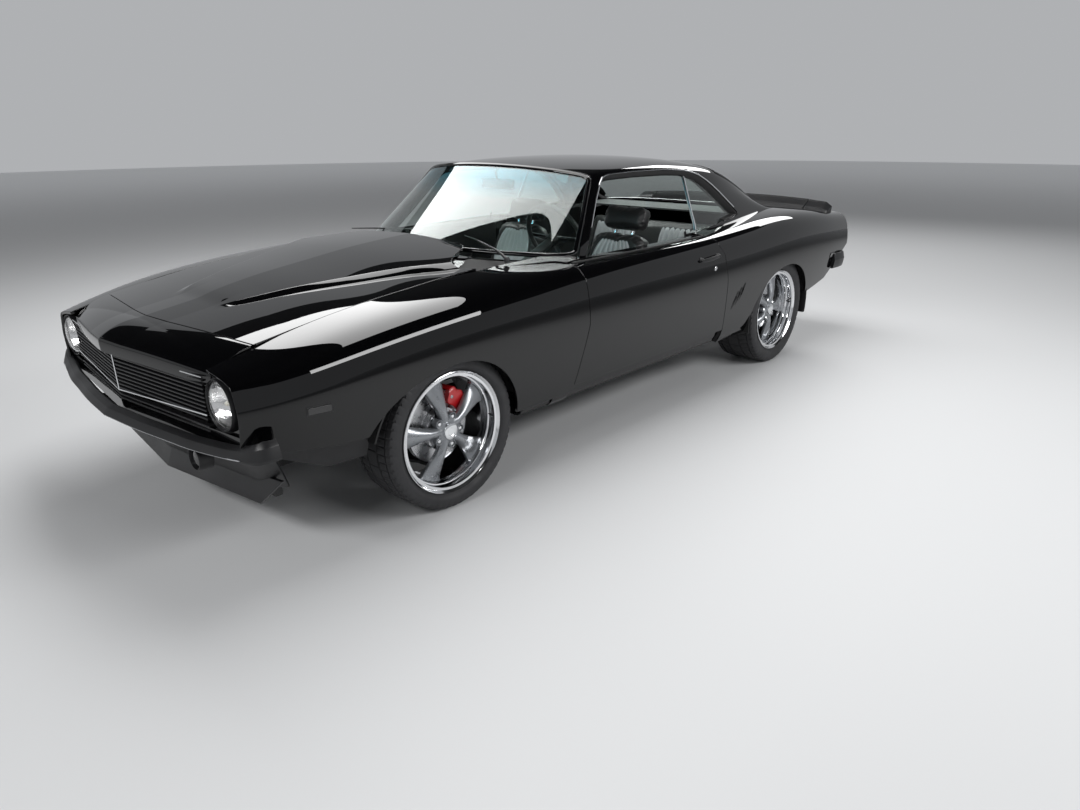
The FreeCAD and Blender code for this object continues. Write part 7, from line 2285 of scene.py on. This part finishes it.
# %% [markdown]
# The cabin mirror is a slim case on a bent stem, with a chromed plate as its glass.

# %% Cabin mirror
mirror_case = prism(axle([(x, 1.122, z) for x, z in rounded([(-0.112, 1.146), (0.112, 1.146),
                    (0.116, 1.196), (-0.116, 1.196)], 0.018, 5)]), (0, 1, 0), 0.020)
glass_face = prism(axle([(x, 1.1415, z) for x, z in rounded([(-0.105, 1.151), (0.105, 1.151),
                   (0.109, 1.191), (-0.109, 1.191)], 0.014, 5)]), (0, 1, 0), 0.002)
stem = tube(smooth_path(axle([(0, 1.130, 1.190), (0, 1.122, 1.225), (0, 1.135, 1.262)]), 12), 0.006,
            (1, 0, 0))
piece("mirror_case", [mirror_case, stem], "root", dull_plastic,
      replaces=["cabin_mirror"], bevel=0.003)
piece("mirror_glass", [glass_face], "root", chrome)

# %% [markdown]
# The headlining is the roof's own sheet, drawn in and let down. The parcel shelf closes the
# space behind the bench.

# %% Headlining and parcel shelf
lining_net = canopy.net * [0.965, 1, 1] + [0, 0, -0.020]
lining_sheet = Sheet(lining_net, (0, 0, 1))
lining_outline = [(0.055, 0.235), (0.30, 0.245), (0.52, 0.20), (0.60, 0.12), (0.66, 0.10),
                  (0.66, 0.235), (0.60, 0.30), (0.59, 0.5)]
lining_outline = lining_outline + [(u, 1 - v) for u, v in lining_outline[-2::-1]] \
    + [(0.045, 0.5), (0.055, 0.235)]
lining_loop = trace(lining_sheet, [("uv", lining_outline)], 0.03)
panel_piece("roof_lining", [panel(lining_sheet, lining_loop, wall=0.006, step=0.03)], "root",
            headlining)
shelf = prism(axle([(-0.64, 2.60, 0.925), (0.64, 2.60, 0.925), (0.64, 2.93, 0.925),
                    (-0.64, 2.93, 0.925)]), (0, 0, 1), 0.010)
piece("parcel_shelf", [shelf], "root", carpet)

# %% [markdown]
# The mechanical solids under the car keep their shapes and get the finish of the metal they
# are made of.

# %% Finishes of the solids that stay
NODE_FINISHES = {
    "floor_pan": chassis_black, "front_subframe": chassis_black,
    "sills_and_hinge_pillars": black_enamel, "wheel_liners": dull_plastic,
    "engine_and_gearbox": cast_iron, "rear_axle": cast_iron, "knuckle_left": cast_iron,
    "knuckle_right": cast_iron, "exhaust": exhaust_steel, "fuel_tank": exhaust_steel,
}
for name, thing in sorted(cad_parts.items()):
    if thing.hide_render:
        continue
    chosen = NODE_FINISHES.get(name)
    print("stays", name, chosen.name if chosen else "no finish yet")
    if chosen is None:
        continue
    if not thing.material_slots:
        thing.data.materials.append(None)
    for place in thing.material_slots:
        place.link = "OBJECT"
        place.material = chosen

# %% [markdown]
# A wiper is a spring steel arm on a turned cap, with a thin blade. Both are sections carried
# along smooth paths, thick at the pivot and thin at the ends.

# %% Wipers
def wiper(pivot, elbow, low, high):
    """A wiper: an arm from its pivot, a turned cap and a thin blade."""
    arm = smooth_path(axle([pivot, elbow[0], elbow[1]]), 14)
    blade = smooth_path(axle([low, ((low[0] + high[0]) / 2, (low[1] + high[1]) / 2 - 0.004,
                                    (low[2] + high[2]) / 2 + 0.006), high]), 20)
    cap = lathe([(-0.012, 0.0), (-0.012, 0.013), (0.004, 0.012), (0.012, 0.008), (0.013, 0.0)], 24,
                tuple(axle([pivot])[0]), 2)
    section = rounded([(-0.004, -0.003), (0.004, -0.003), (0.003, 0.004), (-0.003, 0.004)],
                      0.002, 2)
    width = np.sin(np.linspace(0.35, math.pi - 0.35, 20)) ** 0.5
    return [sweep(arm, section * 1.2, (0, 0, 1), sizes=np.linspace(1.3, 0.8, 14)), cap,
            sweep(blade, section, (0, 0, 1), sizes=width)]


piece("wiper_arms", wiper((0.667, 0.520, 0.918), ((0.639, 0.529, 0.928), (0.36, 0.660, 0.944)),
                          (0.143, 0.753, 0.950), (0.560, 0.560, 0.945))
      + wiper((-0.363, 0.792, 0.925), ((-0.30, 0.74, 0.940), (-0.42, 0.70, 0.945)),
              (-0.66, 0.640, 0.935), (-0.20, 0.735, 0.950)), "root", satin_black,
      replaces=["wipers"])

# %% [markdown]
# Opened lids show their inner side, so the hood and the trunk lid get a pressed inner panel
# with a frame and ribs. It is a grid under the outer skin whose ribs are worked out from the
# distance to their middle lines; a boolean cut would leave hard steps instead.

# %% Inner panels
def step_up(value, width=0.012):
    t = np.clip(value / width, 0, 1)
    return t * t * (3 - 2 * t)


def grid_normals(points):
    return unit(np.cross(np.gradient(points, axis=1), np.gradient(points, axis=0)))


def pressed(name, height, place, wide, long, ribs, body, counts=(91, 69), skin=0.017, deep=0.013):
    """An inner panel: place gives x, y for shares u, v, and each rib runs between two shares."""
    u, v = np.meshgrid(np.linspace(-1, 1, counts[0]), np.linspace(0, 1, counts[1]))
    x, y = place(u, v)
    across, along = abs(u) * wide / 2, v * long
    edge = np.minimum(wide / 2 - across, np.minimum(along, long - along))
    rib = step_up(0.065 - edge)
    for (a, b), (c, d), half in ribs:
        start = np.array([a * wide / 2, b * long])
        run = np.array([(c - a) * wide / 2, (d - b) * long])
        t = np.clip(((across - start[0]) * run[0] + (along - start[1]) * run[1])
                    / (run @ run), 0, 1)
        away = np.hypot(across - start[0] - t * run[0], along - start[1] - t * run[1])
        rib = np.maximum(rib, step_up(half - away))
    points = np.stack([x, y + AXLE, height(x, y) - skin - deep * rib], -1)
    panel_piece(name, [grid_panel(points, grid_normals(points), wall=0.004, lip=0.001)], body,
                black_enamel)


def hood_place(u, v):
    y = -0.73 + v * 1.1
    for _ in range(6):
        x = u * (inner_edge(y) - PANEL_GAP - 0.022)
        front, back = hood_front(x) + 0.022, hood_back(x) - 0.022
        y = front + (back - front) * v
    return x, y


pressed("hood_inner_panel", hood_height, hood_place, 1.24, 1.05,
        [((0, 0), (0, 1), 0.040), ((0, 0.5), (1, 0.97), 0.036), ((0, 0.5), (1, 0.03), 0.036)],
        "hood")


def deck_height(x, y):
    flat = np.c_[x.ravel(), (y + AXLE).ravel()]
    return deck.points(deck.find(flat, (0, 1)))[:, 2].reshape(x.shape)


def lid_place(u, v):
    return (u * (lid_half - 0.022), LID_FRONT + 0.022 + v * (LID_REAR - LID_FRONT - 0.044))


pressed("trunk_lid_inner_panel", deck_height, lid_place, 1.2, 0.52,
        [((0, 0), (0, 1), 0.040), ((0.52, 0), (0.52, 1), 0.032)], "trunk_lid", (75, 37), 0.019,
        0.012)

# %% [markdown]
# Carpet drapes over whatever floor is there. Rays from above find the floor under each point
# of a grid, and each point takes the highest of its neighbours, so the carpet clears the edges.

# %% Carpets
standing = [thing for name, thing in sorted(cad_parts.items())
            if name in ("floor_pan", "wheel_liners", "fuel_tank", "sills_and_hinge_pillars")]
solid_trees = []
for thing in standing:
    mesh = thing.data
    solid_trees.append(BVHTree.FromPolygons([thing.matrix_world @ v.co for v in mesh.vertices],
                                            [list(p.vertices) for p in mesh.polygons]))


def laid(name, low, high, step, lift, material):
    """A sheet over what rays from above find in a rectangle of the plan."""
    xs = np.linspace(low[0], high[0], int((high[0] - low[0]) / step) + 1)
    ys = np.linspace(low[1], high[1], int((high[1] - low[1]) / step) + 1) + AXLE
    heights = np.full((len(ys), len(xs)), -1.0)
    for i, y in enumerate(ys):
        for j, x in enumerate(xs):
            for tree in solid_trees:
                hit = tree.ray_cast(Vector((x, y, 0.60)), Vector((0, 0, -1)))[0]
                if hit is not None:
                    heights[i, j] = max(heights[i, j], hit.z)
    heights[heights < 0] = heights[heights > 0].min()
    ring = np.pad(heights, 1, "edge")
    heights = np.max([ring[a:a + len(ys), b:b + len(xs)] for a in range(3) for b in range(3)], 0)
    points = np.stack([*np.meshgrid(xs, ys), heights + lift], -1)
    panel_piece(name, [grid_panel(points, grid_normals(points), wall=0.005, lip=0.001)], "root",
                material)


laid("cabin_carpet", (-0.62, 0.66), (0.62, 2.20), 0.02, 0.006, carpet)
laid("trunk_carpet", (-0.58, 3.00), (0.58, 3.57), 0.03, 0.006, carpet)

# %% [markdown]
# The cowl's grilles are wire mesh at each side of the hood's back edge. Fine waves in one
# plate stand for the wires, because single wires would be too thin to show.

# %% Cowl mesh
u, v = np.meshgrid(np.linspace(0, 1, 145), np.linspace(0, 1, 5))
x = 0.405 + 0.205 * u
front, back = hood_back(x) + 0.014, glass_front(x) - 0.040
y = front + (back - front) * v
z = cowl_height(x, y) + 0.002 + 0.0016 * np.cos(2 * math.pi * 36 * u)
points = np.stack([x, y + AXLE, z], -1)
vent = grid_panel(points, grid_normals(points), wall=0.003, lip=0.0008)
panel_piece("cowl_vents", [vent, mirror(vent)], "root", dark_mesh)
# %% [markdown]
# The studio: a pale floor, a plain pale world round it, a broad soft light overhead and one
# each from the side, the nose and the rear. Big lights give black enamel the long, soft
# reflections that show its shape; small ones would only give it bright dots.

# %% Floor and light
def stage_finish(name, chart):
    made = bpy.data.materials.new(name)
    made.use_nodes = True
    shader = made.node_tree.nodes["Principled BSDF"]
    shader.inputs["Base Color"].default_value = colour(chart)
    shader.inputs["Roughness"].default_value = 0.55
    return made


bpy.ops.mesh.primitive_circle_add(vertices=96, radius=30, fill_type="NGON", location=(0, 0, 0))
floor = bpy.context.object
floor.name = "studio_floor"
floor.data.materials.append(stage_finish("pale_floor", "D2D3D4"))

bpy.ops.mesh.primitive_plane_add(size=30, location=(0, 0, 9))
ceiling = bpy.context.object
ceiling.name = "studio_ceiling"
ceiling.data.materials.append(stage_finish("dark_ceiling", "1B1C1E"))

world = bpy.data.worlds.new("studio")
world.use_nodes = True
bpy.context.scene.world = world
tree = world.node_tree
back = tree.nodes["Background"]
back.inputs["Color"].default_value = colour("D9DBDE")
back.inputs["Strength"].default_value = 0.62


def soft_light(name, place, target, size, power):
    data = bpy.data.lights.new(name, "AREA")
    data.shape, data.size, data.size_y, data.energy = "RECTANGLE", *size, power
    lamp = bpy.data.objects.new(name, data)
    lamp.location = place
    aim = Vector(target) - Vector(place)
    lamp.rotation_mode = "QUATERNION"
    lamp.rotation_quaternion = aim.to_track_quat("-Z", "Y")
    bpy.context.scene.collection.objects.link(lamp)


soft_light("overhead_soft", (-1.4, 0.4, 4.4), (-0.4, 0.4, 0), (2.4, 6.0), 260)
soft_light("side_soft", (5.6, 0.6, 3.7), (0.2, 0.2, 0.4), (5.0, 1.1), 190)
soft_light("nose_soft", (1.0, -6.5, 4.4), (0, -0.5, 0.4), (4.5, 1.0), 170)
soft_light("rear_soft", (-1.0, 7.5, 4.4), (0, 1.5, 0.4), (4.5, 1.2), 130)

# %% [markdown]
# The camera's place and lens come from a fit of the car's known measures to the photograph.
# A camera set by eye could match the outline and still be wrong in its depth.

# %% The camera
AZIMUTH, ELEVATION, ROLL = math.radians(42.627), math.radians(20.0987), math.radians(-0.428)
lens = bpy.data.cameras.new("photo_camera")
SENSOR_WIDTH, FOCAL_PIXELS, PHOTO_WIDTH = 36.0, 768.147, 1080
lens.sensor_width, lens.lens = SENSOR_WIDTH, SENSOR_WIDTH * FOCAL_PIXELS / PHOTO_WIDTH
lens.clip_start, lens.clip_end = 0.05, 100
camera = bpy.data.objects.new("photo_camera", lens)
back_way = Vector((math.sin(AZIMUTH) * math.cos(ELEVATION),
                   -math.cos(AZIMUTH) * math.cos(ELEVATION), math.sin(ELEVATION)))
camera.rotation_mode = "QUATERNION"
turn = (-back_way).to_track_quat("-Z", "Y").to_matrix()
right, up = turn.col[0].copy(), turn.col[1].copy()
tilted_right = math.cos(ROLL) * right + math.sin(ROLL) * up
tilted_up = -math.sin(ROLL) * right + math.cos(ROLL) * up
for row in range(3):
    turn[row][0], turn[row][1] = tilted_right[row], tilted_up[row]
camera.rotation_quaternion = turn.to_quaternion()
camera.location = (3.0335, -3.2540, 1.4699)
bpy.context.scene.collection.objects.link(camera)
bpy.context.scene.camera = camera
bpy.context.scene.view_settings.view_transform = "Standard"
print("camera at", tuple(round(v, 3) for v in camera.location), "lens", round(lens.lens, 2))
